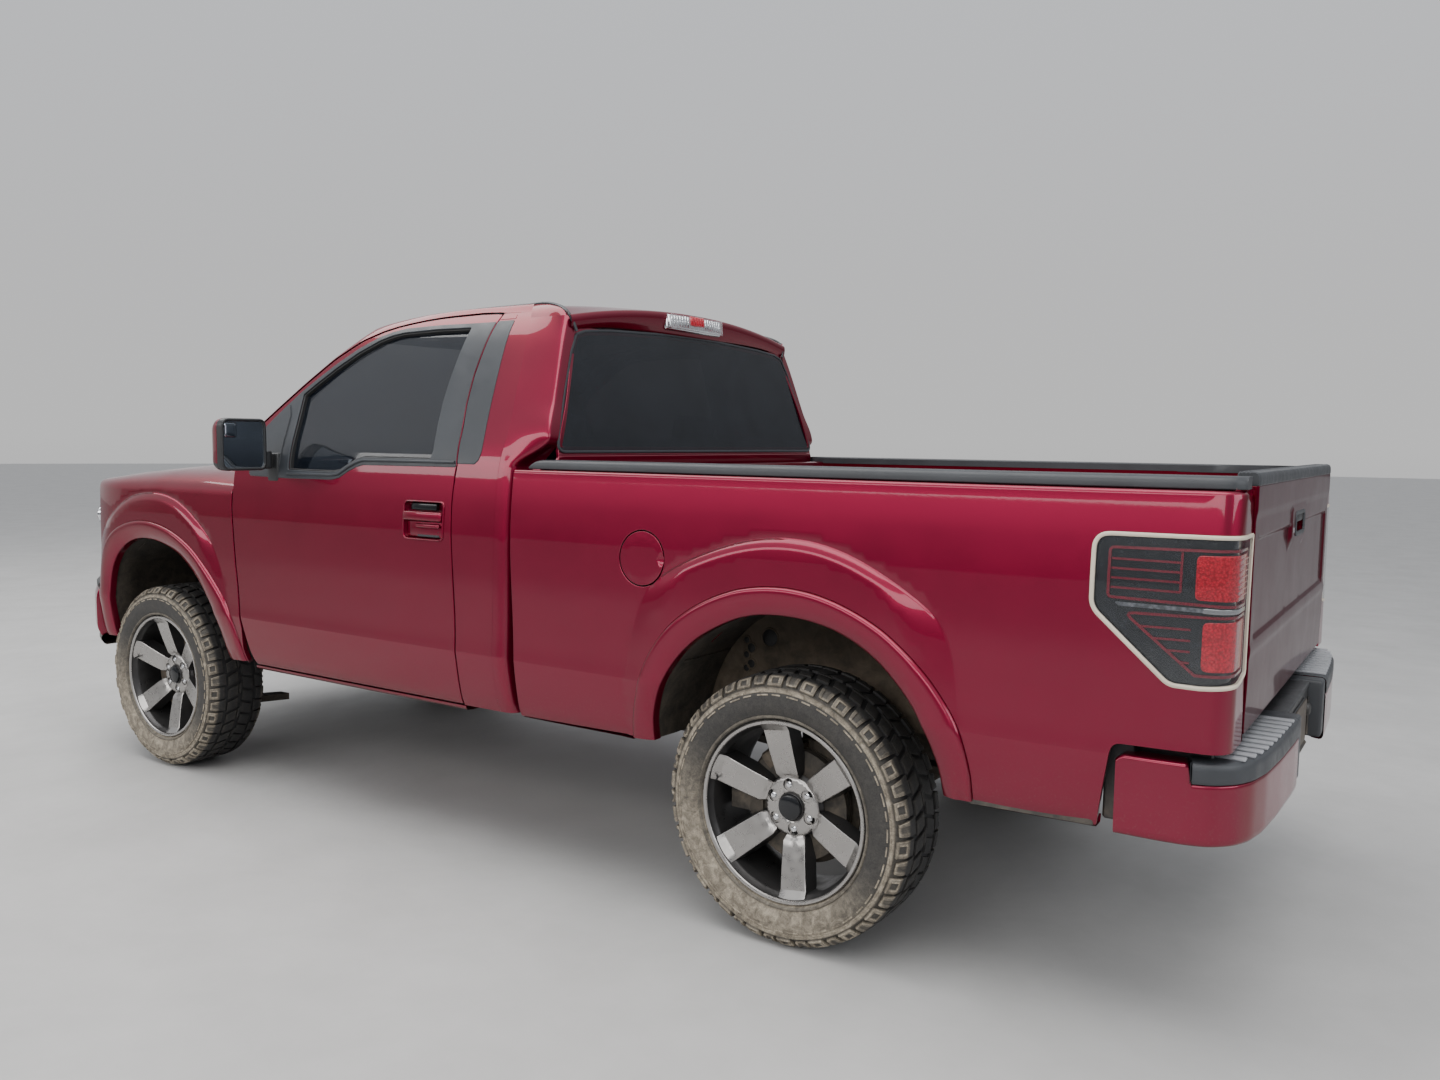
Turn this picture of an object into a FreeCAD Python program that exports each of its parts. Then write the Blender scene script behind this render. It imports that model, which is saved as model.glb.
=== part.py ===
import FreeCAD, Part
import os, math
from FreeCAD import Vector, Placement, Rotation

# Full-size two-door pickup truck, millimetres.
# +X points to the nose, +Y to the driver's side, +Z up; the origin is on the
# ground under the middle of the overall length.

doc = FreeCAD.newDocument("PickupTruck")
sheet = doc.addObject("Spreadsheet::Sheet", "Sizes")

SIZES = [
    ("overall_half_length", 2707.5), ("wheelbase", 3200), ("front_axle_x", 1757.5),
    ("wheel_centre_y", 840), ("tyre_radius", 405), ("tyre_half_width", 137),
    ("rim_radius", 271), ("rim_half_width", 120), ("rim_barrel_inner", 244),
    ("disc_face_outer", 72), ("disc_face_inner", 46), ("hub_face", 45.5),
    ("brake_disc_radius", 176), ("hub_radius", 70), ("kingpin_y", 770),
    ("rail_outer_y", 440), ("rear_rail_outer_y", 480), ("rail_width", 66),
    ("skin_thickness", 26), ("door_depth", 96), ("frame_depth", 44), ("glass_thickness", 5),
    ("roof_thickness", 34), ("floor_thickness", 20), ("floor_top", 640),
    ("bed_floor_top", 840), ("bed_floor_thickness", 26), ("bed_wall_inner", 830),
    ("bed_front_x", -588), ("tail_inner_x", -2590), ("tailgate_depth", 58),
    ("tailgate_half_width", 784), ("rail_cap_top", 1409), ("side_top", 1381),
    ("engine_length", 620), ("engine_width", 520), ("engine_height", 560),
    ("gearbox_length", 880), ("gearbox_width", 230), ("gearbox_height", 250),
    ("tube_radius", 44), ("diff_radius", 150), ("exhaust_radius", 32),
    ("wheel_rim_radius", 190), ("grip_radius", 15), ("hood_thickness", 30),
    ("bumper_top", 744), ("receiver_side", 63.5), ("receiver_bore", 51),
    ("spare_radius", 380), ("spare_half_width", 110), ("tank_length", 900),
    ("tank_width", 300), ("tank_height", 205),
]
for i, (alias, value) in enumerate(SIZES, start=1):
    sheet.set("A%d" % i, alias)
    sheet.set("B%d" % i, str(value))
    sheet.setAlias("B%d" % i, alias)
doc.recompute()


def S(alias):
    return float(sheet.get(alias))


def bind(obj, prop, expr):
    obj.setExpression(prop, expr)


REAR_AXLE_X = S("front_axle_x") - S("wheelbase")
FRONT_AXLE_X = S("front_axle_x")
AXLE_Z = S("tyre_radius")
finished = []


def done(obj, label):
    obj.Label = label
    finished.append(obj)
    return obj


# ---------------------------------------------------------------- helpers
def box(name, x0, x1, y0, y1, z0, z1):
    o = doc.addObject("Part::Box", name)
    o.Length, o.Width, o.Height = x1 - x0, y1 - y0, z1 - z0
    o.Placement = Placement(Vector(x0, y0, z0), Rotation())
    return o


def cyl(name, r, p, direction, length):
    o = doc.addObject("Part::Cylinder", name)
    o.Radius, o.Height = r, length
    o.Placement = Placement(Vector(*p), Rotation(Vector(0, 0, 1), Vector(*direction)))
    return o


def fuse(name, *objs):
    o = doc.addObject("Part::MultiFuse", name)
    o.Shapes = list(objs)
    return o


def cut(name, base, tool):
    o = doc.addObject("Part::Cut", name)
    o.Base, o.Tool = base, tool
    return o


def shaped(name, shape):
    o = doc.addObject("Part::Feature", name)
    o.Shape = shape
    o.Placement = Placement()
    return o


def origin_plane(body, role):
    for f in body.Origin.OriginFeatures:
        if f.Role == role:
            return f


def closed_sketch(body, name, plane, pts):
    sk = body.newObject("Sketcher::SketchObject", name)
    sk.AttachmentSupport = [(origin_plane(body, plane), "")]
    sk.MapMode = "FlatFace"
    n = len(pts)
    sk.addGeometry([Part.LineSegment(Vector(pts[k][0], pts[k][1], 0),
                                     Vector(pts[(k + 1) % n][0], pts[(k + 1) % n][1], 0))
                    for k in range(n)], False)
    return sk


def face_xz(pts, y=0.0):
    w = Part.makePolygon([Vector(p[0], y, p[1]) for p in pts] + [Vector(pts[0][0], y, pts[0][1])])
    return Part.Face(w)


def prism_xz(pts, y0, y1):
    return face_xz(pts, y0).extrude(Vector(0, y1 - y0, 0))


def prism_xy(pts, z0, z1):
    w = Part.makePolygon([Vector(p[0], p[1], z0) for p in pts] + [Vector(pts[0][0], pts[0][1], z0)])
    return Part.Face(w).extrude(Vector(0, 0, z1 - z0))


def prism_yz(pts, x0, x1):
    w = Part.makePolygon([Vector(x0, p[0], p[1]) for p in pts] + [Vector(x0, pts[0][0], pts[0][1])])
    return Part.Face(w).extrude(Vector(x1 - x0, 0, 0))


def mirrored(shape):
    return shape.mirror(Vector(0, 0, 0), Vector(0, 1, 0))


def interp(table, q):
    if q <= table[0][0]:
        return table[0][1]
    for (a, fa), (b, fb) in zip(table, table[1:]):
        if q <= b:
            return fa + (fb - fa) * (q - a) / (b - a)
    return table[-1][1]


def smooth(e0, e1, q):
    u = min(1.0, max(0.0, (q - e0) / (e1 - e0)))
    return u * u * (3 - 2 * u)


def spread(a, b, n):
    return [a + (b - a) * k / (n - 1.0) for k in range(n)]


def surface(grid):
    s = Part.BSplineSurface()
    s.interpolate(grid)
    return s


def slab(fn, us, vs, make, shift):
    """Solid between a free surface and the same surface shifted."""
    s = surface([[make(u, v, fn(u, v)) for v in vs] for u in us])
    return s.toShape().extrude(shift)


# ------------------------------------------------- shape of the body side
SIDE = [(480, 930), (530, 948), (560, 965), (640, 985), (700, 994), (738, 999), (790, 995),
        (900, 990), (1000, 989), (1150, 985), (1250, 977), (1320, 968), (1385, 957),
        (1450, 938), (1500, 918), (1600, 878), (1700, 836), (1800, 790), (1850, 763),
        (1900, 728), (1930, 700), (1980, 650)]


def arch(x, z, xc, zc, rx, rz, wide, lift):
    r = math.hypot((x - xc) / rx, (z - zc) / rz)
    return lift * (1 - smooth(1.02, 1.02 + wide * 1.9, r))


def side_y(x, z):
    y = interp(SIDE, z)
    if x > 2000:
        y -= 0.00062 * (x - 2000) ** 2
    if x < -1900:
        y -= 40 * ((-1900 - x) / 735.0) ** 2
    if z < 1250:
        y += arch(x, z, -1466, 560, 474, 430, 0.16, 20) * smooth(1250, 1120, z)
        y += arch(x, z, 1722, 560, 474, 464, 0.14, 20) * smooth(1280, 1160, z)
    return min(y, 1006.0)


def side_slab(x0, x1, z0, z1, depth, nx, nz):
    return slab(side_y, spread(x0, x1, nx), spread(z0, z1, nz),
                lambda u, v, w: Vector(u, w, v), Vector(0, -depth, 0))


# --------------------------------------------------------------- outlines
DOOR = [(-142, 546), (-146, 700), (-140, 860), (-130, 980), (-117, 1154), (-115, 1257), (-121, 1385),
        (-109, 1500), (-92, 1600), (-85, 1700), (-90, 1800), (-97, 1900), (-99, 1921),
        (300, 1915), (400, 1908), (500, 1890), (600, 1856), (725, 1782), (850, 1688), (975, 1588),
        (1075, 1507), (1135, 1440), (1165, 1360), (1166, 1323), (1164, 1190), (1156, 1120), (1136, 955),
        (1120, 858), (1107, 759), (1095, 690), (1080, 600), (1068, 562), (1052, 546)]
WINDOW = [(12, 1402), (6, 1430), (29, 1607), (25, 1695), (12, 1885), (380, 1885), (500, 1857), (600, 1812),
          (700, 1757), (850, 1651), (838, 1560), (815, 1342), (520, 1342),
          (450, 1376), (387, 1400)]
REAR_ARCH = [(-1940, 470), (-1934, 623), (-1910, 697), (-1871, 776), (-1822, 833), (-1762, 891), (-1691, 936),
             (-1621, 965), (-1538, 983), (-1455, 988), (-1373, 983), (-1303, 965), (-1232, 932), (-1162, 891),
             (-1105, 839), (-1060, 781), (-1024, 710), (-995, 623), (-980, 470)]
FRONT_ARCH = [(1245, 470), (1251, 598), (1264, 674), (1296, 758), (1350, 822), (1401, 874), (1462, 923),
              (1533, 968), (1605, 995), (1676, 1012), (1747, 1022), (1818, 1024), (1888, 1015), (1958, 991),
              (2028, 944), (2079, 884), (2101, 825), (2104, 798), (2120, 700), (2140, 470)]
FUEL_C, FUEL_R = (-952, 1117), 84


def grown(pts, g):
    cx = sum(p[0] for p in pts) / len(pts)
    cz = sum(p[1] for p in pts) / len(pts)
    out = []
    n = len(pts)
    for k in range(n):
        ax, az = pts[k - 1]
        bx, bz = pts[k]
        dx, dz = pts[(k + 1) % n]
        n1 = (bz - az, -(bx - ax))
        n2 = (dz - bz, -(dx - bx))
        l1, l2 = math.hypot(*n1), math.hypot(*n2)
        nx, nz = n1[0] / l1 + n2[0] / l2, n1[1] / l1 + n2[1] / l2
        m = (nx * nx + nz * nz) / 2.0
        nx, nz = nx / m, nz / m
        out.append((bx + nx * g, bz + nz * g))
    area = sum(pts[k - 1][0] * pts[k][1] - pts[k][0] * pts[k - 1][1] for k in range(n))
    if area < 0:
        return grown(pts[::-1], g)[::-1]
    return out


# ------------------------------------------------------------------ wheels
def tyre(name, label, x, side):
    b = doc.addObject("PartDesign::Body", name)
    R, W = S("tyre_radius"), S("tyre_half_width")
    half = [(R - 142, W - 26), (R - 132.8, W - 25.5), (R - 130, W - 13), (R - 118, W - 4), (R - 60, W),
            (R - 22, W - 8), (R - 7, W - 20), (R, W - 40)]
    inner = [(R - 142, W - 42), (R - 120, W - 32), (R - 60, W - 14), (R - 20, W - 40)]
    pts = half + [(p, -q) for p, q in half[::-1]] + [(p, -q) for p, q in inner] + inner[::-1]
    sk = closed_sketch(b, name + "_profile", "XY_Plane", pts)
    rev = b.newObject("PartDesign::Revolution", name + "_turned")
    rev.Profile = sk
    rev.ReferenceAxis = (sk, ["V_Axis"])
    rev.Angle = 360
    b.Placement = Placement(Vector(x, side * S("wheel_centre_y"), AXLE_Z), Rotation())
    return done(b, label)


def rim(name, label, x, side):
    b = doc.addObject("PartDesign::Body", name)
    R, W, I = S("rim_radius"), S("rim_half_width"), S("rim_barrel_inner")
    a, c = S("disc_face_outer"), S("disc_face_inner")
    e = 262.4
    pts = [(0, c), (150, c), (I - 2, c + 12), (I, -W + 4), (I + 6, -W), (R, -W), (R, -W + 6), (e, -W + 8), (e, -108), (I + 8, -80),
           (I + 8, 80), (e, 108), (e, W - 8), (R, W - 6), (R, W), (I + 6, W), (I, a + 18), (150, a + 2),
           (95, a - 8), (90, a + 8), (0, a + 8)]
    sk = closed_sketch(b, name + "_profile", "XY_Plane", [(p[0], side * p[1]) for p in pts])
    rev = b.newObject("PartDesign::Revolution", name + "_turned")
    rev.Profile = sk
    rev.ReferenceAxis = (sk, ["V_Axis"])
    rev.Angle = 360
    hole = b.newObject("Sketcher::SketchObject", name + "_window")
    hole.AttachmentSupport = [(origin_plane(b, "XZ_Plane"), "")]
    hole.MapMode = "FlatFace"
    q = [(math.radians(12), 128), (math.radians(11), 222), (math.radians(30), 229), (math.radians(49), 222),
         (math.radians(48), 128), (math.radians(30), 108)]
    v = [Vector(r * math.cos(t), r * math.sin(t), 0) for t, r in q]
    hole.addGeometry([Part.LineSegment(v[k], v[(k + 1) % len(v)]) for k in range(len(v))], False)
    pocket = b.newObject("PartDesign::Pocket", name + "_openings")
    pocket.Profile = hole
    pocket.Type = 1
    pocket.Midplane = True
    doc.recompute()
    pat = b.newObject("PartDesign::PolarPattern", name + "_six")
    pat.Originals = [pocket]
    pat.Axis = (origin_axis(b, "Y_Axis"), [""])
    pat.Angle = 360
    pat.Occurrences = 6
    b.Tip = pat
    b.Placement = Placement(Vector(x, side * S("wheel_centre_y"), AXLE_Z), Rotation())
    return done(b, label)


def origin_axis(body, role):
    for f in body.Origin.OriginFeatures:
        if f.Role == role:
            return f


for tag, ax, sd in (("front_left", FRONT_AXLE_X, 1), ("front_right", FRONT_AXLE_X, -1),
                    ("rear_left", REAR_AXLE_X, 1), ("rear_right", REAR_AXLE_X, -1)):
    tyre("Tyre_" + tag, "tyre_" + tag, ax, sd)
    rim("Rim_" + tag, "rim_" + tag, ax, sd)


# ------------------------------------------------ knuckles and rear axle
def knuckle(tag, sd):
    cy = S("wheel_centre_y")
    hubl = S("hub_face") + 95
    y0 = sd * (cy + S("hub_face"))
    hub = cyl("Hub_" + tag, S("hub_radius"), (FRONT_AXLE_X, y0, AXLE_Z), (0, -sd, 0), hubl)
    bind(hub, "Radius", "Sizes.hub_radius")
    bind(hub, "Height", "Sizes.hub_face + 95")
    disc = cyl("Disc_" + tag, S("brake_disc_radius"), (FRONT_AXLE_X, sd * (cy + 26), AXLE_Z), (0, -sd, 0), 26)
    bind(disc, "Radius", "Sizes.brake_disc_radius")
    k = S("kingpin_y")
    up = box("Upright_" + tag, FRONT_AXLE_X - 32, FRONT_AXLE_X + 32, min(sd * (k - 22), sd * (k + 24)),
             max(sd * (k - 22), sd * (k + 24)), 272, 618)
    cal = box("Caliper_" + tag, FRONT_AXLE_X - 226, FRONT_AXLE_X - 120, min(sd * (cy - 34), sd * (cy + 38)),
              max(sd * (cy - 34), sd * (cy + 38)), 350, 460)
    carr = box("Carrier_" + tag, FRONT_AXLE_X - 130, FRONT_AXLE_X, min(sd * (cy - 40), sd * (cy - 12)),
               max(sd * (cy - 40), sd * (cy - 12)), 370, 440)
    arm = box("SteeringArm_" + tag, FRONT_AXLE_X, FRONT_AXLE_X + 150, min(sd * (k - 14), sd * (k + 14)),
              max(sd * (k - 14), sd * (k + 14)), 355, 385)
    return done(fuse("Knuckle_" + tag, hub, disc, up, cal, carr, arm), "knuckle_" + tag)


knuckle("left", 1)
knuckle("right", -1)

cy = S("wheel_centre_y")
axle_parts = []
tube = cyl("AxleTube", S("tube_radius"), (REAR_AXLE_X, -(cy + S("hub_face")), AXLE_Z), (0, 1, 0), 2 * (cy + S("hub_face")))
bind(tube, "Radius", "Sizes.tube_radius")
bind(tube, "Height", "2 * (Sizes.wheel_centre_y + Sizes.hub_face)")
diff = cyl("DiffHousing", S("diff_radius"), (REAR_AXLE_X, -75, AXLE_Z), (0, 1, 0), 150)
bind(diff, "Radius", "Sizes.diff_radius")
nose = cyl("PinionNose", 62, (REAR_AXLE_X, 0, AXLE_Z + 10), (1, 0, 0), 300)
prop = cyl("PropShaft", 42, (REAR_AXLE_X + 290, 0, AXLE_Z + 12), (1, 0, 0.06), 1395)
axle_parts += [tube, diff, nose, prop]
for sd in (1, -1):
    axle_parts.append(cyl("RearDisc_%d" % (sd + 1), 168, (REAR_AXLE_X, sd * (cy + 26), AXLE_Z), (0, -sd, 0), 24))
    axle_parts.append(cyl("RearFlange_%d" % (sd + 1), 72, (REAR_AXLE_X, sd * (cy + S("hub_face")), AXLE_Z), (0, -sd, 0), 30))
    axle_parts.append(box("RearCaliper_%d" % (sd + 1), REAR_AXLE_X + 110, REAR_AXLE_X + 222,
                          min(sd * (cy - 32), sd * (cy + 34)), max(sd * (cy - 32), sd * (cy + 34)), 360, 450))
    axle_parts.append(box("SpringSeat_%d" % (sd + 1), REAR_AXLE_X - 75, REAR_AXLE_X + 75,
                          min(sd * 500, sd * 590), max(sd * 500, sd * 590), AXLE_Z - 30, AXLE_Z + 56))
done(fuse("RearAxle", *axle_parts), "rear_axle")

# ------------------------------------------------------------- suspension
susp = []
for sd in (1, -1):
    ya, yb = sorted((sd * 510, sd * 580))
    leaf = [(-2150, 560), (-2150, 540), (-1800, 486), (-1442, 461.5), (-1100, 486), (-760, 520), (-760, 540),
            (-1100, 508), (-1442, 489), (-1800, 508)]
    susp.append(prism_xz(leaf, ya, yb))
    k = S("kingpin_y")
    # lower and upper control arms as flat wishbones, their ball joints just short of the upright
    for z0, z1, tip, half, wide in ((232, 262, 20, 34, 190), (622, 636, -60, 14, 110)):
        pts = [(FRONT_AXLE_X - wide, sd * 450), (FRONT_AXLE_X - wide + 60, sd * 450), (FRONT_AXLE_X, sd * 640),
               (FRONT_AXLE_X + wide - 60, sd * 450), (FRONT_AXLE_X + wide, sd * 450),
               (FRONT_AXLE_X + half, sd * (k + tip)), (FRONT_AXLE_X - half, sd * (k + tip))]
        susp.append(prism_xy(pts, z0, z1))
    c = Part.makeCylinder(52, 330, Vector(FRONT_AXLE_X + 4, sd * 590, 268), Vector(0, 0, 1))
    susp.append(c)
    susp.append(Part.makeCylinder(30, 262, Vector(REAR_AXLE_X + (170 if sd > 0 else -170), sd * 470, 330),
                                  Vector(0, 0, 1)))
done(shaped("Suspension", Part.makeCompound(susp)), "suspension")

# ------------------------------------------------------------ ladder frame
rail_pts = [(2300, 500), (2300, 640), (1300, 640), (900, 600), (-700, 600), (-1050, 720), (-1850, 720), (-2150, 660),
            (-2490, 660), (-2490, 540), (-2150, 540), (-1850, 600), (-1050, 600), (-700, 470), (900, 470), (1300, 500)]
frame = None
front_half = Part.makeBox(2000, 2000, 1000, Vector(580, -1000, 0))
rear_half = Part.makeBox(3400, 2000, 1000, Vector(-2720, -1000, 0))
for sd in (1, -1):
    ya, yb = sorted((sd * S("rail_outer_y"), sd * (S("rail_outer_y") - S("rail_width"))))
    s = prism_xz(rail_pts, ya, yb).common(front_half)
    ya, yb = sorted((sd * S("rear_rail_outer_y"), sd * (S("rear_rail_outer_y") - S("rail_width"))))
    s = s.fuse(prism_xz(rail_pts, ya, yb).common(rear_half))
    frame = s if frame is None else frame.fuse(s)
for x0, x1, z0, z1, y in ((2180, 2290, 520, 600, 375), (1560, 1960, 462, 512, 375), (560, 640, 480, 560, 415),
                          (-840, -780, 540, 610, 415), (-1060, -1000, 615, 700, 415), (-1655, -1605, 620, 700, 415),
                          (-2490, -2450, 545, 650, 415)):
    frame = frame.fuse(Part.makeBox(x1 - x0, 2 * y, z1 - z0, Vector(x0, -y, z0)))
# towing receiver: a square tube under the rear crossmember, reaching back beneath the bumper
h = S("receiver_side") / 2.0
bore = S("receiver_bore") / 2.0
frame = frame.fuse(Part.makeBox(40, 940, 70, Vector(-2490, -470, 478)))
frame = frame.fuse(Part.makeBox(200, 2 * h, 2 * h, Vector(-2640, -h, 450)))
frame = frame.cut(Part.makeBox(180, 2 * bore, 2 * bore, Vector(-2660, -bore, 450 + h - bore)))
done(shaped("Frame", frame.removeSplitter()), "frame_rails")

# engine and gearbox: one plain block
eng = box("EngineCore", 1250, 1250 + S("engine_length"), -S("engine_width") / 2, S("engine_width") / 2, 516, 516 + S("engine_height"))
bind(eng, "Length", "Sizes.engine_length")
bind(eng, "Width", "Sizes.engine_width")
bind(eng, "Height", "Sizes.engine_height")
gbx = box("Gearbox", 1250 - S("gearbox_length"), 1260, -S("gearbox_width") / 2, S("gearbox_width") / 2, 566, 566 + S("gearbox_height") - 90)
bind(gbx, "Width", "Sizes.gearbox_width")
done(fuse("EngineBlock", eng, gbx), "engine_block")

# exhaust, tank, spare wheel
r = S("exhaust_radius")
ex = Part.makeCylinder(r, 1300, Vector(-280, -300, 420), Vector(1, 0, 0))
ex = ex.fuse(Part.makeCylinder(85, 620, Vector(-900, -280, 410), Vector(1, 0, 0)))
ex = ex.fuse(Part.makeCylinder(r, 160, Vector(-1040, -300, 420), Vector(1, 0, 0)))
for a, b in (((-1030, -300, 420), (-1230, -340, 535)), ((-1230, -340, 535), (-1560, -340, 535)),
             ((-1560, -340, 535), (-1700, -345, 440)), ((-1700, -345, 440), (-1960, -560, 432)),
             ((-1960, -560, 432), (-2060, -860, 432))):
    va, vb = Vector(*a), Vector(*b)
    ex = ex.fuse(Part.makeCylinder(r, (vb - va).Length, va, vb - va))
    ex = ex.fuse(Part.makeSphere(r, va))
done(shaped("Exhaust", ex), "exhaust")
tank = box("FuelTank", -750, -750 + S("tank_length"), 60, 60 + S("tank_width"), 395, 395 + S("tank_height"))
bind(tank, "Length", "Sizes.tank_length")
bind(tank, "Width", "Sizes.tank_width")
bind(tank, "Height", "Sizes.tank_height")
tf = doc.addObject("Part::Fillet", "FuelTankRounded")
tf.Base = tank
tf.Edges = [(k, 30.0, 30.0) for k in range(1, 13)]
done(tf, "fuel_tank")
sp = doc.addObject("PartDesign::Body", "SpareWheel")
W, R = S("spare_half_width"), S("spare_radius")
sk = closed_sketch(sp, "Spare_profile", "XZ_Plane",
                   [(40, 10), (205, 10), (215, W - 20), (232, W - 8), (R - 30, W), (R, W - 30), (R, -W + 30), (R - 30, -W),
                    (232, -W + 8), (215, -W + 20), (205, -15), (40, -15)])
rv = sp.newObject("PartDesign::Revolution", "Spare_turned")
rv.Profile = sk
rv.ReferenceAxis = (sk, ["V_Axis"])
rv.Angle = 360
sp.Placement = Placement(Vector(-2062, 0, 680), Rotation())
done(sp, "spare_wheel")

# ------------------------------------------------------------------- cab
FT = S("floor_top")
ft = S("floor_thickness")
floor = Part.makeBox(1500, 1640, ft, Vector(-440, -820, FT - ft))
floor = floor.cut(Part.makeBox(1215, 300, 200, Vector(-150, -150, FT - 100)))
tunnel = prism_yz([(-170, FT - ft), (-150, 780), (150, 780), (170, FT - ft), (150, FT - ft), (132, 760), (-132, 760), (-150, FT - ft)], -160, 1060)
firewall = prism_xz([(1060, FT - ft), (1060, FT), (1150, 780), (1150, 1255), (1175, 1255), (1175, 770), (1085, FT - ft)], -798, 798)
firewall = firewall.cut(prism_yz([(-150, FT - ft - 1), (-132, 760), (132, 760), (150, FT - ft - 1)], 1050, 1200))
cowl = prism_xz([(1150, 1254), (1150, 1280), (1290, 1312), (1318, 1300), (1330, 1262), (1320, 1250), (1300, 1262), (1280, 1284), (1175, 1254)], -798, 798)
cabfloor = floor.fuse([tunnel, firewall, cowl]).removeSplitter()
done(shaped("CabFloor", cabfloor), "cab_floor")

# roof between the two drip channels
ROOF = [(-440, 1973), (-350, 1982), (-200, 1989), (0, 1990), (200, 1984), (400, 1965), (550, 1937), (640, 1913), (720, 1886)]


def roof_z(x, y):
    q = abs(y)
    return interp(ROOF, x) - 24 * (q / 500.0) ** 2 - 0.0004 * max(0.0, q - 550) ** 2


roof = slab(roof_z, spread(-440, 700, 12), spread(-700, 700, 17), lambda u, v, w: Vector(u, v, w), Vector(0, 0, -S("roof_thickness")))
roof_plan = prism_xy([(-430, -688), (420, -688), (520, -680), (600, -640), (655, -400), (672, 0), (655, 400), (600, 640), (520, 680), (420, 688), (-430, 688)], 1700, 2100)
roof = roof.common(roof_plan)
roof_clear = slab(lambda x, y: roof_z(x, y) + 8, spread(-460, 720, 12), spread(-720, 720, 17), lambda u, v, w: Vector(u, v, w),
                  Vector(0, 0, -S("roof_thickness") - 16))
roof_clear = roof_clear.common(prism_xy([(-438, -696), (424, -696), (526, -688), (608, -646), (664, -402), (681, 0), (664, 402),
                                         (608, 646), (526, 688), (424, 696), (-438, 696)], 1700, 2100))
done(shaped("Roof", roof), "roof_panel")

door_open = prism_xz(grown(DOOR, 6), 200, 1200)
rocker_and_pillars = [(-300, 548), (-300, 1385), (-250, 1500), (-195, 1853), (-190, 1948), (0, 1948),
                      (200, 1942), (400, 1926), (500, 1905), (600, 1872), (725, 1799), (850, 1705), (975, 1605), (1075, 1524),
                      (1185, 1425), (1262, 1346), (1176, 1342), (1100, 1342), (1000, 548)]


def corner_section(z):
    """Plan outline of the rounded rear corner of the cab at height z."""
    ys = side_y(-300, z)
    xb = interp([(560, -500), (1400, -500), (1438, -505), (1853, -437), (1950, -421)], z)
    kx = interp([(1385, 1.0), (1500, 1.25), (1950, 1.25)], z)
    ky = interp([(1300, 1.3), (1430, 1.0), (1950, 1.0)], z)
    outer = [(200, 0), (155, 1.5), (122, 5), (95, 14), (62, 30), (34, 48), (12, 68), (0, 86)]
    o = [Vector(xb + dx * kx, ys - dy * ky, z) for dx, dy in outer]
    inner = [Vector(xb + 200 * kx, ys - 100, z), Vector(xb + 122 * kx, ys - 104, z), Vector(xb + 62, ys - 118, z), Vector(xb + 26, ys - 86 * ky, z)]
    pts = o + inner[::-1]
    return Part.makePolygon(pts + [pts[0]])


def cab_side():
    outer = side_slab(-310, 1264, 545, 1952, 100, 14, 36)
    s = outer.common(prism_xz(rocker_and_pillars, 100, 1200))
    corner = Part.makeLoft([corner_section(z) for z in (560, 900, 1300, 1385, 1440, 1500, 1600, 1700, 1800, 1853, 1925, 1946)], True, True)
    s = s.fuse(corner)
    s = s.cut(door_open)
    # inboard hinge post, latch post and sill that the door closes against
    sill = prism_xz([(-300, 560), (1168, 560), (1168, 645), (-300, 645)], 822, 852)
    post = prism_xz([(1010, 640), (1168, 640), (1168, 1250), (1168, 1342), (1100, 1342), (1010, 1300)], 800, 814)
    base = prism_xz([(1100, 1262), (1168, 1262), (1250, 1342), (1180, 1400), (1176, 1330), (1100, 1300)], 800, 811)
    base = base.fuse(prism_xz([(1178, 1272), (1250, 1342), (1180, 1400)], 800, 900))
    rear = prism_xz([(-300, 640), (-60, 640), (-60, 1350), (-300, 1350)], 822, 860)
    foot = prism_xz([(1010, 641), (1100, 641), (1100, 662), (1010, 662)], 812, 850)
    s = s.fuse([sill, rear]).fuse([post, base, foot])
    return s.cut(door_open.common(Part.makeBox(4000, 400, 3000, Vector(-1000, 862, 0)))).cut(roof)


solid = cab_side().removeSplitter()
done(shaped("CabSideLeft", solid), "cab_side_left")
done(shaped("CabSideRight", mirrored(solid)), "cab_side_right")

# rear wall of the cab with its window opening
half_w = [(z, side_y(-300, z) - 86 * interp([(1300, 1.3), (1430, 1.0)], z) - 5) for z in (615, 640, 738, 900, 1150, 1300, 1385, 1430, 1500, 1600, 1700, 1800, 1853, 1925)]
bw = [(yy, z) for z, yy in half_w] + [(-yy, z) for z, yy in half_w[::-1]]
backw = prism_yz(bw, -520, -380)
lean = prism_xz([(-500, 560), (-500, 1400), (-505, 1438), (-437, 1853), (-425, 1925), (-402, 1925), (-414, 1853), (-482, 1438),
                 (-477, 1400), (-477, 560)], -1000, 1000).cut(roof)
backw = backw.common(lean)
rwin = [(-832, 1447), (832, 1447), (770, 1600), (680, 1790), (640, 1842), (500, 1858), (0, 1870), (-500, 1858), (-640, 1842), (-680, 1790), (-770, 1600)]
backw = backw.cut(prism_yz(rwin, -560, -350))
backw = backw.cut(roof).cut(solid).cut(mirrored(solid))
backw = sorted(backw.Solids, key=lambda q: q.Volume)[-1]
done(shaped("CabBack", backw.removeSplitter()), "cab_back_panel")

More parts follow.
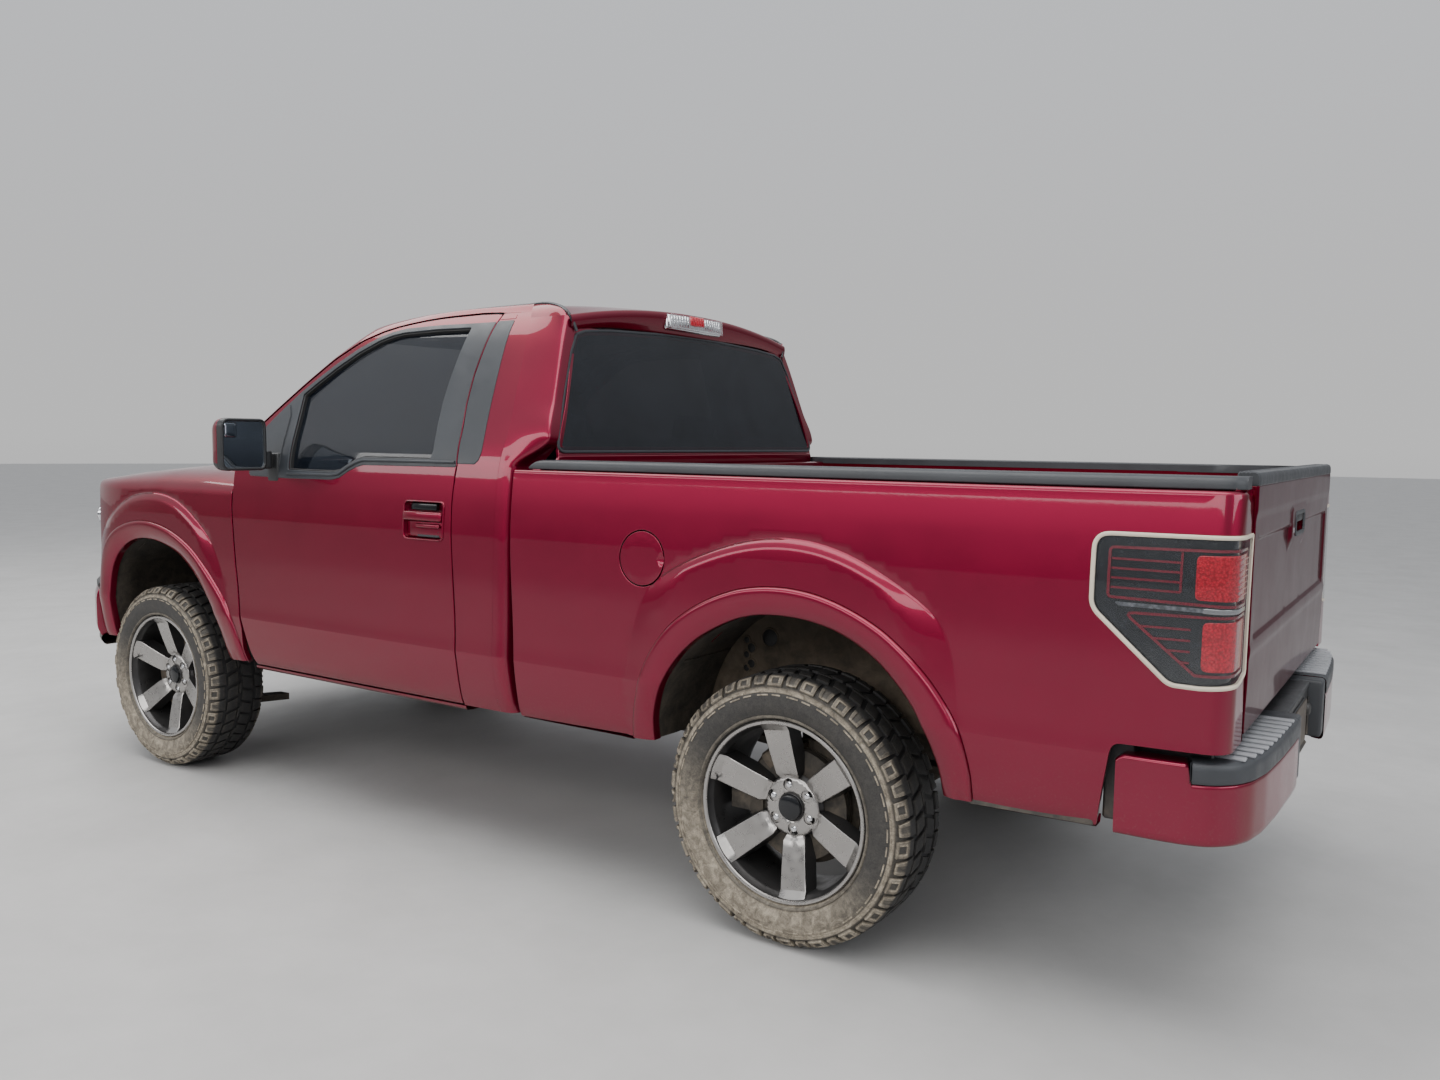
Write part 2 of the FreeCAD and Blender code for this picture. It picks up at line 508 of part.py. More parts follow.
# windscreen and rear window
bot = [Vector(1290 + 130 * (1 - (q / 860.0) ** 2), q, 1338) for q in spread(-860, 860, 9)]
top = [Vector(640 + 55 * (1 - (q / 640.0) ** 2), q, 1898 + 12 * (1 - (q / 640.0) ** 2)) for q in spread(-640, 640, 9)]
ws = surface([[b + (t - b) * f + Vector(18 * 4 * f * (1 - f), 0, 14 * 4 * f * (1 - f)) for b, t in zip(bot, top)] for f in spread(0, 1, 5)])
screen = ws.toShape().extrude(Vector(-5, 0, -5))
rw = [Vector(-502 + (z - 1445) * 0.164, q, z) for z in (1452, 1860) for q in (0,)]
glass_in = grown(rwin, -6)
rear_glass = prism_yz(glass_in, -560, -350).common(prism_xz([(-497, 1440), (-430, 1853), (-426, 1880), (-421, 1880), (-425, 1853), (-492, 1440)], -900, 900))
done(shaped("CabGlass", Part.makeCompound([screen, rear_glass])), "cab_glass")

# dashboard and seats
dash = prism_xz([(1140, 900), (900, 900), (850, 980), (850, 1160), (930, 1235), (1140, 1248)], -796, 796)
column = Vector(-0.93, 0, 0.37)
column.normalize()
hub_at = Vector(690, 400, 1120)
dash = dash.fuse(Part.makeCylinder(34, 210, hub_at - column * 250, column))
done(shaped("Dashboard", dash), "dashboard")
cush = prism_xz([(60, 800), (560, 830), (580, 900), (560, 945), (60, 905)], -690, 690)
done(shaped("SeatCushion", cush), "seat_cushion")
back = prism_xz([(50, 905), (-60, 1480), (-100, 1600), (-170, 1600), (-180, 1480), (-90, 820), (40, 820)], -690, 690)
done(shaped("SeatBack", back), "seat_back")

# steering wheel on its column
b = doc.addObject("Part::Torus", "WheelGrip")
b.Radius1, b.Radius2 = S("wheel_rim_radius"), S("grip_radius")
bind(b, "Radius1", "Sizes.wheel_rim_radius")
bind(b, "Radius2", "Sizes.grip_radius")
hubc = cyl("WheelHub", 62, (0, 0, -30), (0, 0, 1), 40)
sp1 = box("WheelSpokeA", -186, 186, -16, 16, -14, 2)
sp2 = box("WheelSpokeB", -16, 16, -186, 0, -14, 2)
sw = fuse("SteeringWheelParts", b, hubc, sp1, sp2)
sw.Placement = Placement(Vector(690, 400, 1120), Rotation(Vector(0, 0, 1), Vector(-0.93, 0, 0.37)))
done(sw, "steering_wheel")


# ------------------------------------------------------------------- doors
def door(sd):
    low = side_slab(-160, 1176, 540, 1390, S("door_depth"), 12, 22)
    low = low.common(prism_xz(DOOR, 100, 1200)).common(Part.makeBox(2000, 2000, 845, Vector(-500, 0, 540)))
    up = side_slab(-160, 1176, 1330, 1935, S("frame_depth"), 12, 16)
    up = up.common(prism_xz(DOOR, 100, 1200))
    d = low.fuse(up)
    d = d.cut(prism_xz(WINDOW, 100, 1200))
    d = d.fuse(prism_xz([(868, 1300), (934, 1300), (928, 1412), (876, 1412)], 925, 974))
    return d.cut(roof_clear).removeSplitter()


d = door(1)
done(shaped("DoorLeft", d), "door_left")
done(shaped("DoorRight", mirrored(d)), "door_right")
gl = slab(lambda x, z: side_y(x, z) - 20, spread(0, 860, 8), spread(1330, 1900, 14), lambda u, v, w: Vector(u, w, v), Vector(0, -S("glass_thickness"), 0))
gl = gl.common(prism_xz(grown(WINDOW, -1.5), 100, 1200))
done(shaped("DoorGlassLeft", gl), "door_glass_left")
done(shaped("DoorGlassRight", mirrored(gl)), "door_glass_right")

# mirrors: a folding head on a short arm ahead of the window corner
mh = prism_xz([(840, 1345), (905, 1338), (935, 1400), (930, 1500), (900, 1545), (850, 1545), (838, 1500)], 1010, 1232)
mh = mh.cut(prism_xy([(800, 990), (800, 1076), (838, 1060), (882, 1004), (882, 990)], 1300, 1600))
arm = Part.makeCylinder(25, 70, Vector(900, 1004, 1350), Vector(0, 0, 1))
mir = mh.fuse([arm, Part.makeBox(46, 30, 66, Vector(877, 1004, 1352))]).removeSplitter()
done(shaped("MirrorLeft", mir), "mirror_left")
done(shaped("MirrorRight", mirrored(mir)), "mirror_right")


# -------------------------------------------------------- front sheet metal
def hood_edge(x):
    return 842 - 0.00010 * max(0, x - 1500) ** 2 * 0.9


HOODZ = [(1250, 1352), (1450, 1362), (1700, 1360), (1900, 1350), (2100, 1334), (2300, 1308), (2450, 1278), (2530, 1255), (2580, 1225)]


def hood_z(x, y):
    return interp(HOODZ, x) - 34 * (abs(y) / 820.0) ** 3


hood_plan = [(1345, -835), (1420, -400), (1440, 0), (1420, 400), (1345, 835), (1700, 830), (2000, 810), (2200, 785), (2350, 750),
             (2450, 690), (2520, 560), (2560, 300), (2570, 0), (2560, -300), (2520, -560), (2450, -690), (2350, -750),
             (2200, -785), (2000, -810), (1700, -830)]
hood = slab(hood_z, spread(1250, 2600, 16), spread(-860, 860, 13), lambda u, v, w: Vector(u, v, w), Vector(0, 0, -S("hood_thickness")))
hood = hood.common(prism_xy(hood_plan, 1000, 1500))
done(shaped("Hood", hood), "hood")

fender_out = [(1122, 548), (1128, 600), (1112, 690), (1115, 759), (1128, 858), (1144, 955), (1164, 1120), (1172, 1190), (1174, 1326),
              (1246, 1300), (1400, 1330), (1700, 1322), (2000, 1296), (2200, 1262), (2260, 1200), (2290, 1130), (2250, 1000), (2250, 800), (2250, 500), (1245, 500)]


def fender():
    s = side_slab(1100, 2300, 500, 1335, S("skin_thickness"), 26, 22)
    s = s.common(prism_xz([(1122, 548), (1128, 600), (1112, 690), (1115, 759), (1128, 858), (1144, 955), (1164, 1120), (1172, 1190), (1174, 1322),
                           (1600, 1322), (1900, 1306), (2100, 1286), (2200, 1262), (2250, 1200), (2260, 1130), (2242, 1000), (2238, 798), (2101, 798), (2090, 548)], 100, 1200))
    s = s.cut(prism_xz(FRONT_ARCH, 100, 1200))
    topz = lambda x, yy: hood_z(x, 835) + 2 - (yy - 840) * 0.12
    t = slab(topz, spread(1246, 2200, 10), spread(842, 960, 4), lambda u, v, w: Vector(u, v, w), Vector(0, 0, -20))
    t = t.common(prism_xy([(1250, 842), (1700, 838), (2000, 818), (2200, 793), (2200, 870), (2000, 925), (1700, 955), (1250, 955)], 1000, 1500))
    return s.fuse(t).removeSplitter()


f = fender()
done(shaped("FenderLeft", f), "fender_left")
done(shaped("FenderRight", mirrored(f)), "fender_right")

# engine-bay sides with wheel liners, and the radiator carrier
bay = []
for sd in (1, -1):
    ya, yb = sorted((sd * 520, sd * 900))
    yc, yd = sorted((sd * 600, sd * 620))
    yi, yj = sorted((sd * 540, sd * 556))
    ring = Part.makeCylinder(520, abs(yb - ya), Vector(FRONT_AXLE_X, ya, 520), Vector(0, 1, 0))
    ring = ring.cut(Part.makeCylinder(508, abs(yb - ya) + 2, Vector(FRONT_AXLE_X, ya - 1, 520), Vector(0, 1, 0)))
    ring = ring.common(Part.makeBox(884, 1000, 600, Vector(1256, min(ya, yb) - 10, 640)))
    wall = Part.makeBox(930, 16, 215, Vector(1255, yi, 1000))
    bay.append(ring.fuse(wall))
rad = Part.makeBox(60, 1100, 560, Vector(2290, -550, 660))
bay.append(rad)
done(shaped("EngineBay", Part.makeCompound(bay)), "engine_bay")


def front_plan(depth):
    out = [(0, 2707), (300, 2698), (500, 2682), (650, 2655), (740, 2615), (800, 2560), (850, 2502), (900, 2425), (945, 2335), (985, 2245)]
    o = [(x, y) for y, x in out]
    full = [(x, -y) for x, y in o[::-1]] + o[1:]
    inner = [(x - depth * (0.45 + 0.55 * min(1.0, (985 - abs(y)) / 300.0)), y * 0.955) for x, y in full]
    return full + inner[::-1]


fb = prism_xy(front_plan(90), 500, 790)
fb = fb.cut(Part.makeBox(600, 700, 130, Vector(2500, -350, 560)))
done(shaped("FrontBumper", fb), "front_bumper")
gr = prism_xy([(2625, -540), (2640, -300), (2645, 0), (2640, 300), (2625, 540), (2585, 540), (2600, 0), (2585, -540)], 800, 1205)
done(shaped("Grille", gr), "grille")
hl = prism_xy([(2618, 546), (2590, 700), (2520, 800), (2420, 860), (2310, 905), (2268, 912), (2268, 850), (2400, 790), (2500, 690), (2560, 546)], 870, 1185)
done(shaped("Headlights", Part.makeCompound([hl, mirrored(hl)])), "headlights")


# --------------------------------------------------------------------- bed
LAMP = [(-2660, 1276), (-2325, 1271), (-2306, 1241), (-2306, 1093), (-2490, 924), (-2592, 928), (-2660, 940)]
lamp_side = prism_xz(grown(LAMP, 1.5), 896, 1100)
lamp_back = prism_xz([(-2700, 1277.5), (-2618, 1277.5), (-2618, 926), (-2700, 926)], S("tailgate_half_width") + 14, 1100)
lamp_pocket = lamp_side.fuse(lamp_back)


def bedside():
    s = side_slab(-2640, -425, 530, 1390, S("skin_thickness"), 46, 22)
    out = [(-430, 548), (-430, 738), (-405, 1098), (-400, 1381), (-2610, 1381), (-2625, 1150), (-2632, 765), (-2374, 765), (-2336, 548)]
    s = s.common(prism_xz(out, 100, 1200))
    s = s.cut(prism_xz(REAR_ARCH, 100, 1200))
    wi = S("bed_wall_inner")
    inner = prism_xz([(-540, 842), (-540, 1381), (-2590, 1381), (-2590, 842)], wi, wi + 16)
    top = prism_yz([(wi, 1381), (wi, 1409), (915, 1409), (923, 1400), (938, 1381)], -2631, -468)
    top = top.cut(prism_xy([(-460, 940), (-474, 932), (-512, 895), (-530, 860), (-532, 820), (-400, 820), (-400, 940)], 1370, 1420))
    web = prism_xz([(-2590, 1366), (-540, 1366), (-540, 1383), (-2590, 1383)], wi, 950)
    post = prism_xz([(-2632, 765), (-2591, 765), (-2591, 1383), (-2612, 1383)], S("tailgate_half_width") + 8, 962)
    s = s.fuse([inner, top, web, post])
    return s.cut(lamp_pocket)


b1 = bedside()
fuelhole = Part.makeCylinder(FUEL_R + 5, 60, Vector(FUEL_C[0], 960, FUEL_C[1]), Vector(0, 1, 0))
b1l = b1.cut(fuelhole).removeSplitter()
done(shaped("BedsideLeft", b1l), "bedside_left")
done(shaped("BedsideRight", mirrored(b1.removeSplitter())), "bedside_right")
fd = side_slab(-1100, -800, 1000, 1230, 8, 6, 6).common(Part.makeCylinder(FUEL_R, 200, Vector(FUEL_C[0], 900, FUEL_C[1]), Vector(0, 1, 0)))
done(shaped("FuelDoor", fd), "fuel_door")

zf = S("bed_floor_top")
bed = Part.makeBox(2002, 1658, S("bed_floor_thickness"), Vector(-2590, -829, zf - S("bed_floor_thickness")))
bed = bed.fuse(Part.makeBox(48, 1658, 1381 - zf + S("bed_floor_thickness"), Vector(-588, -829, zf - S("bed_floor_thickness"))))
for sd in (1, -1):
    ya, yb = sorted((sd * 635, sd * 829))
    hump = prism_xz([(-1880, zf - 20), (-1860, 950), (-1760, 1050), (-1600, 1098), (-1320, 1098), (-1160, 1050), (-1060, 950), (-1040, zf - 20)], ya, yb)
    hollow = prism_xz([(-1868, zf - 60), (-1848, 945), (-1753, 1038), (-1598, 1086), (-1322, 1086), (-1167, 1038), (-1072, 945), (-1052, zf - 60)],
                      min(sd * 647, sd * 831), max(sd * 647, sd * 831))
    bed = bed.fuse(hump).cut(hollow)
done(shaped("BedBox", bed.removeSplitter()), "bed_box")

# tailgate
tg = prism_xz([(-2595, 782), (-2595, 1385), (-2590, 1420), (-2636, 1420), (-2642, 1300), (-2636, 1260), (-2640, 975), (-2640, 782)], -S("tailgate_half_width"), S("tailgate_half_width"))
done(shaped("Tailgate", tg), "tailgate")
# lamps: each wraps the rear corner from the side to the tailgate
wrap = side_slab(-2650, -2290, 900, 1290, 70, 8, 8).common(prism_xz(LAMP, 898, 1100)).common(Part.makeBox(400, 400, 600, Vector(-2637, 800, 800)))
face = prism_xy([(-2640, 797), (-2640, 900), (-2620, 938), (-2590, 938), (-2618, 900), (-2618, 797)], 928, 1275)
face = face.common(Part.makeBox(60, 400, 600, Vector(-2640, 784, 800)))
tl = wrap.fuse(face).common(lamp_pocket).removeSplitter()
done(shaped("RearLamps", Part.makeCompound([tl, mirrored(tl), Part.makeBox(40, 380, 66, Vector(-473, -190, 1906))])), "rear_lamps")

# rear bumper with ribbed step pads
rb_plan = [(-2575, -900), (-2383, -975), (-2383, -935), (-2500, -880), (-2500, 880), (-2383, 935), (-2383, 975), (-2575, 965), (-2640, 925),
           (-2690, 800), (-2707.5, 330), (-2660, 250), (-2660, -250), (-2707.5, -330), (-2690, -800), (-2640, -925), (-2575, -965)]
rb_plan = [(-2383, -975), (-2383, -935), (-2500, -880), (-2500, 880), (-2383, 935), (-2383, 975), (-2575, 965), (-2640, 925),
           (-2690, 800), (-2707.5, 330), (-2660, 250), (-2660, -250), (-2707.5, -330), (-2690, -800), (-2640, -925), (-2575, -965)]
rb = prism_xy(rb_plan, 540, 740)
rb = rb.cut(Part.makeBox(200, 1500, 172, Vector(-2660, -750, 538)))
done(shaped("RearBumper", rb.removeSplitter()), "rear_bumper")

# ------------------------------------------------------------- write out
doc.recompute()
for o in doc.Objects:
    bad = [s for s in o.State if s in ("Invalid", "Error")]
    if bad:
        raise RuntimeError("%s is %s" % (o.Name, bad))
for o in finished:
    if o.Shape.isNull() or not o.Shape.isValid():
        raise RuntimeError("%s has no valid shape" % o.Label)
os.makedirs("parts", exist_ok=True)
for o in finished:
    o.Shape.exportStep("parts/%s.step" % o.Label)
    bb = o.Shape.BoundBox
    print("%-18s solids %d vol %.1f L  x %.0f %.0f y %.0f %.0f z %.0f %.0f" % (
        o.Label, len(o.Shape.Solids), o.Shape.Volume / 1e6, bb.XMin, bb.XMax, bb.YMin, bb.YMax, bb.ZMin, bb.ZMax))
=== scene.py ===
import bpy, bmesh, math
import numpy as np
from mathutils import Vector, Matrix
from mathutils.geometry import delaunay_2d_cdt


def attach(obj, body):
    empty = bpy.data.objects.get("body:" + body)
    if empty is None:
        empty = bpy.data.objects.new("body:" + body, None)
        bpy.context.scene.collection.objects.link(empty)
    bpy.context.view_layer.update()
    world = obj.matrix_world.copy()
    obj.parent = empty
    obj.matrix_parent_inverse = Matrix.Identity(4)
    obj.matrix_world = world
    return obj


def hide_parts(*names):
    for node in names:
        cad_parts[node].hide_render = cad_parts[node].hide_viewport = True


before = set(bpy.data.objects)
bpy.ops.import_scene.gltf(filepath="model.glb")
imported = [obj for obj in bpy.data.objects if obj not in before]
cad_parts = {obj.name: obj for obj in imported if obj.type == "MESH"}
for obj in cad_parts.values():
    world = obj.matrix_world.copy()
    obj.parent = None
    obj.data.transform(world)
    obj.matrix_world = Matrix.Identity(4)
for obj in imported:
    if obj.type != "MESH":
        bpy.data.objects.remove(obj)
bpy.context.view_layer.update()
scene = bpy.context.scene
MM = 0.001
rng = np.random.default_rng(7)

# ------------------------------------------------------------------ camera
cam_data = bpy.data.cameras.new("view")
cam = bpy.data.objects.new("view", cam_data)
scene.collection.objects.link(cam)
scene.camera = cam
cam_data.sensor_width = 36.0
cam_data.lens = 28.278
cam_data.shift_x = -0.00035
cam_data.shift_y = 0.0018
cam_data.clip_start = 0.1
cam_data.clip_end = 200
yaw, pitch, roll = math.radians(-56.38), math.radians(-5.17), math.radians(0.6)
fwd = Vector((math.cos(yaw) * math.cos(pitch), math.sin(yaw) * math.cos(pitch), math.sin(pitch)))
right = Vector((math.sin(yaw), -math.cos(yaw), 0))
up = right.cross(fwd)
right2 = math.cos(roll) * right + math.sin(roll) * up
up2 = -math.sin(roll) * right + math.cos(roll) * up
rot = Matrix((right2, up2, -fwd)).transposed()
cam.matrix_world = Matrix.Translation((-3.0634, 3.7241, 1.4801)) @ rot.to_4x4()


# ------------------------------------------------------------- node materials
def new_mat(name):
    m = bpy.data.materials.new(name)
    m.use_nodes = True
    nt = m.node_tree
    bsdf = nt.nodes["Principled BSDF"]
    return m, nt, bsdf


def nd(nt, kind, **props):
    n = nt.nodes.new(kind)
    for k, v in props.items():
        setattr(n, k, v)
    return n


def coords(nt, scale=(1, 1, 1)):
    tc = nd(nt, "ShaderNodeTexCoord")
    mp = nd(nt, "ShaderNodeMapping")
    mp.inputs["Scale"].default_value = scale
    nt.links.new(tc.outputs["Object"], mp.inputs["Vector"])
    return mp.outputs["Vector"], tc


def noise(nt, vec, scale, detail=4.0, rough=0.55, dist=0.0):
    n = nd(nt, "ShaderNodeTexNoise")
    n.inputs["Scale"].default_value = scale
    n.inputs["Detail"].default_value = detail
    n.inputs["Roughness"].default_value = rough
    n.inputs["Distortion"].default_value = dist
    nt.links.new(vec, n.inputs["Vector"])
    return n.outputs["Fac"]


def ramp(nt, fac, stops):
    r = nd(nt, "ShaderNodeValToRGB")
    el = r.color_ramp.elements
    while len(el) < len(stops):
        el.new(0.5)
    for e, (p, c) in zip(el, stops):
        e.position = p
        e.color = c if len(c) == 4 else (*c, 1)
    nt.links.new(fac, r.inputs["Fac"])
    return r.outputs["Color"]


def mapr(nt, v, a, b, c, d, smooth=False):
    n = nd(nt, "ShaderNodeMapRange")
    if smooth:
        n.interpolation_type = "SMOOTHSTEP"
    for k, x in zip(("From Min", "From Max", "To Min", "To Max"), (a, b, c, d)):
        n.inputs[k].default_value = x
    nt.links.new(v, n.inputs["Value"])
    return n.outputs["Result"]


def mth(nt, op, a, b=None, clamp=False):
    n = nd(nt, "ShaderNodeMath", operation=op)
    n.use_clamp = clamp
    for k, x in enumerate((a, b)):
        if x is None:
            continue
        if isinstance(x, (int, float)):
            n.inputs[k].default_value = x
        else:
            nt.links.new(x, n.inputs[k])
    return n.outputs[0]


def mixc(nt, fac, a, b):
    n = nd(nt, "ShaderNodeMix", data_type="RGBA")
    for s, x in ((0, fac), (6, a), (7, b)):
        if isinstance(x, (int, float)):
            n.inputs[s].default_value = x
        elif isinstance(x, tuple):
            n.inputs[s].default_value = x if len(x) == 4 else (*x, 1)
        else:
            nt.links.new(x, n.inputs[s])
    return n.outputs[2]


def bump(nt, bsdf, height, strength, distance=0.001, normal=None):
    b = nd(nt, "ShaderNodeBump")
    b.inputs["Strength"].default_value = strength
    b.inputs["Distance"].default_value = distance
    nt.links.new(height, b.inputs["Height"])
    if normal is not None:
        nt.links.new(normal, b.inputs["Normal"])
    if bsdf is not None:
        nt.links.new(b.outputs["Normal"], bsdf.inputs["Normal"])
    return b.outputs["Normal"]


def attr(nt, name):
    a = nd(nt, "ShaderNodeAttribute")
    a.attribute_name = name
    return a.outputs["Fac"]


DUST = (0.36, 0.29, 0.21)


def surface_mat(name, base, rough, metal=0.0, coat=0.0, coat_rough=0.03, grain=(400, 0.15), vary=0.12, spec=0.5, dust=0.0,
                dust_top=0.75, dust_low=0.45, rough_vary=0.08, cloud=6.0, grain_dist=0.0006):
    """General finish: base colour with cloudy variation, fine grain, and road dust that thickens towards the ground."""
    m, nt, b = new_mat(name)
    vec, tc = coords(nt)
    c = noise(nt, vec, cloud, 5, 0.6)
    lo = tuple(max(0, x * (1 - vary)) for x in base)
    hi = tuple(min(1, x * (1 + vary)) for x in base)
    col = ramp(nt, c, [(0.3, lo), (0.7, hi)])
    r = mapr(nt, noise(nt, vec, cloud * 4, 4, 0.6), 0.3, 0.7, max(0.0, rough - rough_vary), rough + rough_vary)
    if dust > 0:
        sep = nd(nt, "ShaderNodeSeparateXYZ")
        nt.links.new(tc.outputs["Object"], sep.inputs[0])
        h = mapr(nt, sep.outputs["Z"], dust_low, dust_top, 1.0, 0.0, True)
        spots = mapr(nt, noise(nt, vec, 22, 6, 0.65, 0.4), 0.35, 0.68, 0.15, 1.0)
        d = mth(nt, "MULTIPLY", mth(nt, "MULTIPLY", h, spots), dust, clamp=True)
        col = mixc(nt, d, col, DUST)
        r = mth(nt, "ADD", r, mth(nt, "MULTIPLY", d, 0.35), clamp=True)
    nt.links.new(col, b.inputs["Base Color"])
    nt.links.new(r, b.inputs["Roughness"])
    b.inputs["Metallic"].default_value = metal
    b.inputs["Specular IOR Level"].default_value = spec
    b.inputs["Coat Weight"].default_value = coat
    b.inputs["Coat Roughness"].default_value = coat_rough
    if grain[1] > 0:
        bump(nt, b, noise(nt, vec, grain[0], 3, 0.7), grain[1], grain_dist)
    return m


def paint_mat(name, base=(0.225, 0.0018, 0.030), dark=(0.110, 0.0007, 0.0135), metal=0.72, coat=0.85, edge=(0.62, 0.16, 0.24), ior=1.5):
    """Deep ruby with metal flake under a clear coat, dusty along the sills."""
    m, nt, b = new_mat(name)
    vec, tc = coords(nt)
    flake = nd(nt, "ShaderNodeTexVoronoi")
    flake.inputs["Scale"].default_value = 1500
    nt.links.new(vec, flake.inputs["Vector"])
    lw = nd(nt, "ShaderNodeLayerWeight")
    lw.inputs["Blend"].default_value = 0.35
    col = mixc(nt, lw.outputs["Facing"], base, dark)
    col = mixc(nt, mapr(nt, noise(nt, vec, 3.0, 5, 0.6), 0.35, 0.7, 0.0, 0.18), col, tuple(x * 0.8 for x in base))
    sep = nd(nt, "ShaderNodeSeparateXYZ")
    nt.links.new(tc.outputs["Object"], sep.inputs[0])
    h = mapr(nt, sep.outputs["Z"], 0.42, 0.86, 1.0, 0.0, True)
    haze = mth(nt, "MULTIPLY", h, mapr(nt, noise(nt, vec, 9, 7, 0.7, 0.6), 0.3, 0.75, 0.35, 1.0))
    spots = mapr(nt, noise(nt, vec, 160, 3, 0.6), 0.56, 0.72, 0.0, 1.0)
    d = mth(nt, "ADD", mth(nt, "MULTIPLY", haze, 0.05), mth(nt, "MULTIPLY", mth(nt, "MULTIPLY", spots, h), 0.15), clamp=True)
    col = mixc(nt, d, col, (0.26, 0.15, 0.12))
    nt.links.new(col, b.inputs["Base Color"])
    b.inputs["Metallic"].default_value = metal
    r = mth(nt, "ADD", mapr(nt, noise(nt, vec, 5, 4, 0.6), 0.3, 0.7, 0.30, 0.38), mth(nt, "MULTIPLY", d, 0.5), clamp=True)
    nt.links.new(r, b.inputs["Roughness"])
    b.inputs["Coat Weight"].default_value = coat
    b.inputs["Coat Roughness"].default_value = 0.035
    b.inputs["Coat IOR"].default_value = ior
    b.inputs["IOR"].default_value = ior
    b.inputs["Specular Tint"].default_value = (*edge, 1)
    n1 = bump(nt, None, flake.outputs["Distance"], 0.06, 0.0004)
    nt.links.new(n1, b.inputs["Normal"])
    cb = nd(nt, "ShaderNodeBump")
    cb.inputs["Strength"].default_value = 0.02
    cb.inputs["Distance"].default_value = 0.001
    nt.links.new(noise(nt, vec, 90, 3, 0.5), cb.inputs["Height"])
    nt.links.new(cb.outputs["Normal"], b.inputs["Coat Normal"])
    return m


def glass_mat(name, base, alpha, rough=0.02, smear=0.05):
    m, nt, b = new_mat(name)
    vec, tc = coords(nt)
    n = noise(nt, vec, 7, 5, 0.65, 0.5)
    col = ramp(nt, n, [(0.3, base), (0.75, tuple(min(1, x * 1.5 + 0.004) for x in base))])
    nt.links.new(col, b.inputs["Base Color"])
    nt.links.new(mapr(nt, n, 0.45, 0.8, rough, rough + smear), b.inputs["Roughness"])
    nt.links.new(mapr(nt, n, 0.3, 0.8, alpha, min(1.0, alpha + 0.05)), b.inputs["Alpha"])
    b.inputs["IOR"].default_value = 1.52
    b.inputs["Specular IOR Level"].default_value = 0.6
    return m


MATS = {}
MATS["paint"] = paint_mat("ruby_paint_finish")
# darker, less glossy copy of the ruby paint for the tailgate; its darker colour is painted shade
MATS["paint_tail"] = paint_mat("ruby_paint_tail_painted_shade", (0.085, 0.0010, 0.011), (0.030, 0.0004, 0.005), 0.25, 0.45, (0.20, 0.03, 0.05), 1.22)
MATS["grey"] = surface_mat("grey_cap_finish", (0.032, 0.035, 0.040), 0.46, grain=(900, 0.25), vary=0.18, spec=0.5)
MATS["trim"] = surface_mat("window_trim_finish", (0.030, 0.034, 0.040), 0.42, grain=(700, 0.08), vary=0.12, spec=0.5)
MATS["black"] = surface_mat("black_plastic_finish", (0.018, 0.019, 0.021), 0.45, grain=(800, 0.3), vary=0.2, dust=0.35)
MATS["gloss_black"] = surface_mat("gloss_black_finish", (0.010, 0.011, 0.013), 0.12, grain=(300, 0.02), vary=0.2, rough_vary=0.03)
MATS["rubber"] = surface_mat("seal_rubber_finish", (0.012, 0.012, 0.013), 0.6, grain=(500, 0.2))
MATS["chassis"] = surface_mat("chassis_finish", (0.016, 0.015, 0.014), 0.62, grain=(120, 0.5), vary=0.35, dust=0.30, dust_top=1.1, dust_low=0.2,
                              grain_dist=0.002)
MATS["steel"] = surface_mat("cast_steel_finish", (0.09, 0.075, 0.062), 0.5, metal=0.7, grain=(90, 0.5), vary=0.4, dust=0.30, dust_top=0.9, grain_dist=0.002)
MATS["exhaust"] = surface_mat("exhaust_finish", (0.32, 0.27, 0.22), 0.38, metal=0.9, grain=(60, 0.2), vary=0.3, dust=0.4, dust_top=0.8)
MATS["liner_dust"] = surface_mat("dusty_frame_plate_finish", (0.055, 0.042, 0.030), 0.85, grain=(90, 0.5), vary=0.5, dust=0.34, dust_top=1.3, dust_low=0.5)
MATS["liner"] = surface_mat("wheel_housing_finish", (0.020, 0.017, 0.014), 0.85, grain=(70, 0.6), vary=0.5, dust=0.20, dust_top=1.3, dust_low=0.5,
                            grain_dist=0.003)
MATS["bedliner"] = surface_mat("bed_liner_finish", (0.030, 0.030, 0.031), 0.62, grain=(260, 0.7), vary=0.25, grain_dist=0.0015)
MATS["bedpaint"] = paint_mat("bed_paint_finish", (0.15, 0.0025, 0.014), (0.08, 0.001, 0.006))
MATS["cabin"] = surface_mat("cabin_plastic_finish", (0.045, 0.046, 0.050), 0.55, grain=(600, 0.35), vary=0.15)
MATS["leather"] = surface_mat("wheel_leather_finish", (0.020, 0.020, 0.021), 0.5, grain=(350, 0.5), vary=0.15)
MATS["chrome"] = surface_mat("chrome_finish", (0.75, 0.76, 0.78), 0.10, metal=1.0, grain=(60, 0.02), vary=0.04, rough_vary=0.04)
MATS["mirror"] = surface_mat("mirror_glass_finish", (0.55, 0.62, 0.70), 0.03, metal=1.0, grain=(20, 0.01), vary=0.05, rough_vary=0.01)
MATS["cream"] = surface_mat("lamp_rim_finish", (0.62, 0.55, 0.44), 0.35, grain=(200, 0.05), vary=0.1)
MATS["glass"] = glass_mat("tinted_glass_finish", (0.004, 0.006, 0.010), 0.74)
MATS["screen"] = glass_mat("windscreen_finish", (0.02, 0.025, 0.028), 0.16)
MATS["lens"] = glass_mat("clear_lens_finish", (0.55, 0.58, 0.60), 0.16, 0.03, 0.12)
MATS["frit"] = surface_mat("glass_border_finish", (0.006, 0.006, 0.007), 0.18, grain=(100, 0.02))
MATS["wheel_face"] = surface_mat("wheel_face_finish", (0.40, 0.385, 0.37), 0.30, metal=0.95, grain=(900, 0.012), vary=0.05, cloud=9)
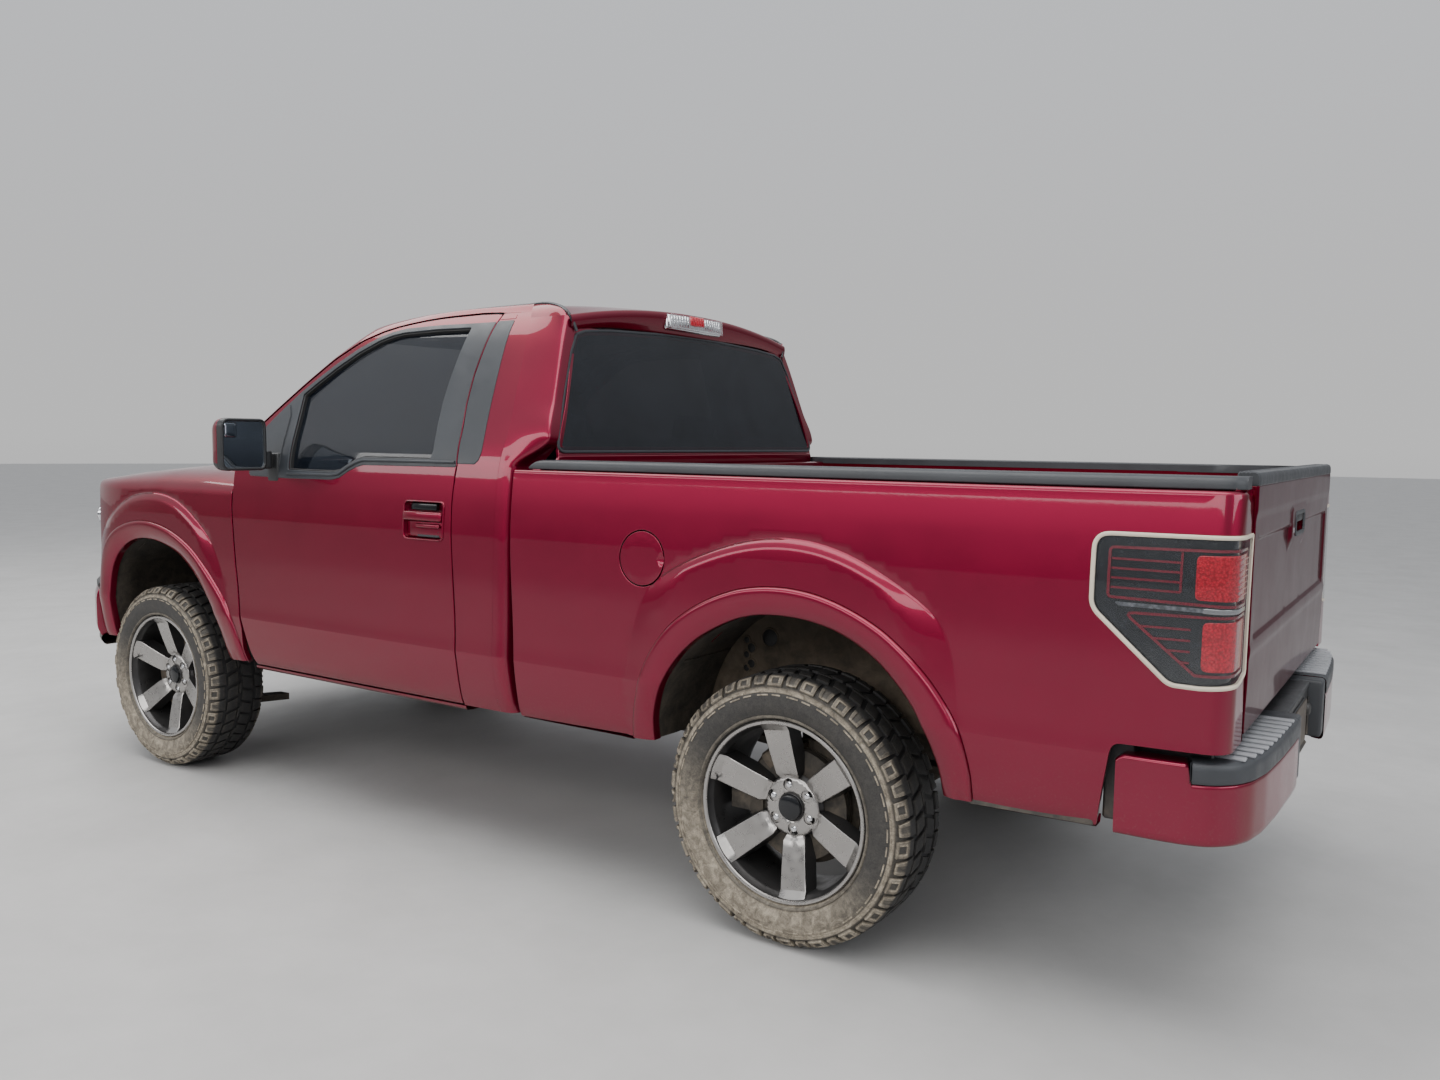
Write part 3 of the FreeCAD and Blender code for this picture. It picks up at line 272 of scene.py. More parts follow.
MATS["wheel_dark"] = surface_mat("wheel_side_finish", (0.060, 0.058, 0.058), 0.34, metal=0.7, grain=(300, 0.1), vary=0.25)


def cloth_mat(name, base):
    m, nt, b = new_mat(name)
    vec, tc = coords(nt)
    w1 = nd(nt, "ShaderNodeTexWave", wave_type="BANDS", bands_direction="Y")
    w2 = nd(nt, "ShaderNodeTexWave", wave_type="BANDS", bands_direction="X")
    for w in (w1, w2):
        w.inputs["Scale"].default_value = 160
        w.inputs["Distortion"].default_value = 1.2
        nt.links.new(vec, w.inputs["Vector"])
    weave = mth(nt, "MULTIPLY", w1.outputs["Fac"], w2.outputs["Fac"])
    col = ramp(nt, mth(nt, "ADD", mth(nt, "MULTIPLY", weave, 0.6), mth(nt, "MULTIPLY", noise(nt, vec, 30, 4), 0.4)),
               [(0.1, tuple(x * 0.55 for x in base)), (0.8, tuple(x * 1.3 for x in base))])
    nt.links.new(col, b.inputs["Base Color"])
    nt.links.new(mapr(nt, noise(nt, vec, 12, 4), 0.3, 0.7, 0.8, 0.95), b.inputs["Roughness"])
    b.inputs["Sheen Weight"].default_value = 0.4
    b.inputs["Sheen Roughness"].default_value = 0.5
    bump(nt, b, weave, 0.5, 0.0012)
    return m


MATS["cloth"] = cloth_mat("seat_cloth_finish", (0.075, 0.076, 0.082))


def tyre_mat(name):
    """Rubber whose dust lies where the 'dust' mask says: shoulders and sidewall; the mask also brightens the blocks'
    edges as a painted highlight and darkens the gaps between them as painted shade.
    """
    m, nt, b = new_mat(name)
    vec, tc = coords(nt)
    mask = attr(nt, "dust")
    streak = noise(nt, vec, 38, 6, 0.7, 0.6)
    fine = noise(nt, vec, 240, 3, 0.7)
    rub = ramp(nt, fine, [(0.3, (0.012, 0.012, 0.013)), (0.7, (0.028, 0.028, 0.029))])
    sep = nd(nt, "ShaderNodeSeparateXYZ")
    nt.links.new(tc.outputs["Object"], sep.inputs[0])
    # heavier towards the foot of the tyre
    low = mapr(nt, sep.outputs["Z"], -0.30, 0.34, 1.0, 0.88, True)
    d = mth(nt, "MULTIPLY", mask, mapr(nt, streak, 0.30, 0.64, 0.35, 1.0), clamp=True)
    d = mth(nt, "MULTIPLY", mth(nt, "MULTIPLY", d, low), mapr(nt, fine, 0.25, 0.6, 0.6, 1.0), clamp=True)
    dustc = ramp(nt, streak, [(0.3, (0.34, 0.28, 0.20)), (0.7, (0.56, 0.49, 0.38))])
    nt.links.new(mixc(nt, d, rub, dustc), b.inputs["Base Color"])
    nt.links.new(mth(nt, "ADD", 0.62, mth(nt, "MULTIPLY", d, 0.33), clamp=True), b.inputs["Roughness"])
    bump(nt, b, fine, 0.35, 0.0008)
    return m


MATS["tyre"] = tyre_mat("tyre_rubber_finish")


def lamp_mat(name, base, rough=0.12, emit=0.0, scale=180):
    m, nt, b = new_mat(name)
    vec, tc = coords(nt)
    v = nd(nt, "ShaderNodeTexVoronoi")
    v.inputs["Scale"].default_value = scale
    nt.links.new(vec, v.inputs["Vector"])
    col = mixc(nt, mapr(nt, v.outputs["Distance"], 0.0, 0.7, 0.0, 1.0), tuple(min(1, x * 1.5) for x in base), tuple(x * 0.55 for x in base))
    nt.links.new(col, b.inputs["Base Color"])
    b.inputs["Roughness"].default_value = rough
    b.inputs["Coat Weight"].default_value = 1.0
    if emit:
        b.inputs["Emission Color"].default_value = (*base, 1)
        b.inputs["Emission Strength"].default_value = emit
    bump(nt, b, v.outputs["Distance"], 0.35, 0.001)
    return m


MATS["lamp_red"] = lamp_mat("lamp_red_finish", (0.56, 0.006, 0.024), emit=0.07)
MATS["lamp_line"] = lamp_mat("lamp_line_finish", (0.22, 0.010, 0.026), emit=0.03, scale=400)
MATS["lamp_smoke"] = lamp_mat("lamp_smoke_finish", (0.020, 0.022, 0.027), rough=0.2, scale=60)
MATS["lamp_grey"] = lamp_mat("lamp_reflector_finish", (0.16, 0.17, 0.19), rough=0.15, scale=90)
MATS["amber"] = lamp_mat("lamp_amber_finish", (0.65, 0.20, 0.02), emit=0.05)


# ------------------------------------------------------------ mesh assembly
class M:
    """Vertices in millimetres, faces with a material key, optional normals and a mask value per vertex."""

    def __init__(self):
        self.v, self.f, self.k, self.n, self.a, self.s = [], [], [], [], [], []
        self.count = 0

    def add(self, verts, faces, mat, normals=None, mask=None, smooth=True):
        verts = np.asarray(verts, float).reshape(-1, 3)
        base = self.count
        self.v.append(verts)
        self.n.append(np.asarray(normals, float).reshape(-1, 3) if normals is not None else np.full((len(verts), 3), np.nan))
        self.a.append(np.full(len(verts), 0.0) if mask is None else np.broadcast_to(np.asarray(mask, float), (len(verts),)))
        self.count += len(verts)
        for f in faces:
            self.f.append(tuple(int(i) + base for i in f))
            self.k.append(mat)
            self.s.append(smooth)
        return base

    def join(self, other):
        base = self.count
        self.v += other.v
        self.n += other.n
        self.a += other.a
        self.count += other.count
        self.f += [tuple(i + base for i in f) for f in other.f]
        self.k += other.k
        self.s += other.s
        return self

    def mapped(self, fn, flip=False, nfn=None):
        o = M()
        if self.count:
            v = np.concatenate(self.v)
            n = np.concatenate(self.n)
            o.v, o.n, o.a = [fn(v)], [nfn(n) if nfn else n], [np.concatenate(self.a)]
        o.count = self.count
        o.f = [f[::-1] for f in self.f] if flip else list(self.f)
        o.k, o.s = list(self.k), list(self.s)
        return o

    def mirror(self):
        return self.mapped(lambda v: v * [1, -1, 1], True, lambda n: n * [1, -1, 1])

    def shift(self, d):
        return self.mapped(lambda v: v + np.array(d, float))


def piece(name, mesh, body, nodes=(), origin=(0, 0, 0), angle=40.0):
    v = np.concatenate(mesh.v)
    n = np.concatenate(mesh.n)
    a = np.concatenate(mesh.a)
    o3 = np.array(origin, float)
    me = bpy.data.meshes.new(name)
    me.from_pydata(((v - o3) * MM).tolist(), [], mesh.f)
    keys = sorted(set(mesh.k))
    for k in keys:
        me.materials.append(MATS[k])
    idx = {k: i for i, k in enumerate(keys)}
    me.polygons.foreach_set("material_index", [idx[k] for k in mesh.k])
    me.polygons.foreach_set("use_smooth", [bool(s) for s in mesh.s])
    # per-vertex mask stored as 'dust': real dust, and on the tyre also painted highlights on block edges and painted
    # shade in the gaps
    if a.any():
        at = me.attributes.new("dust", "FLOAT", "POINT")
        at.data.foreach_set("value", a.astype(np.float32))
    me.update()
    me.set_sharp_from_angle(angle=math.radians(angle))
    has = ~np.isnan(n[:, 0])
    if has.any():
        cn = np.zeros((len(me.loops), 3), np.float32)
        me.corner_normals.foreach_get("vector", cn.ravel())
        buf = np.zeros(len(me.loops) * 3, np.float32)
        me.corner_normals.foreach_get("vector", buf)
        cn = buf.reshape(-1, 3)
        li = np.zeros(len(me.loops), np.int32)
        me.loops.foreach_get("vertex_index", li)
        use = has[li]
        cn[use] = n[li[use]]
        ln = np.linalg.norm(cn, axis=1)
        ln[ln == 0] = 1
        me.normals_split_custom_set((cn / ln[:, None]).tolist())
    ob = bpy.data.objects.new(name, me)
    scene.collection.objects.link(ob)
    ob.location = o3 * MM
    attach(ob, body)
    if nodes:
        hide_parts(*nodes)
    return ob


def pair(name, mesh, bodies, nodes=((), ()), angle=40.0):
    """The same piece on the left and, mirrored, on the right."""
    l = piece(name + "_left", mesh, bodies[0], nodes[0], angle=angle)
    r = piece(name + "_right", mesh.mirror(), bodies[1], nodes[1], angle=angle)
    return l, r


# ---------------------------------------------------------------- 2-D tools
def spline(pts):
    """Smooth evaluator through (x, y) pairs (monotone-ish cubic), flat extrapolation of slope."""
    p = np.array(sorted(pts), float)
    x, y = p[:, 0], p[:, 1]
    hh = np.diff(x)
    d = np.diff(y) / hh
    m = np.zeros(len(x))
    m[0], m[-1] = d[0], d[-1]
    for i in range(1, len(x) - 1):
        if d[i - 1] * d[i] <= 0:
            m[i] = 0
        else:
            w1, w2 = 2 * hh[i] + hh[i - 1], hh[i] + 2 * hh[i - 1]
            m[i] = (w1 + w2) / (w1 / d[i - 1] + w2 / d[i])

    def f(q):
        q = np.asarray(q, float)
        i = np.clip(np.searchsorted(x, q) - 1, 0, len(hh) - 1)
        t = (q - x[i]) / hh[i]
        tc = np.clip(t, 0, 1)
        h00 = (1 + 2 * tc) * (1 - tc) ** 2
        h10 = tc * (1 - tc) ** 2
        h01 = tc ** 2 * (3 - 2 * tc)
        h11 = tc ** 2 * (tc - 1)
        r = h00 * y[i] + h10 * hh[i] * m[i] + h01 * y[i + 1] + h11 * hh[i] * m[i + 1]
        r = np.where(t < 0, y[0] + m[0] * (q - x[0]), r)
        return np.where(t > 1, y[-1] + m[-1] * (q - x[-1]), r)
    return f


def dense(pts, step, closed=False):
    p = np.array(pts, float)
    if closed:
        p = np.vstack([p, p[:1]])
    out = []
    for a, b in zip(p[:-1], p[1:]):
        n = max(1, int(math.ceil(np.linalg.norm(b - a) / step)))
        out += [a + (b - a) * k / n for k in range(n)]
    if not closed:
        out.append(p[-1])
    return np.array(out)


def resample(pts, n):
    p = np.array(pts, float)
    L = np.concatenate([[0], np.cumsum(np.linalg.norm(np.diff(p, axis=0), axis=1))])
    q = np.linspace(0, L[-1], n)
    return np.stack([np.interp(q, L, p[:, c]) for c in range(p.shape[1])], 1)


def smoothed(pts, step=15.0, sigma=45.0):
    """Open curve resampled and smoothed, its ends kept."""
    p = resample(pts, max(8, int(np.linalg.norm(np.diff(np.array(pts, float), axis=0), axis=1).sum() / step)))
    ext = 2 * p[0] - p[1:40][::-1], 2 * p[-1] - p[-40:-1][::-1]
    q = np.vstack([ext[0], p, ext[1]])
    k = np.arange(-30, 31)
    w = np.exp(-0.5 * (k * step / sigma) ** 2)
    w /= w.sum()
    r = np.stack([np.convolve(q[:, c], w, mode="same") for c in range(q.shape[1])], 1)
    r = r[len(ext[0]):len(ext[0]) + len(p)]
    r[0], r[-1] = p[0], p[-1]
    return r


def rounded(pts, r, seg=5):
    """Closed polygon with its corners rounded; r is one radius or one per corner."""
    p = np.array(pts, float)
    n = len(p)
    rs = [r] * n if np.isscalar(r) else r
    out = []
    for k in range(n):
        a, b, c = p[k - 1], p[k], p[(k + 1) % n]
        u, v = a - b, c - b
        lu, lv = np.linalg.norm(u), np.linalg.norm(v)
        u, v = u / lu, v / lv
        cosang = np.clip(u @ v, -1, 1)
        ang = math.acos(cosang)
        if rs[k] <= 0 or ang > math.radians(174):
            out.append(b)
            continue
        t = min(rs[k] / math.tan(ang / 2), 0.45 * lu, 0.45 * lv)
        for j in range(seg + 1):
            s = j / seg
            out.append((1 - s) ** 2 * (b + u * t) + 2 * s * (1 - s) * b + s ** 2 * (b + v * t))
    return np.array(out)


def area2(p):
    return float(np.sum(p[:, 0] * np.roll(p[:, 1], -1) - np.roll(p[:, 0], -1) * p[:, 1]))


def vnorm2(p):
    """Outward (right-hand) vertex normals of a closed loop with their mitre factor."""
    a = p - np.roll(p, 1, 0)
    b = np.roll(p, -1, 0) - p
    na = np.stack([a[:, 1], -a[:, 0]], 1)
    nb = np.stack([b[:, 1], -b[:, 0]], 1)
    na /= np.maximum(np.linalg.norm(na, axis=1, keepdims=True), 1e-9)
    nb /= np.maximum(np.linalg.norm(nb, axis=1, keepdims=True), 1e-9)
    s = na + nb
    m = np.maximum((s * s).sum(1, keepdims=True) / 2, 0.35)
    return s / m


def inset(p, d):
    q = p if area2(p) > 0 else p[::-1]
    return q - vnorm2(q) * d


def inside(poly, q):
    x, y = q[:, 0], q[:, 1]
    r = np.zeros(len(q), bool)
    n = len(poly)
    for k in range(n):
        x1, y1 = poly[k - 1]
        x2, y2 = poly[k]
        if y1 == y2:
            continue
        c = ((y1 > y) != (y2 > y)) & (x < (x2 - x1) * (y - y1) / (y2 - y1) + x1)
        r ^= c
    return r


def seg_dist(q, line, closed=False):
    """Distance of points q to a polyline, and the signed side (positive on the right of travel)."""
    a = line if closed else line[:-1]
    b = np.roll(line, -1, 0) if closed else line[1:]
    best = np.full(len(q), 1e18)
    side = np.zeros(len(q))
    par = np.zeros(len(q))
    L = np.linalg.norm(b - a, axis=1)
    C = np.concatenate([[0], np.cumsum(L)])
    for k in range(len(a)):
        e = b[k] - a[k]
        l2 = max(e @ e, 1e-9)
        t = np.clip(((q - a[k]) @ e) / l2, 0, 1)
        d = q - (a[k] + t[:, None] * e)
        dd = (d * d).sum(1)
        m = dd < best
        best = np.where(m, dd, best)
        side = np.where(m, d[:, 0] * e[1] - d[:, 1] * e[0], side)
        par = np.where(m, C[k] + t * L[k], par)
    return np.sqrt(best), np.sign(side), par / max(C[-1], 1e-9)


def triangulate(outer, holes, step, extra=()):
    """Points and triangles filling a polygon with holes; extra points are kept as given where they fit."""
    loops = [outer] + list(holes)
    lo, hi = outer.min(0), outer.max(0)
    rows = []
    j = 0
    y = lo[1] + step * 0.5
    while y < hi[1]:
        xs = np.arange(lo[0] + (step * 0.5 if j % 2 else 0), hi[0], step)
        rows.append(np.stack([xs, np.full(len(xs), y)], 1))
        y += step * 0.866
        j += 1
    g = np.concatenate(rows)
    cand = []
    ex = np.zeros((0, 2))
    if len(extra):
        ex = np.concatenate([np.asarray(e, float) for e in extra])
        ok = inside(outer, ex)
        for h in holes:
            ok &= ~inside(h, ex)
        ex = ex[ok]
        for l in loops:
            d, _, _ = seg_dist(ex, l, True)
            ex = ex[d > 3.0]
        # thin out near-duplicates
        key = np.round(ex / 2.5).astype(int)
        _, keep = np.unique(key, axis=0, return_index=True)
        ex = ex[np.sort(keep)]
    ok = inside(outer, g)
    for h in holes:
        ok &= ~inside(h, g)
    g = g[ok]
    for l in loops:
        d, _, _ = seg_dist(g, l, True)
        g = g[d > step * 0.55]
    if len(ex):
        cell = step * 0.5
        grid = {}
        for p in ex:
            grid.setdefault((int(p[0] // cell), int(p[1] // cell)), []).append(p)
        keep = []
        for p in g:
            cx, cy = int(p[0] // cell), int(p[1] // cell)
            near = False
            for dx in (-1, 0, 1):
                for dy in (-1, 0, 1):
                    for q in grid.get((cx + dx, cy + dy), ()):
                        if (p[0] - q[0]) ** 2 + (p[1] - q[1]) ** 2 < (0.45 * step) ** 2:
                            near = True
                            break
                    if near:
                        break
                if near:
                    break
            keep.append(not near)
        g = g[np.array(keep, bool)]
    pts, edges = [], []
    base = 0
    for l in loops:
        pts.append(l)
        n = len(l)
        edges += [(base + k, base + (k + 1) % n) for k in range(n)]
        base += n
    pts += [ex, g]
    P = np.concatenate([p for p in pts if len(p)])
    vo, eo, fo, ov, oe, of_ = delaunay_2d_cdt([Vector(p) for p in P], edges, [], 0, 1e-4)
    V = np.array([[v.x, v.y] for v in vo])
    F = np.array([f for f in fo if len(f) == 3])
    c = V[F].mean(1)
    ok = inside(outer, c)
    for h in holes:
        ok &= ~inside(h, c)
    # map original loop points to output
    back = {}
    for i, src in enumerate(ov):
        for s in src:
            back[s] = i
    return V, F[ok], [np.array([back[i] for i in range(st, st + len(l))]) for st, l in zip(np.cumsum([0] + [len(l) for l in loops[:-1]]), loops)]


def frames(lift, uv, sgn, e=0.8):
    """Position, normal and the two tangent directions of a lifted surface."""
    P = lift(uv[:, 0], uv[:, 1])
    du = (lift(uv[:, 0] + e, uv[:, 1]) - lift(uv[:, 0] - e, uv[:, 1])) / (2 * e)
    dw = (lift(uv[:, 0], uv[:, 1] + e) - lift(uv[:, 0], uv[:, 1] - e)) / (2 * e)
    n = np.cross(du, dw) * sgn
    n /= np.maximum(np.linalg.norm(n, axis=1, keepdims=True), 1e-12)
    return P, n, du, dw


def patch(mesh, outer, holes, lift, sgn, mat, step=22.0, extra=(), gap=2.0, roll=3.0, hem=16.0, back=None, hem_mat=None, inw=None, hole_gap=None):
    """Panel on a lifted surface: outline inset for the gap, rolled edge and a hem that turns inward; back closes it at that depth."""
    outer = np.asarray(outer, float)
    if area2(outer) < 0:
        outer = outer[::-1]
    o = dense(inset(outer, gap + roll), min(step, 14), True)
    hs = []
    for h in holes:
        h = np.asarray(h, float)
        if area2(h) < 0:
            h = h[::-1]
        h = h + vnorm2(h) * ((gap if hole_gap is None else hole_gap) + roll)
        hs.append(dense(h, min(step, 14), True)[::-1])
    V, F, loops = triangulate(o, hs, step, extra)
    P, N, du, dw = frames(lift, V, sgn)
    tri = P[F]
    fn = np.cross(tri[:, 1] - tri[:, 0], tri[:, 2] - tri[:, 0])
    if (fn * N[F[:, 0]]).sum(1).mean() < 0:
        F = F[:, ::-1]
    mesh.add(P, F, mat, N)
    if back is not None:
        depth = back[0](V) if callable(back[0]) else np.full(len(V), float(back[0]))
    for l in loops:
        p2 = V[l]
        o2 = vnorm2(p2)
        o2 /= np.maximum(np.linalg.norm(o2, axis=1, keepdims=True), 1e-9)
        t3 = du[l] * o2[:, :1] + dw[l] * o2[:, 1:]
        t3 /= np.maximum(np.linalg.norm(t3, axis=1, keepdims=True), 1e-9)
        nl = N[l]
        inn = -nl if inw is None else np.broadcast_to(np.array(inw, float), nl.shape)
        rings, norms = [P[l]], [nl]
        for a in (30, 60, 90):
            a = math.radians(a)
            rings.append(P[l] + t3 * roll * math.sin(a) - nl * roll * (1 - math.cos(a)))
            norms.append(nl * math.cos(a) + t3 * math.sin(a))
        rings.append(rings[-1] + inn * hem)
        norms.append(t3)
        n = len(l)

        def skin(rings, norms, m, ref):
            vs = np.concatenate(rings)
            faces = [(j * n + i, j * n + (i + 1) % n, (j + 1) * n + (i + 1) % n, (j + 1) * n + i) for j in range(len(rings) - 1) for i in range(n)]
            q = vs[np.array(faces[:n])]
            fnn = np.cross(q[:, 1] - q[:, 0], q[:, 3] - q[:, 0])
            if (fnn * ref).sum() < 0:
                faces = [f[::-1] for f in faces]
            mesh.add(vs, faces, m, None if norms is None else np.concatenate(norms))
        skin(rings, norms, hem_mat or mat, nl * 0.4 + t3)
        if back is not None:
            B = P[l] + t3 * roll + inn * depth[l][:, None]
            skin([rings[-1], B], None, back[1], t3)
    if back is not None:
        inn = -N if inw is None else np.broadcast_to(np.array(inw, float), N.shape)
        Pb = P + inn * depth[:, None]
        k = len(o)
        # widen the loop points so that the back meets the hem
        for l in loops:
            p2 = V[l]
            o2 = vnorm2(p2)
            o2 /= np.maximum(np.linalg.norm(o2, axis=1, keepdims=True), 1e-9)
            t3 = du[l] * o2[:, :1] + dw[l] * o2[:, 1:]
            t3 /= np.maximum(np.linalg.norm(t3, axis=1, keepdims=True), 1e-9)
            Pb[l] = P[l] + t3 * roll + inn[l] * depth[l][:, None]
        mesh.add(Pb, F[:, ::-1], back[1])
    return V, P, N


def grid_faces(nu, nv, close_u=False, close_v=False):
    f = []
    for i in range(nu if close_u else nu - 1):
        for j in range(nv if close_v else nv - 1):
            i2, j2 = (i + 1) % nu, (j + 1) % nv
            f.append((i * nv + j, i2 * nv + j, i2 * nv + j2, i * nv + j2))
    return f


def sheet(mesh, G, mat, flip=False, close_u=False, close_v=False, mask=None, smooth=True, normals=True):
    """Structured grid of points (nu, nv, 3), with averaged normals of its own."""
    G = np.asarray(G, float)
    nu, nv = G.shape[:2]
    f = grid_faces(nu, nv, close_u, close_v)
    if flip:
        f = [q[::-1] for q in f]
    N = None
    if normals:
        if close_u:
            du = np.roll(G, -1, 0) - np.roll(G, 1, 0)
        else:
            du = np.gradient(G, axis=0)
        if close_v:
            dv = np.roll(G, -1, 1) - np.roll(G, 1, 1)
        else:
            dv = np.gradient(G, axis=1)
        N = np.cross(du, dv) * (-1 if flip else 1)
        ln = np.linalg.norm(N, axis=2, keepdims=True)
        N = np.where(ln > 1e-9, N / np.maximum(ln, 1e-12), np.nan)
        N = N.reshape(-1, 3)
    mesh.add(G.reshape(-1, 3), f, mat, N, None if mask is None else np.asarray(mask).reshape(-1), smooth)


def loft(mesh, rings, mat, closed=True, caps=True, flip=False, mask=None, smooth=True, cap_mat=None):
    """Skin over a list of equal-length rings; shading from the mesh itself."""
    R = np.array(rings, float)
    k, n = R.shape[:2]
    f = []
    for j in range(k - 1):
        for i in range(n if closed else n - 1):
            i2 = (i + 1) % n
            f.append((j * n + i, j * n + i2, (j + 1) * n + i2, (j + 1) * n + i))
    if flip:
        f = [q[::-1] for q in f]
    b = mesh.add(R.reshape(-1, 3), f, mat, None, mask, smooth)
    if caps and closed:
        c0 = tuple(range(n))[::-1]
        c1 = tuple(range((k - 1) * n, k * n))
        cf = [c0, c1]
        if flip:
            cf = [c[::-1] for c in cf]
        for c in cf:
            mesh.f.append(tuple(b + i for i in c))
            mesh.k.append(cap_mat or mat)
            mesh.s.append(False)
    return b


def from_bm(mesh, bm, mat, mask=None, smooth=True, fn=None):
    bm.verts.ensure_lookup_table()
    v = np.array([x.co[:] for x in bm.verts], float)
    for i, x in enumerate(bm.verts):
        x.index = i
    f = [tuple(q.index for q in x.verts) for x in bm.faces]
    if fn is not None:
        v = fn(v)
    mesh.add(v, f, mat, None, mask, smooth)
    bm.free()


def rbox(mesh, lo, hi, mat, r=4.0, seg=2, mask=None, fn=None):
    """Box with bevelled edges."""
    bm = bmesh.new()
    bmesh.ops.create_cube(bm, size=1.0)
    lo, hi = np.array(lo, float), np.array(hi, float)
    lo, hi = np.minimum(lo, hi), np.maximum(lo, hi)
    for v in bm.verts:
        v.co = Vector(lo + (np.array(v.co) + 0.5) * (hi - lo))
    r = min(r, 0.45 * float((hi - lo).min()))
    if r > 0:
        bmesh.ops.bevel(bm, geom=list(bm.edges), offset=r, segments=seg, profile=0.5, affect="EDGES")
    from_bm(mesh, bm, mat, mask, True, fn)


def prism(mesh, poly, axis, a, b, mat, r=3.0, seg=2, mask=None, fn=None):
    """Extruded polygon with bevelled edges. axis is the extrusion axis; poly holds the two other coordinates in order."""
    poly = [tuple(p) for p in poly]
    bm = bmesh.new()

    def put(p, q):
        if axis == "y":
            return Vector((p[0], q, p[1]))
        if axis == "z":
            return Vector((p[0], p[1], q))
        return Vector((q, p[0], p[1]))
    v0 = [bm.verts.new(put(p, a)) for p in poly]
    v1 = [bm.verts.new(put(p, b)) for p in poly]
    n = len(poly)
    bm.faces.new(v0)
    bm.faces.new(v1[::-1])
    for i in range(n):
        bm.faces.new((v0[i], v1[i], v1[(i + 1) % n], v0[(i + 1) % n]))
    bmesh.ops.recalc_face_normals(bm, faces=bm.faces[:])
    if r > 0:
        bmesh.ops.bevel(bm, geom=[e for e in bm.edges if e.calc_face_angle(0) > 0.35], offset=r, segments=seg, profile=0.5, affect="EDGES", clamp_overlap=True)
    from_bm(mesh, bm, mat, mask, True, fn)


def lathe(mesh, prof, mat, n=64, axis="y", c=(0, 0, 0), mask=None, flip=False, arc=None, smooth=True):
    """Profile of (radius, along-axis) turned about an axis through c."""
    p = np.array(prof, float)
    a = np.linspace(0, 2 * math.pi, n, endpoint=False) if arc is None else np.linspace(arc[0], arc[1], n)
    G = np.zeros((n, len(p), 3))
    ca, sa = np.cos(a)[:, None], np.sin(a)[:, None]
    if axis == "y":
        G[..., 0], G[..., 2], G[..., 1] = p[:, 0] * ca, p[:, 0] * sa, p[:, 1]
    elif axis == "z":
        G[..., 0], G[..., 1], G[..., 2] = p[:, 0] * ca, p[:, 0] * sa, p[:, 1]
    else:
        G[..., 1], G[..., 2], G[..., 0] = p[:, 0] * ca, p[:, 0] * sa, p[:, 1]
    G += np.array(c, float)
    f = grid_faces(n, len(p), close_u=arc is None)
    if flip:
        f = [q[::-1] for q in f]
    mk = None if mask is None else np.broadcast_to(np.asarray(mask, float), (n, len(p))).reshape(-1)
    mesh.add(G.reshape(-1, 3), f, mat, None, mk, smooth)


def tube(mesh, path, r, mat, n=10, caps=True, mask=None):
    p = np.array(path, float)
    rings = []
    t = np.gradient(p, axis=0)
    t /= np.linalg.norm(t, axis=1, keepdims=True)
    ref = np.array([0, 0, 1.0]) if abs(t[0][2]) < 0.9 else np.array([1.0, 0, 0])
    for k in range(len(p)):
        a = np.cross(t[k], ref)
        a /= np.linalg.norm(a)
        b = np.cross(t[k], a)
        ref = np.cross(a, t[k])
        rr = r[k] if hasattr(r, "__len__") else r
        ang = np.linspace(0, 2 * math.pi, n, endpoint=False)
        rings.append(p[k] + rr * (np.cos(ang)[:, None] * a + np.sin(ang)[:, None] * b))
    loft(mesh, rings, mat, True, caps, flip=False, mask=mask)


def bar_sweep(mesh, path, nrm, section, mat, closed=False, flip=False, caps=True, smooth=True):
    """Section of (across, out) swept along a path; nrm is the outward direction at each point, across is tangent x out."""
    p, nn = np.array(path, float), np.array(nrm, float)
    if closed:
        t = np.roll(p, -1, 0) - np.roll(p, 1, 0)
    else:
        t = np.gradient(p, axis=0)
    t /= np.maximum(np.linalg.norm(t, axis=1, keepdims=True), 1e-9)
    nn = nn - (nn * t).sum(1, keepdims=True) * t
    nn /= np.maximum(np.linalg.norm(nn, axis=1, keepdims=True), 1e-9)
    ac = np.cross(t, nn)
    sec = np.array(section, float)
    rings = [p[k] + sec[:, :1] * ac[k] + sec[:, 1:] * nn[k] for k in range(len(p))]
    if closed:
        rings.append(rings[0])
    loft(mesh, rings, mat, True, caps and not closed, flip=flip, smooth=smooth)


# ---------------------------------------------------------------- the truck's surfaces (millimetres)
_lo = spline([(480, 930), (530, 948), (560, 963), (640, 983), (700, 993.5), (738, 999)])
_hi = spline([(738, 999), (790, 995.5), (900, 991.5), (1000, 989.5), (1150, 985), (1250, 977), (1320, 968), (1385, 957), (1450, 938), (1500, 918),
              (1600, 878), (1700, 836), (1800, 790), (1850, 763), (1900, 728), (1930, 700), (1980, 650)])


def sm(a, b, x):
    t = np.clip((np.asarray(x, float) - a) / (b - a), 0, 1)
    return t * t * (3 - 2 * t)


def plain_y(x, z):
    x, z = np.asarray(x, float), np.asarray(z, float)
    y = np.where(z < 738, _lo(z), _hi(z))
    y = y - np.where(x > 2000, 0.00062 * (x - 2000) ** 2, 0)
    return y - np.where(x < -1900, 40 * ((-1900 - x) / 735) ** 2, 0)


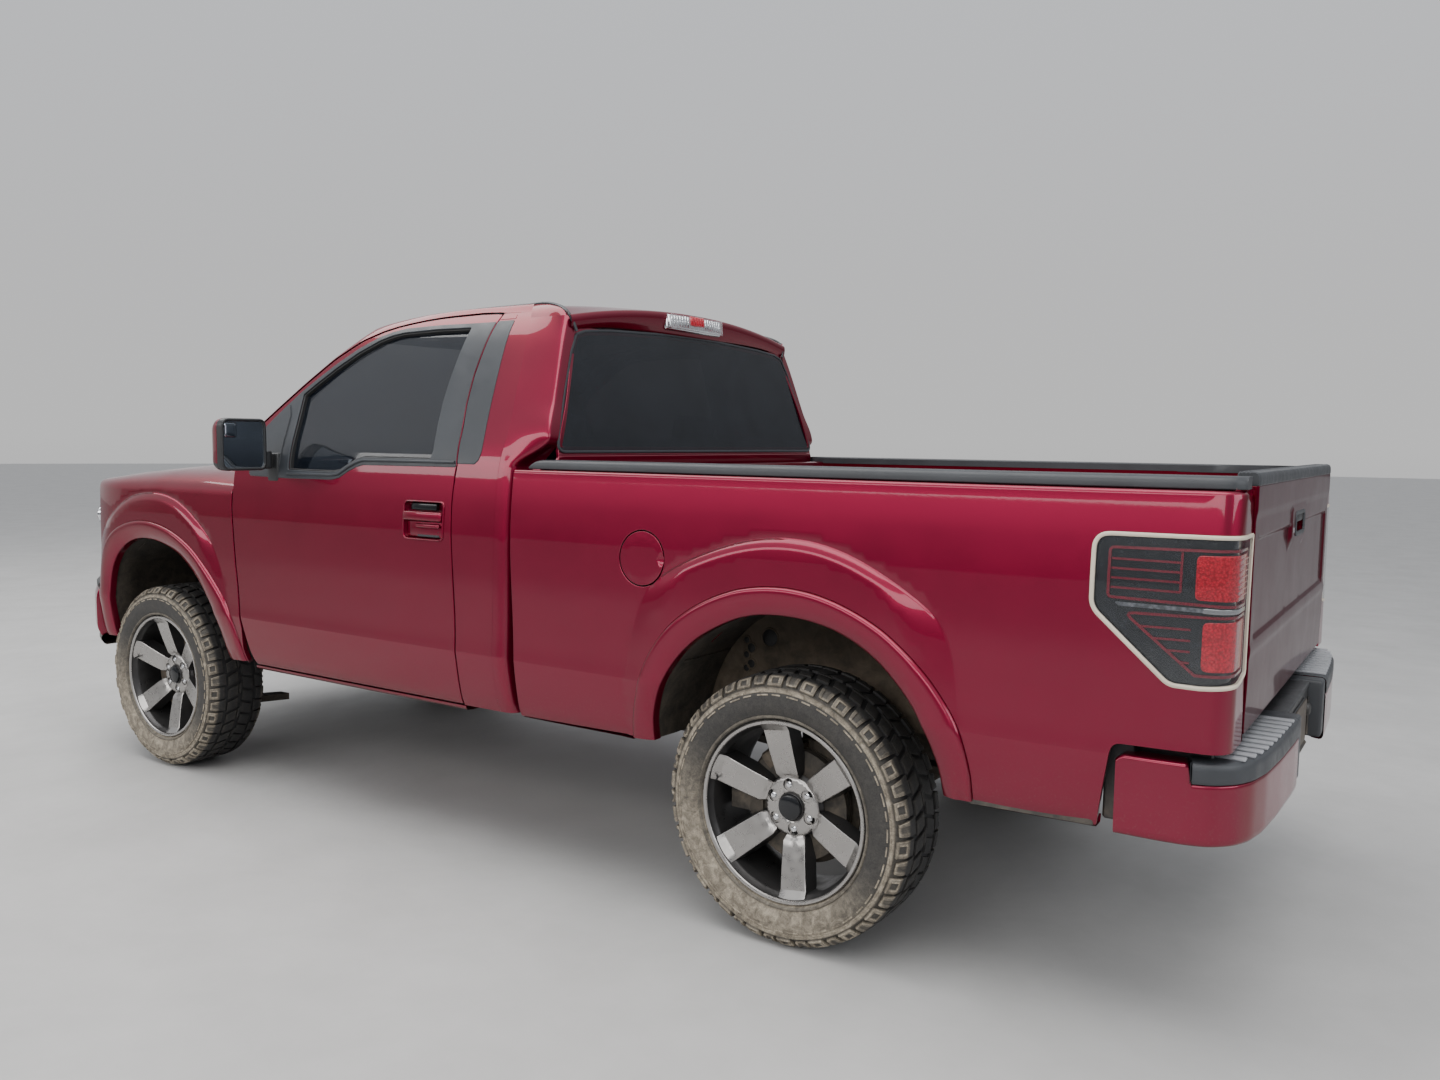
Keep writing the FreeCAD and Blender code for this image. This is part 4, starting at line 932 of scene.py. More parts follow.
REAR_SHELF = smoothed([(-1991, 600), (-1994, 747), (-1982, 870), (-1951, 990), (-1912, 1036), (-1874, 1060), (-1815, 1097), (-1743, 1136), (-1659, 1173), (-1564, 1199),
                       (-1468, 1207), (-1373, 1201), (-1280, 1180), (-1187, 1148), (-1093, 1107), (-1020, 1064), (-962, 1010), (-915, 880), (-893, 740),
                       (-890, 600)], 18, 40)
FRONT_SHELF = smoothed([(1190, 600), (1196, 760), (1208, 850), (1245, 945), (1304, 1032), (1378, 1095), (1439, 1134), (1489, 1166), (1564, 1199), (1650, 1219),
                        (1734, 1225), (1828, 1221), (1910, 1208), (1975, 1185), (2035, 1148), (2114, 1104), (2185, 1050), (2240, 980), (2265, 900), (2268, 700)],
                       18, 40)
_rear_pts = np.vstack([REAR_SHELF, [(-890, 200), (-1991, 200)]])
_front_pts = np.vstack([FRONT_SHELF, [(2268, 200), (1190, 200)]])
BULGE = 15.0


def bulge(x, z, line, closed, xc, half):
    """Step outwards inside the shelf line over a wheel: tight at the top, soft at the sides."""
    q = np.stack([np.ravel(x), np.ravel(z)], 1)
    d, _, _ = seg_dist(q, line)
    ins = inside(closed, q)
    w = 34 + 110 * sm(0.55, 0.98, np.abs(q[:, 0] - xc) / half) + 60 * sm(1060, 900, q[:, 1])
    t = np.clip(d / w, 0, 1)
    h = np.where(ins, BULGE * (1 - (1 - t) ** 2), 0.0)
    h = np.where(~ins, -1.6 * np.exp(-(d / 7.0) ** 2) * sm(1010, 1080, q[:, 1]), h)
    return h.reshape(np.shape(x))


def side_y(x, z):
    x, z = np.broadcast_arrays(np.asarray(x, float), np.asarray(z, float))
    y = np.array(plain_y(x, z), float)
    m = (x > -2060) & (x < -820) & (z < 1250)
    if m.any():
        y[m] = y[m] + bulge(x[m], z[m], REAR_SHELF, _rear_pts, -1440, 552)
    m = (x > 1130) & (x < 2330) & (z < 1270)
    if m.any():
        y[m] = y[m] + bulge(x[m], z[m], FRONT_SHELF, _front_pts, 1728, 540)
    return y


def side(u, w):
    return np.stack([np.asarray(u, float), side_y(u, w), np.asarray(w, float)], 1)


HOODZ = spline([(1250, 1352), (1450, 1362), (1700, 1360), (1900, 1350), (2100, 1334), (2300, 1308), (2450, 1278), (2530, 1255), (2600, 1222)])


def hood_z(x, y):
    return HOODZ(x) - 34 * (np.abs(y) / 820) ** 3


HOOD_EDGE = spline([(1150, 842), (1345, 838), (1700, 833), (2000, 813), (2200, 788), (2350, 753), (2450, 700), (2520, 580)])


def hermite(p0, m0, p1, m1, t):
    t = t[..., None]
    return (2 * t ** 3 - 3 * t ** 2 + 1) * p0 + (t ** 3 - 2 * t ** 2 + t) * m0 + (-2 * t ** 3 + 3 * t ** 2) * p1 + (t ** 3 - t ** 2) * m1


W0, WL = 1235.0, 205.0


def fender(u, w):
    """Side skin that rolls over the shoulder to the hood's edge; w keeps counting along the surface past W0."""
    u, w = np.asarray(u, float), np.asarray(w, float)
    a = side(u, np.minimum(w, W0))
    slope = (side_y(u, np.full_like(u, W0)) - side_y(u, np.full_like(u, W0 - 2))) / 2
    ye = HOOD_EDGE(u) + 3
    ze = hood_z(u, ye) + 2
    p0 = np.stack([a[:, 1], np.full_like(u, W0)], 1)
    m0 = np.stack([slope, np.ones_like(u)], 1) * 150
    p1 = np.stack([ye, ze], 1)
    m1 = np.stack([np.full_like(u, -1.0), np.full_like(u, 0.16)], 1) * 230
    t = np.clip((w - W0) / WL, 0, 1.2)
    h = hermite(p0, m0, p1, m1, t)
    over = w > W0
    y = np.where(over, h[:, 0], a[:, 1])
    z = np.where(over, h[:, 1], w)
    return np.stack([u, y, z], 1)


# body outlines in (x, z)
DOOR = [(-142, 541), (-146, 700), (-143, 800), (-140, 860), (-130, 980), (-117, 1154), (-114, 1257), (-117, 1330), (-121, 1385), (-114, 1450), (-107, 1510),
        (-92, 1600), (-86, 1700), (-91, 1800), (-97, 1890), (-100, 1929), (-68, 1932), (6, 1934), (149, 1931), (220, 1928), (293, 1922), (360, 1914), (431, 1903),
        (500, 1887), (600, 1853), (725, 1782), (850, 1688), (975, 1588), (1075, 1507), (1135, 1440), (1160, 1385), (1166, 1323), (1164, 1190), (1156, 1120),
        (1136, 955), (1120, 858), (1107, 759), (1095, 690), (1080, 600), (1068, 562), (1058, 541)]
WINDOW = [(12, 1400), (5, 1432), (20, 1530), (27, 1620), (26, 1700), (14, 1885), (200, 1887), (380, 1882), (440, 1873), (500, 1856), (600, 1810), (700, 1751),
          (780, 1697), (850, 1647), (838, 1560), (826, 1450), (816, 1344), (680, 1342), (540, 1342), (500, 1348), (450, 1374), (410, 1391), (370, 1400)]
REAR_OPEN = smoothed([(-1944, 500), (-1934, 623), (-1910, 697), (-1871, 776), (-1822, 833), (-1762, 891), (-1691, 936), (-1621, 965), (-1538, 983), (-1455, 988),
                      (-1373, 983), (-1303, 965), (-1232, 932), (-1162, 891), (-1105, 839), (-1060, 781), (-1024, 710), (-995, 623), (-984, 500)], 12, 22)
REAR_CREST = smoothed([(-2011, 500), (-2011, 623), (-1997, 691), (-1983, 741), (-1952, 792), (-1904, 856), (-1844, 915), (-1774, 968), (-1702, 1005), (-1631, 1032),
                       (-1561, 1050), (-1478, 1059), (-1395, 1056), (-1314, 1042), (-1231, 1012), (-1161, 976), (-1103, 936), (-1056, 891), (-1011, 833),
                       (-979, 770), (-957, 697), (-930, 610), (-915, 500)], 12, 22)
FRONT_OPEN = smoothed([(1240, 500), (1251, 598), (1264, 674), (1296, 758), (1350, 822), (1401, 874), (1462, 923), (1533, 968), (1605, 995), (1676, 1012),
                       (1747, 1022), (1818, 1024), (1888, 1015), (1958, 991), (2028, 944), (2079, 884), (2104, 820), (2112, 760), (2124, 690), (2136, 500)],
                      12, 22)
FRONT_CREST = smoothed([(1136, 500), (1139, 566), (1148, 623), (1163, 679), (1182, 735), (1218, 792), (1271, 852), (1321, 903), (1380, 956), (1440, 997),
                        (1512, 1032), (1583, 1058), (1667, 1079), (1750, 1090), (1832, 1091), (1915, 1079), (1984, 1059), (2056, 1025), (2111, 978),
                        (2159, 918), (2187, 834), (2206, 740), (2216, 500)], 12, 22)


def offset_open(line, d):
    """Open polyline moved to its left by d."""
    t = np.gradient(line, axis=0)
    t /= np.linalg.norm(t, axis=1, keepdims=True)
    return line + np.stack([-t[:, 1], t[:, 0]], 1) * d


def clip_low(line, z):
    return line[line[:, 1] >= z]


FUEL_C, FUEL_R = (-952, 1117), 84
LAMP = [(-2660, 1273), (-2325, 1268), (-2306, 1241), (-2306, 1093), (-2490, 920), (-2590, 925), (-2660, 938)]


def flare(mesh, crest, opening, z0, mat="paint", hmax=11.0):
    """Rolled lip round a wheel opening, crest and opening as measured lines."""
    n = 96
    outer = resample(clip_low(crest, z0), n)
    outer = offset_open(outer, 12.0)
    op = resample(clip_low(opening, z0), n)
    prof = [(0, -2.5), (0.6, 2), (3, 6.5), (7, 9.5), (12, 11), (20, 11.2), (32, 10.2), (46, 7.2), (60, 2.5), (74, -4), (82, -9), (85, -13), (85.5, -20), (85, -40)]
    G = np.zeros((n, len(prof), 3))
    for j, (d, h) in enumerate(prof):
        p = outer + (op - outer) * (min(d, 85) / 85.0)
        G[:, j, 0], G[:, j, 2] = p[:, 0], p[:, 1]
        G[:, j, 1] = side_y(p[:, 0], p[:, 1]) + h * (hmax / 11.0 if h > 0 else 1)
        if j >= len(prof) - 2:
            G[:, j, 1] = G[:, j - 1, 1] - (7 if j == len(prof) - 2 else 22)
    sheet(mesh, G, mat, flip=False)
    return outer


# ------------------------------------------------------------------ side panels, left; the right is their mirror
def feature(line, lo=None):
    return line if lo is None else clip_low(line, lo)


SHELF_EXTRA_R = [REAR_SHELF[(REAR_SHELF[:, 1] > 760)]] + [offset_open(REAR_SHELF, -d)[REAR_SHELF[:, 1] > 760] for d in (5, 11, 20, 32)] + \
                [offset_open(REAR_SHELF, 5)[REAR_SHELF[:, 1] > 900]]
SHELF_EXTRA_F = [FRONT_SHELF[(FRONT_SHELF[:, 1] > 760)]] + [offset_open(FRONT_SHELF, -d)[FRONT_SHELF[:, 1] > 760] for d in (5, 11, 20, 32)] + \
                [offset_open(FRONT_SHELF, 5)[FRONT_SHELF[:, 1] > 900]]


def crease(x0, x1, step=16):
    xs = np.arange(x0, x1, step)
    return [np.stack([xs, np.full(len(xs), z)], 1) for z in (730, 736.5, 739.5, 747)]


fuel = np.array([(FUEL_C[0] + (FUEL_R + 3) * math.cos(a), FUEL_C[1] + (FUEL_R + 3) * math.sin(a)) for a in np.linspace(0, 2 * math.pi, 48, endpoint=False)])

# fender
fn = M()
cf = offset_open(clip_low(FRONT_CREST, 541), 12.0)
shoulder = WL + W0
outline = [(1118, 541), (1124, 600), (1108, 690), (1113, 759), (1126, 858), (1142, 955), (1162, 1120), (1170, 1190), (1172, 1322), (1178, shoulder),
           (1345, shoulder), (1700, shoulder), (2000, shoulder), (2200, shoulder), (2286, shoulder), (2294, 1380), (2292, 1300), (2280, 1240), (2262, 1192),
           (2256, 1130), (2244, 1000), (2240, 798)]
cfl = cf[::-1]
outline = outline + [tuple(p) for p in cfl if p[0] > 1130 and p[1] < 1200 and (p[1] > 541)]

patch(fn, np.array(outline), [], fender, -1, "paint", 26, SHELF_EXTRA_F + crease(1120, 2240), gap=0.0, roll=2.5, hem=16)
flare(fn, FRONT_CREST, FRONT_OPEN, 541)
pair("fender_skin", fn, ("truck", "truck"), (("fender_left",), ("fender_right",)))


# ------------------------------------------------------------------ doors
def door_depth(V):
    return 42 + 48 * sm(1400, 1335, V[:, 1])


HANDLE = rounded([(-78, 1119), (124, 1119), (126, 1255), (-80, 1255)], 18, 5)
dr = M()
patch(dr, DOOR, [rounded(WINDOW, 14, 4), HANDLE], side, -1, "paint", 26, crease(-136, 1100), gap=2.2, roll=2.5, hem=8, back=(door_depth, "cabin"),
      inw=(0, -1, 0), hole_gap=-1.0)


def side_at(h):
    return lambda u, w: side(u, w) + np.array([0, 1.0, 0]) * h


# window surround, pillar cover and mirror plate in one dark grey moulding
TRIM = [(-118.5, 1377), (-111, 1440), (-103, 1510), (-88.5, 1600), (-82.5, 1700), (-87, 1800), (-93, 1885), (-95, 1899), (14, 1899), (200, 1901), (380, 1896),
        (445, 1886), (508, 1868), (608, 1822), (708, 1763), (788, 1709), (862, 1657), (930, 1599), (990, 1546), (1036, 1500), (1058, 1450), (1062, 1400),
        (1062, 1330), (1052, 1318), (820, 1314), (545, 1316), (500, 1324), (452, 1349), (410, 1366), (370, 1375), (12, 1377)]
patch(dr, rounded(TRIM, 5, 2), [rounded(WINDOW, 14, 4)], side_at(2.6), -1, "trim", 24, (), gap=0.0, roll=2.4, hem=3, hole_gap=-4.5)
# seal lip at the foot of the glass and round it
for inset_d, m, wide, deep in ((7, "rubber", 7, 14),):
    loop = dense(inset(rounded(WINDOW, 14, 4), inset_d), 18, True)
    P, N, _, _ = frames(side, loop, -1)
    bar_sweep(dr, P - N * 7, N, [(-wide / 2, -deep), (wide / 2, -deep), (wide / 2, 2), (0, 4), (-wide / 2, 2)], m, closed=True)
# lighter lip along the belt
path = np.array([(-113, 1393), (12, 1393), (370, 1392), (408, 1383), (450, 1366), (500, 1339), (545, 1333), (812, 1333)], float)
path = dense(path, 16)
P, N, _, _ = frames(side, path, -1)
bar_sweep(dr, P + N * 4.5, N, [(-5, 0), (-4, 3.5), (0, 5), (4, 3.5), (5, 0)], "trim")
# fine raised line on the mirror plate
path = dense([(905, 1345), (878, 1345), (866, 1360), (872, 1480), (880, 1560), (905, 1600)], 14)
P, N, _, _ = frames(side, path, -1)
bar_sweep(dr, P + N * 5.0, N, [(-2, -1), (-1.2, 1.6), (1.2, 1.6), (2, -1)], "grey")

# handle: recessed cup, fixed bezel ring, pull bar and lower grip with the lock
hy = float(side_y(20, 1190))


def hp(u, w, h):
    return [u, float(side_y(u, w)) + h, w]


ring_o = dense(rounded([(-80, 1117), (126, 1117), (128, 1257), (-82, 1257)], 20, 5), 10, True)
c0 = ring_o.mean(0)
rings = []
for sc, h in ((1.0, -1.0), (1.0, 2.0), (0.985, 4.0), (0.955, 4.5), (0.93, 3.0), (0.915, -2), (0.90, -12), (0.80, -24), (0.5, -28), (0.05, -28)):
    q = c0 + (ring_o - c0) * np.array([1 - (1 - sc) * 0.85, sc])
    rings.append([hp(a, b, h) for a, b in q])
hd = M()
loft(hd, rings, "paint", True, False, flip=True)


def handle_bar(z0, z1, x0, x1, h0, h1, mat="paint", r=5):
    rbox(hd, (x0, -h0, z0), (x1, h1, z1), mat, r, 3, fn=lambda v: np.stack([v[:, 0], side_y(v[:, 0], v[:, 2]) + v[:, 1], v[:, 2]], 1))


handle_bar(1186, 1218, -74, 120, 4, 13, r=7)
handle_bar(1222, 1246, -28, 102, 26, -10, "gloss_black", 3)
handle_bar(1160, 1176, -58, 62, 20, 3, "paint", 6)
handle_bar(1126, 1186, -72, 116, 22, -8, "paint", 6)
handle_bar(1128, 1136, -52, 58, 12, -5, "grey", 2)
lathe(hd, [(0.2, 0), (7, 0), (9, -1.5), (9, -8)], "chrome", 20, "y", (-46, hy - 6, 1147))
lathe(hd, [(0.2, 0.6), (2.2, 0.6), (2.2, 0)], "black", 10, "y", (-46, hy - 6, 1147))
dr.join(hd)

# inner trim: arm rest, pull cup, speaker ring and pocket
inner = M()


def in_y(x, z, d):
    return float(side_y(x, z)) - d


rbox(inner, (-60, 868, 1010), (720, 905, 1075), "cabin", 16, 3)
rbox(inner, (250, 856, 1040), (620, 880, 1062), "black", 8, 2)
rbox(inner, (-40, 890, 640), (860, 915, 720), "cabin", 14, 3)
lathe(inner, [(0.5, 4), (60, 7), (78, 9), (84, 6), (86, -6)], "black", 40, "y", (850, 898, 830))
rbox(inner, (560, 872, 1130), (700, 900, 1165), "chrome", 8, 3)
dr.join(inner)
pair("door_shell", dr, ("driver_door", "passenger_door"), (("door_left",), ("door_right",)))

# door glass, closed pane 20 mm inboard of the skin
gl = M()
patch(gl, WINDOW, [], side_at(-19), -1, "glass", 40, (), gap=-9.0, roll=1.0, hem=1.0, back=(4.0, "glass"), inw=(0, -1, 0))
pair("door_pane", gl, ("driver_door", "passenger_door"), (("door_glass_left",), ("door_glass_right",)))

# ------------------------------------------------------------------ cab side behind the door, with its corner
_seam = spline([(541, -146.5), (700, -150.5), (800, -147.5), (860, -144.5), (980, -134.5), (1154, -121.5), (1257, -118.5), (1330, -121.5), (1385, -125.5),
                (1450, -118.5), (1510, -111.5), (1600, -96.5), (1700, -90.5), (1800, -95.5), (1890, -101.5), (1929, -104.5), (1990, -106)])
_cx = spline([(500, -322), (1300, -322), (1406, -324), (1491, -330), (1614, -317), (1750, -299), (1877, -268), (1929, -240), (1960, -222)])
_bx = spline([(1380, -500), (1475, -499), (1612, -476), (1798, -446), (1905, -428), (1960, -420)])
_by = spline([(1380, 905), (1475, 905), (1612, 851), (1798, 778), (1905, 731), (1960, 712)])
_wx = spline([(1380, -504), (1475, -499.5), (1612, -477), (1729, -458), (1835, -441), (1905, -429), (1960, -421)])
_wy = spline([(1380, 868), (1475, 851), (1612, 797), (1729, 751), (1835, 711), (1880, 707), (1905, 722), (1960, 705)])
LOWS = [(178, 0.4), (159, 1.2), (143, 4), (130, 12), (121, 26), (116, 46), (108, 70), (70, 92)]


def corner_row(z, n=26):
    """Points round the rear corner of the cab at height z, from the crease to the back window's seal."""
    ys = float(side_y(-322, z))
    low = np.array([(-500 + dx, ys - dy) for dx, dy in LOWS])
    cx, bx, by, wx, wy = (float(f(z)) for f in (_cx, _bx, _by, _wx, _wy))
    c = np.array([cx, float(side_y(cx, z))])
    b, w = np.array([bx, by]), np.array([wx, min(wy, by - 4)])
    high = np.array([c, c + 0.3 * (b - c) + (0, 1.5), c + 0.6 * (b - c) + (0, 1.5), b + (26, 2), b + (10, -2), b + (1.5, -11), 0.5 * (b + w) + (0.5, -5), w])
    s = float(sm(1380, 1480, z))
    q = low * (1 - s) + high * s
    # smooth curve through the eight points
    t = np.arange(8)
    fx, fy = spline(list(zip(t, q[:, 0]))), spline(list(zip(t, q[:, 1])))
    tt = np.linspace(0, 7, n)
    return np.stack([fx(tt), fy(tt), np.full(n, z)], 1)


zs = np.unique(np.concatenate([np.linspace(541, 1380, 30), np.linspace(1380, 1500, 14), np.linspace(1500, 1905, 24), [736, 740]]))
cs = M()
GA = []
for z in zs:
    xs = np.linspace(float(_seam(z)), float(_cx(z)), 12)
    GA.append(np.stack([xs, side_y(xs, np.full(12, z)), np.full(12, z)], 1))
for z in (1917, 1929):
    xs = np.linspace(float(_seam(z)), float(_cx(z)), 12)
    GA.append(np.stack([xs, side_y(xs, np.full(12, z)), np.full(12, z)], 1))
GA = np.array(GA)
sheet(cs, GA, "paint", flip=False)
# hem along the door gap
edge = GA[:, 0]
hem = np.stack([edge, edge + [2.0, -1.2, 0], edge + [2.6, -3.5, 0], edge + [2.6, -70, 0]], 1)
sheet(cs, hem, "paint", flip=True)
GB = np.array([corner_row(z) for z in zs])
sheet(cs, GB, "paint", flip=False)
# crown of the corner, from the last level row up to the roof ditch
top0 = GB[-1]
line = np.array([(-222, 670, 1959), (-256, 671, 1961), (-300, 680, 1957), (-340, 691, 1949), (-380, 704, 1938), (-426, 724, 1917)], float)
top1 = resample(line, len(top0))
tb = []
for s in np.linspace(0, 1, 9):
    r = top0 * (1 - s) + top1 * s
    k = math.sin(math.pi * s)
    r = r + k * np.array([-1.5, 5.0, 4.0])
    tb.append(r)
sheet(cs, np.array(tb), "paint", flip=False)

# roof rail and windscreen pillar: a band between the door's upper seam and the roof ditch or the glass
O2 = [(-238, 1929), (-170, 1930), (-106, 1930.5), (-97, 1935), (6, 1939), (149, 1936), (220, 1933), (293, 1927), (360, 1919), (431, 1908.5), (505, 1892),
      (605, 1858), (730, 1787), (855, 1693), (980, 1593), (1080, 1512), (1141, 1444), (1168, 1392), (1180, 1350)]
O2 = smoothed(O2, 12, 10)
nO = 110
O2 = resample(O2, nO)
O3 = np.stack([O2[:, 0], side_y(O2[:, 0], O2[:, 1]), O2[:, 1]], 1)


def ws_edge(f):
    return (1290 - 650 * f + 72 * f * (1 - f), 860 - 220 * f, 1338 + 560 * f + 56 * f * (1 - f))


I3 = [(-222, 668, 1959), (-200, 665, 1959), (-100, 661, 1959), (0, 660, 1958), (100, 660, 1956.5), (179, 660, 1954), (333, 659, 1944), (440, 657, 1932),
      (520, 654, 1919), (590, 650, 1907)] + [ws_edge(f) for f in (1.0, 0.9, 0.75, 0.6, 0.45, 0.3, 0.15, 0.04)]
I3 = np.array(I3, float)
# match the two lines: split at the roof's front corner
ko = int(np.argmin(np.abs(O3[:, 0] - 560)))
I3 = np.vstack([resample(I3[:11], ko + 1), resample(I3[10:], nO - ko)[1:]])
band = []
for k in range(nO):
    a, b = O3[k], I3[k]
    L = np.linalg.norm(b - a)
    e = 2.0
    sl = (side_y(a[0], a[2] + e) - side_y(a[0], a[2] - e)) / (2 * e)
    m0 = np.array([0, float(sl), 1.0])
    m0 /= np.linalg.norm(m0)
    fwdw = sm(480, 800, a[0])
    m1 = np.array([0.25, -1.0, -0.55]) * (1 - fwdw) + (np.array([0.5, -0.85, 0.2])) * fwdw
    m1 /= np.linalg.norm(m1)
    # along the pillar the start turns towards the glass
    m0 = m0 * (1 - 0.35 * fwdw) + ((b - a) / L) * 0.35 * fwdw
    t = np.linspace(0, 1, 11)
    band.append(hermite(a, m0 * L * 1.25, b, m1 * L * 0.9, t))
sheet(cs, np.array(band), "paint", flip=False)
# gap lip under the band, along the seam
lip = np.stack([O3, O3 + [0, -1.5, -2.2], O3 + [0, -5, -3.0], O3 + [0, -44, -3.0]], 1)
sheet(cs, lip, "paint", flip=True)

# sill below the door: painted rocker with its rolled edge
xs = np.linspace(-150, 1070, 60)
sec = [(0, 537), (-1, 530), (-8, 522), (-30, 519), (-110, 519)]
G = np.zeros((60, len(sec), 3))
for j, (dy, z) in enumerate(sec):
    G[:, j] = np.stack([xs, side_y(xs, np.full(60, 545.0)) - 4 + dy, np.full(60, z)], 1)
sheet(cs, G, "paint", flip=True)
G = np.array([[(x, float(side_y(x, 545)) - 4, 537), (x, float(side_y(x, 545)) - 60, 539), (x, float(side_y(x, 545)) - 100, 560)] for x in xs])
sheet(cs, G, "paint", flip=False)
pair("cab_side_skin", cs, ("truck", "truck"))

# pillar cover behind the door and its cap
pc = M()
COVER = [(-124, 1389), (-116.5, 1450), (-109.5, 1520), (-95.5, 1600), (-90, 1700), (-94.5, 1800), (-101, 1901), (-183, 1901), (-192, 1800), (-202, 1700),
         (-211, 1600), (-219, 1520), (-228, 1455), (-229, 1430), (-223, 1404), (-206, 1389)]
patch(pc, rounded(COVER, 8, 3), [], side_at(2.6), -1, "trim", 22, (), gap=0.0, roll=2.4, hem=3)
patch(pc, rounded([(-183, 1904.5), (-103, 1904.5), (-104.5, 1923), (-177, 1923)], 3, 2), [], side_at(1.8), -1, "paint", 12, (), gap=0.5, roll=1.5, hem=2)
pair("pillar_cover", pc, ("truck", "truck"))


# ------------------------------------------------------------------ wheels: made once about their own centre, outboard side +y
HALF = [(396.0, 0), (395.8, 30), (395.2, 60), (393.6, 85), (389, 100), (381, 111), (372.5, 119.5), (368.5, 127.5), (366.5, 130.2), (364, 130.6), (361, 129.8),
        (352, 133), (340, 135.2), (322, 135.6), (304, 132.4), (290, 127), (280, 121.5), (276, 118), (272, 113), (268.5, 107), (262, 104)]
_hs = np.array(HALF, float)
_hl = np.concatenate([[0], np.cumsum(np.linalg.norm(np.diff(_hs, axis=0), axis=1))])
_hr, _hy = spline(list(zip(_hl, _hs[:, 0]))), spline(list(zip(_hl, _hs[:, 1])))


def tread_point(th, s, h):
    """Point at angle th, distance s along the half profile from the middle and height h above it."""
    e = 1.0
    r, y = _hr(s), _hy(s)
    tr, ty = _hr(s + e) - _hr(s - e), _hy(s + e) - _hy(s - e)
    L = np.hypot(tr, ty)
    nr, ny = ty / L, -tr / L
    r2, y2 = r + nr * h, y + ny * h
    r2 = np.minimum(r2, 404.6)
    return np.stack(np.broadcast_arrays(r2 * np.cos(th), y2, r2 * np.sin(th)), -1)


def dust_at(P, low=0.0):
    """Dust on a tyre: pale on the shoulder, strong low on the sidewall."""
    x, y, z = P[..., 0], np.abs(P[..., 1]), P[..., 2]
    r = np.hypot(x, z)
    down = np.clip((-z * 0.86 + x * 0.42) / np.maximum(r, 1), -1, 1)
    side_w = 0.08 + 0.80 * sm(-0.20, 0.78, down)
    sh = 0.84 + 0.14 * down
    m = np.where(r < 356, side_w * 0.85, np.where(r < 368, 0.92, sh))
    return np.clip(np.where((y < 100) & (r > 385), 0.05, m) * np.where(P[..., 1] < 0, 0.5, 1.0), 0, 1)


tyre = M()
prof = [(float(_hr(s)), float(_hy(s))) for s in np.concatenate([np.linspace(0, 110, 7), np.linspace(114, _hl[-1], 30)])]
full_prof = [(r, -y) for r, y in prof[::-1]][:-1] + prof
n = 132
ang = np.linspace(0, 2 * math.pi, n, endpoint=False)
G = np.array([[(r * math.cos(a), y, r * math.sin(a)) for r, y in full_prof] for a in ang])
rG = np.hypot(G[..., 0], G[..., 2])
# dust mask cut down on the carcass between the tread blocks, painted shade that darkens the gaps
sheet(tyre, G, "tyre", flip=False, close_u=True, mask=dust_at(G) * np.where(np.abs(G[..., 1]) < 100, 0.15, 1.0) * (1 - 0.82 * sm(362, 372, rG)), normals=False)

PITCH = 44
step_a = 2 * math.pi / PITCH


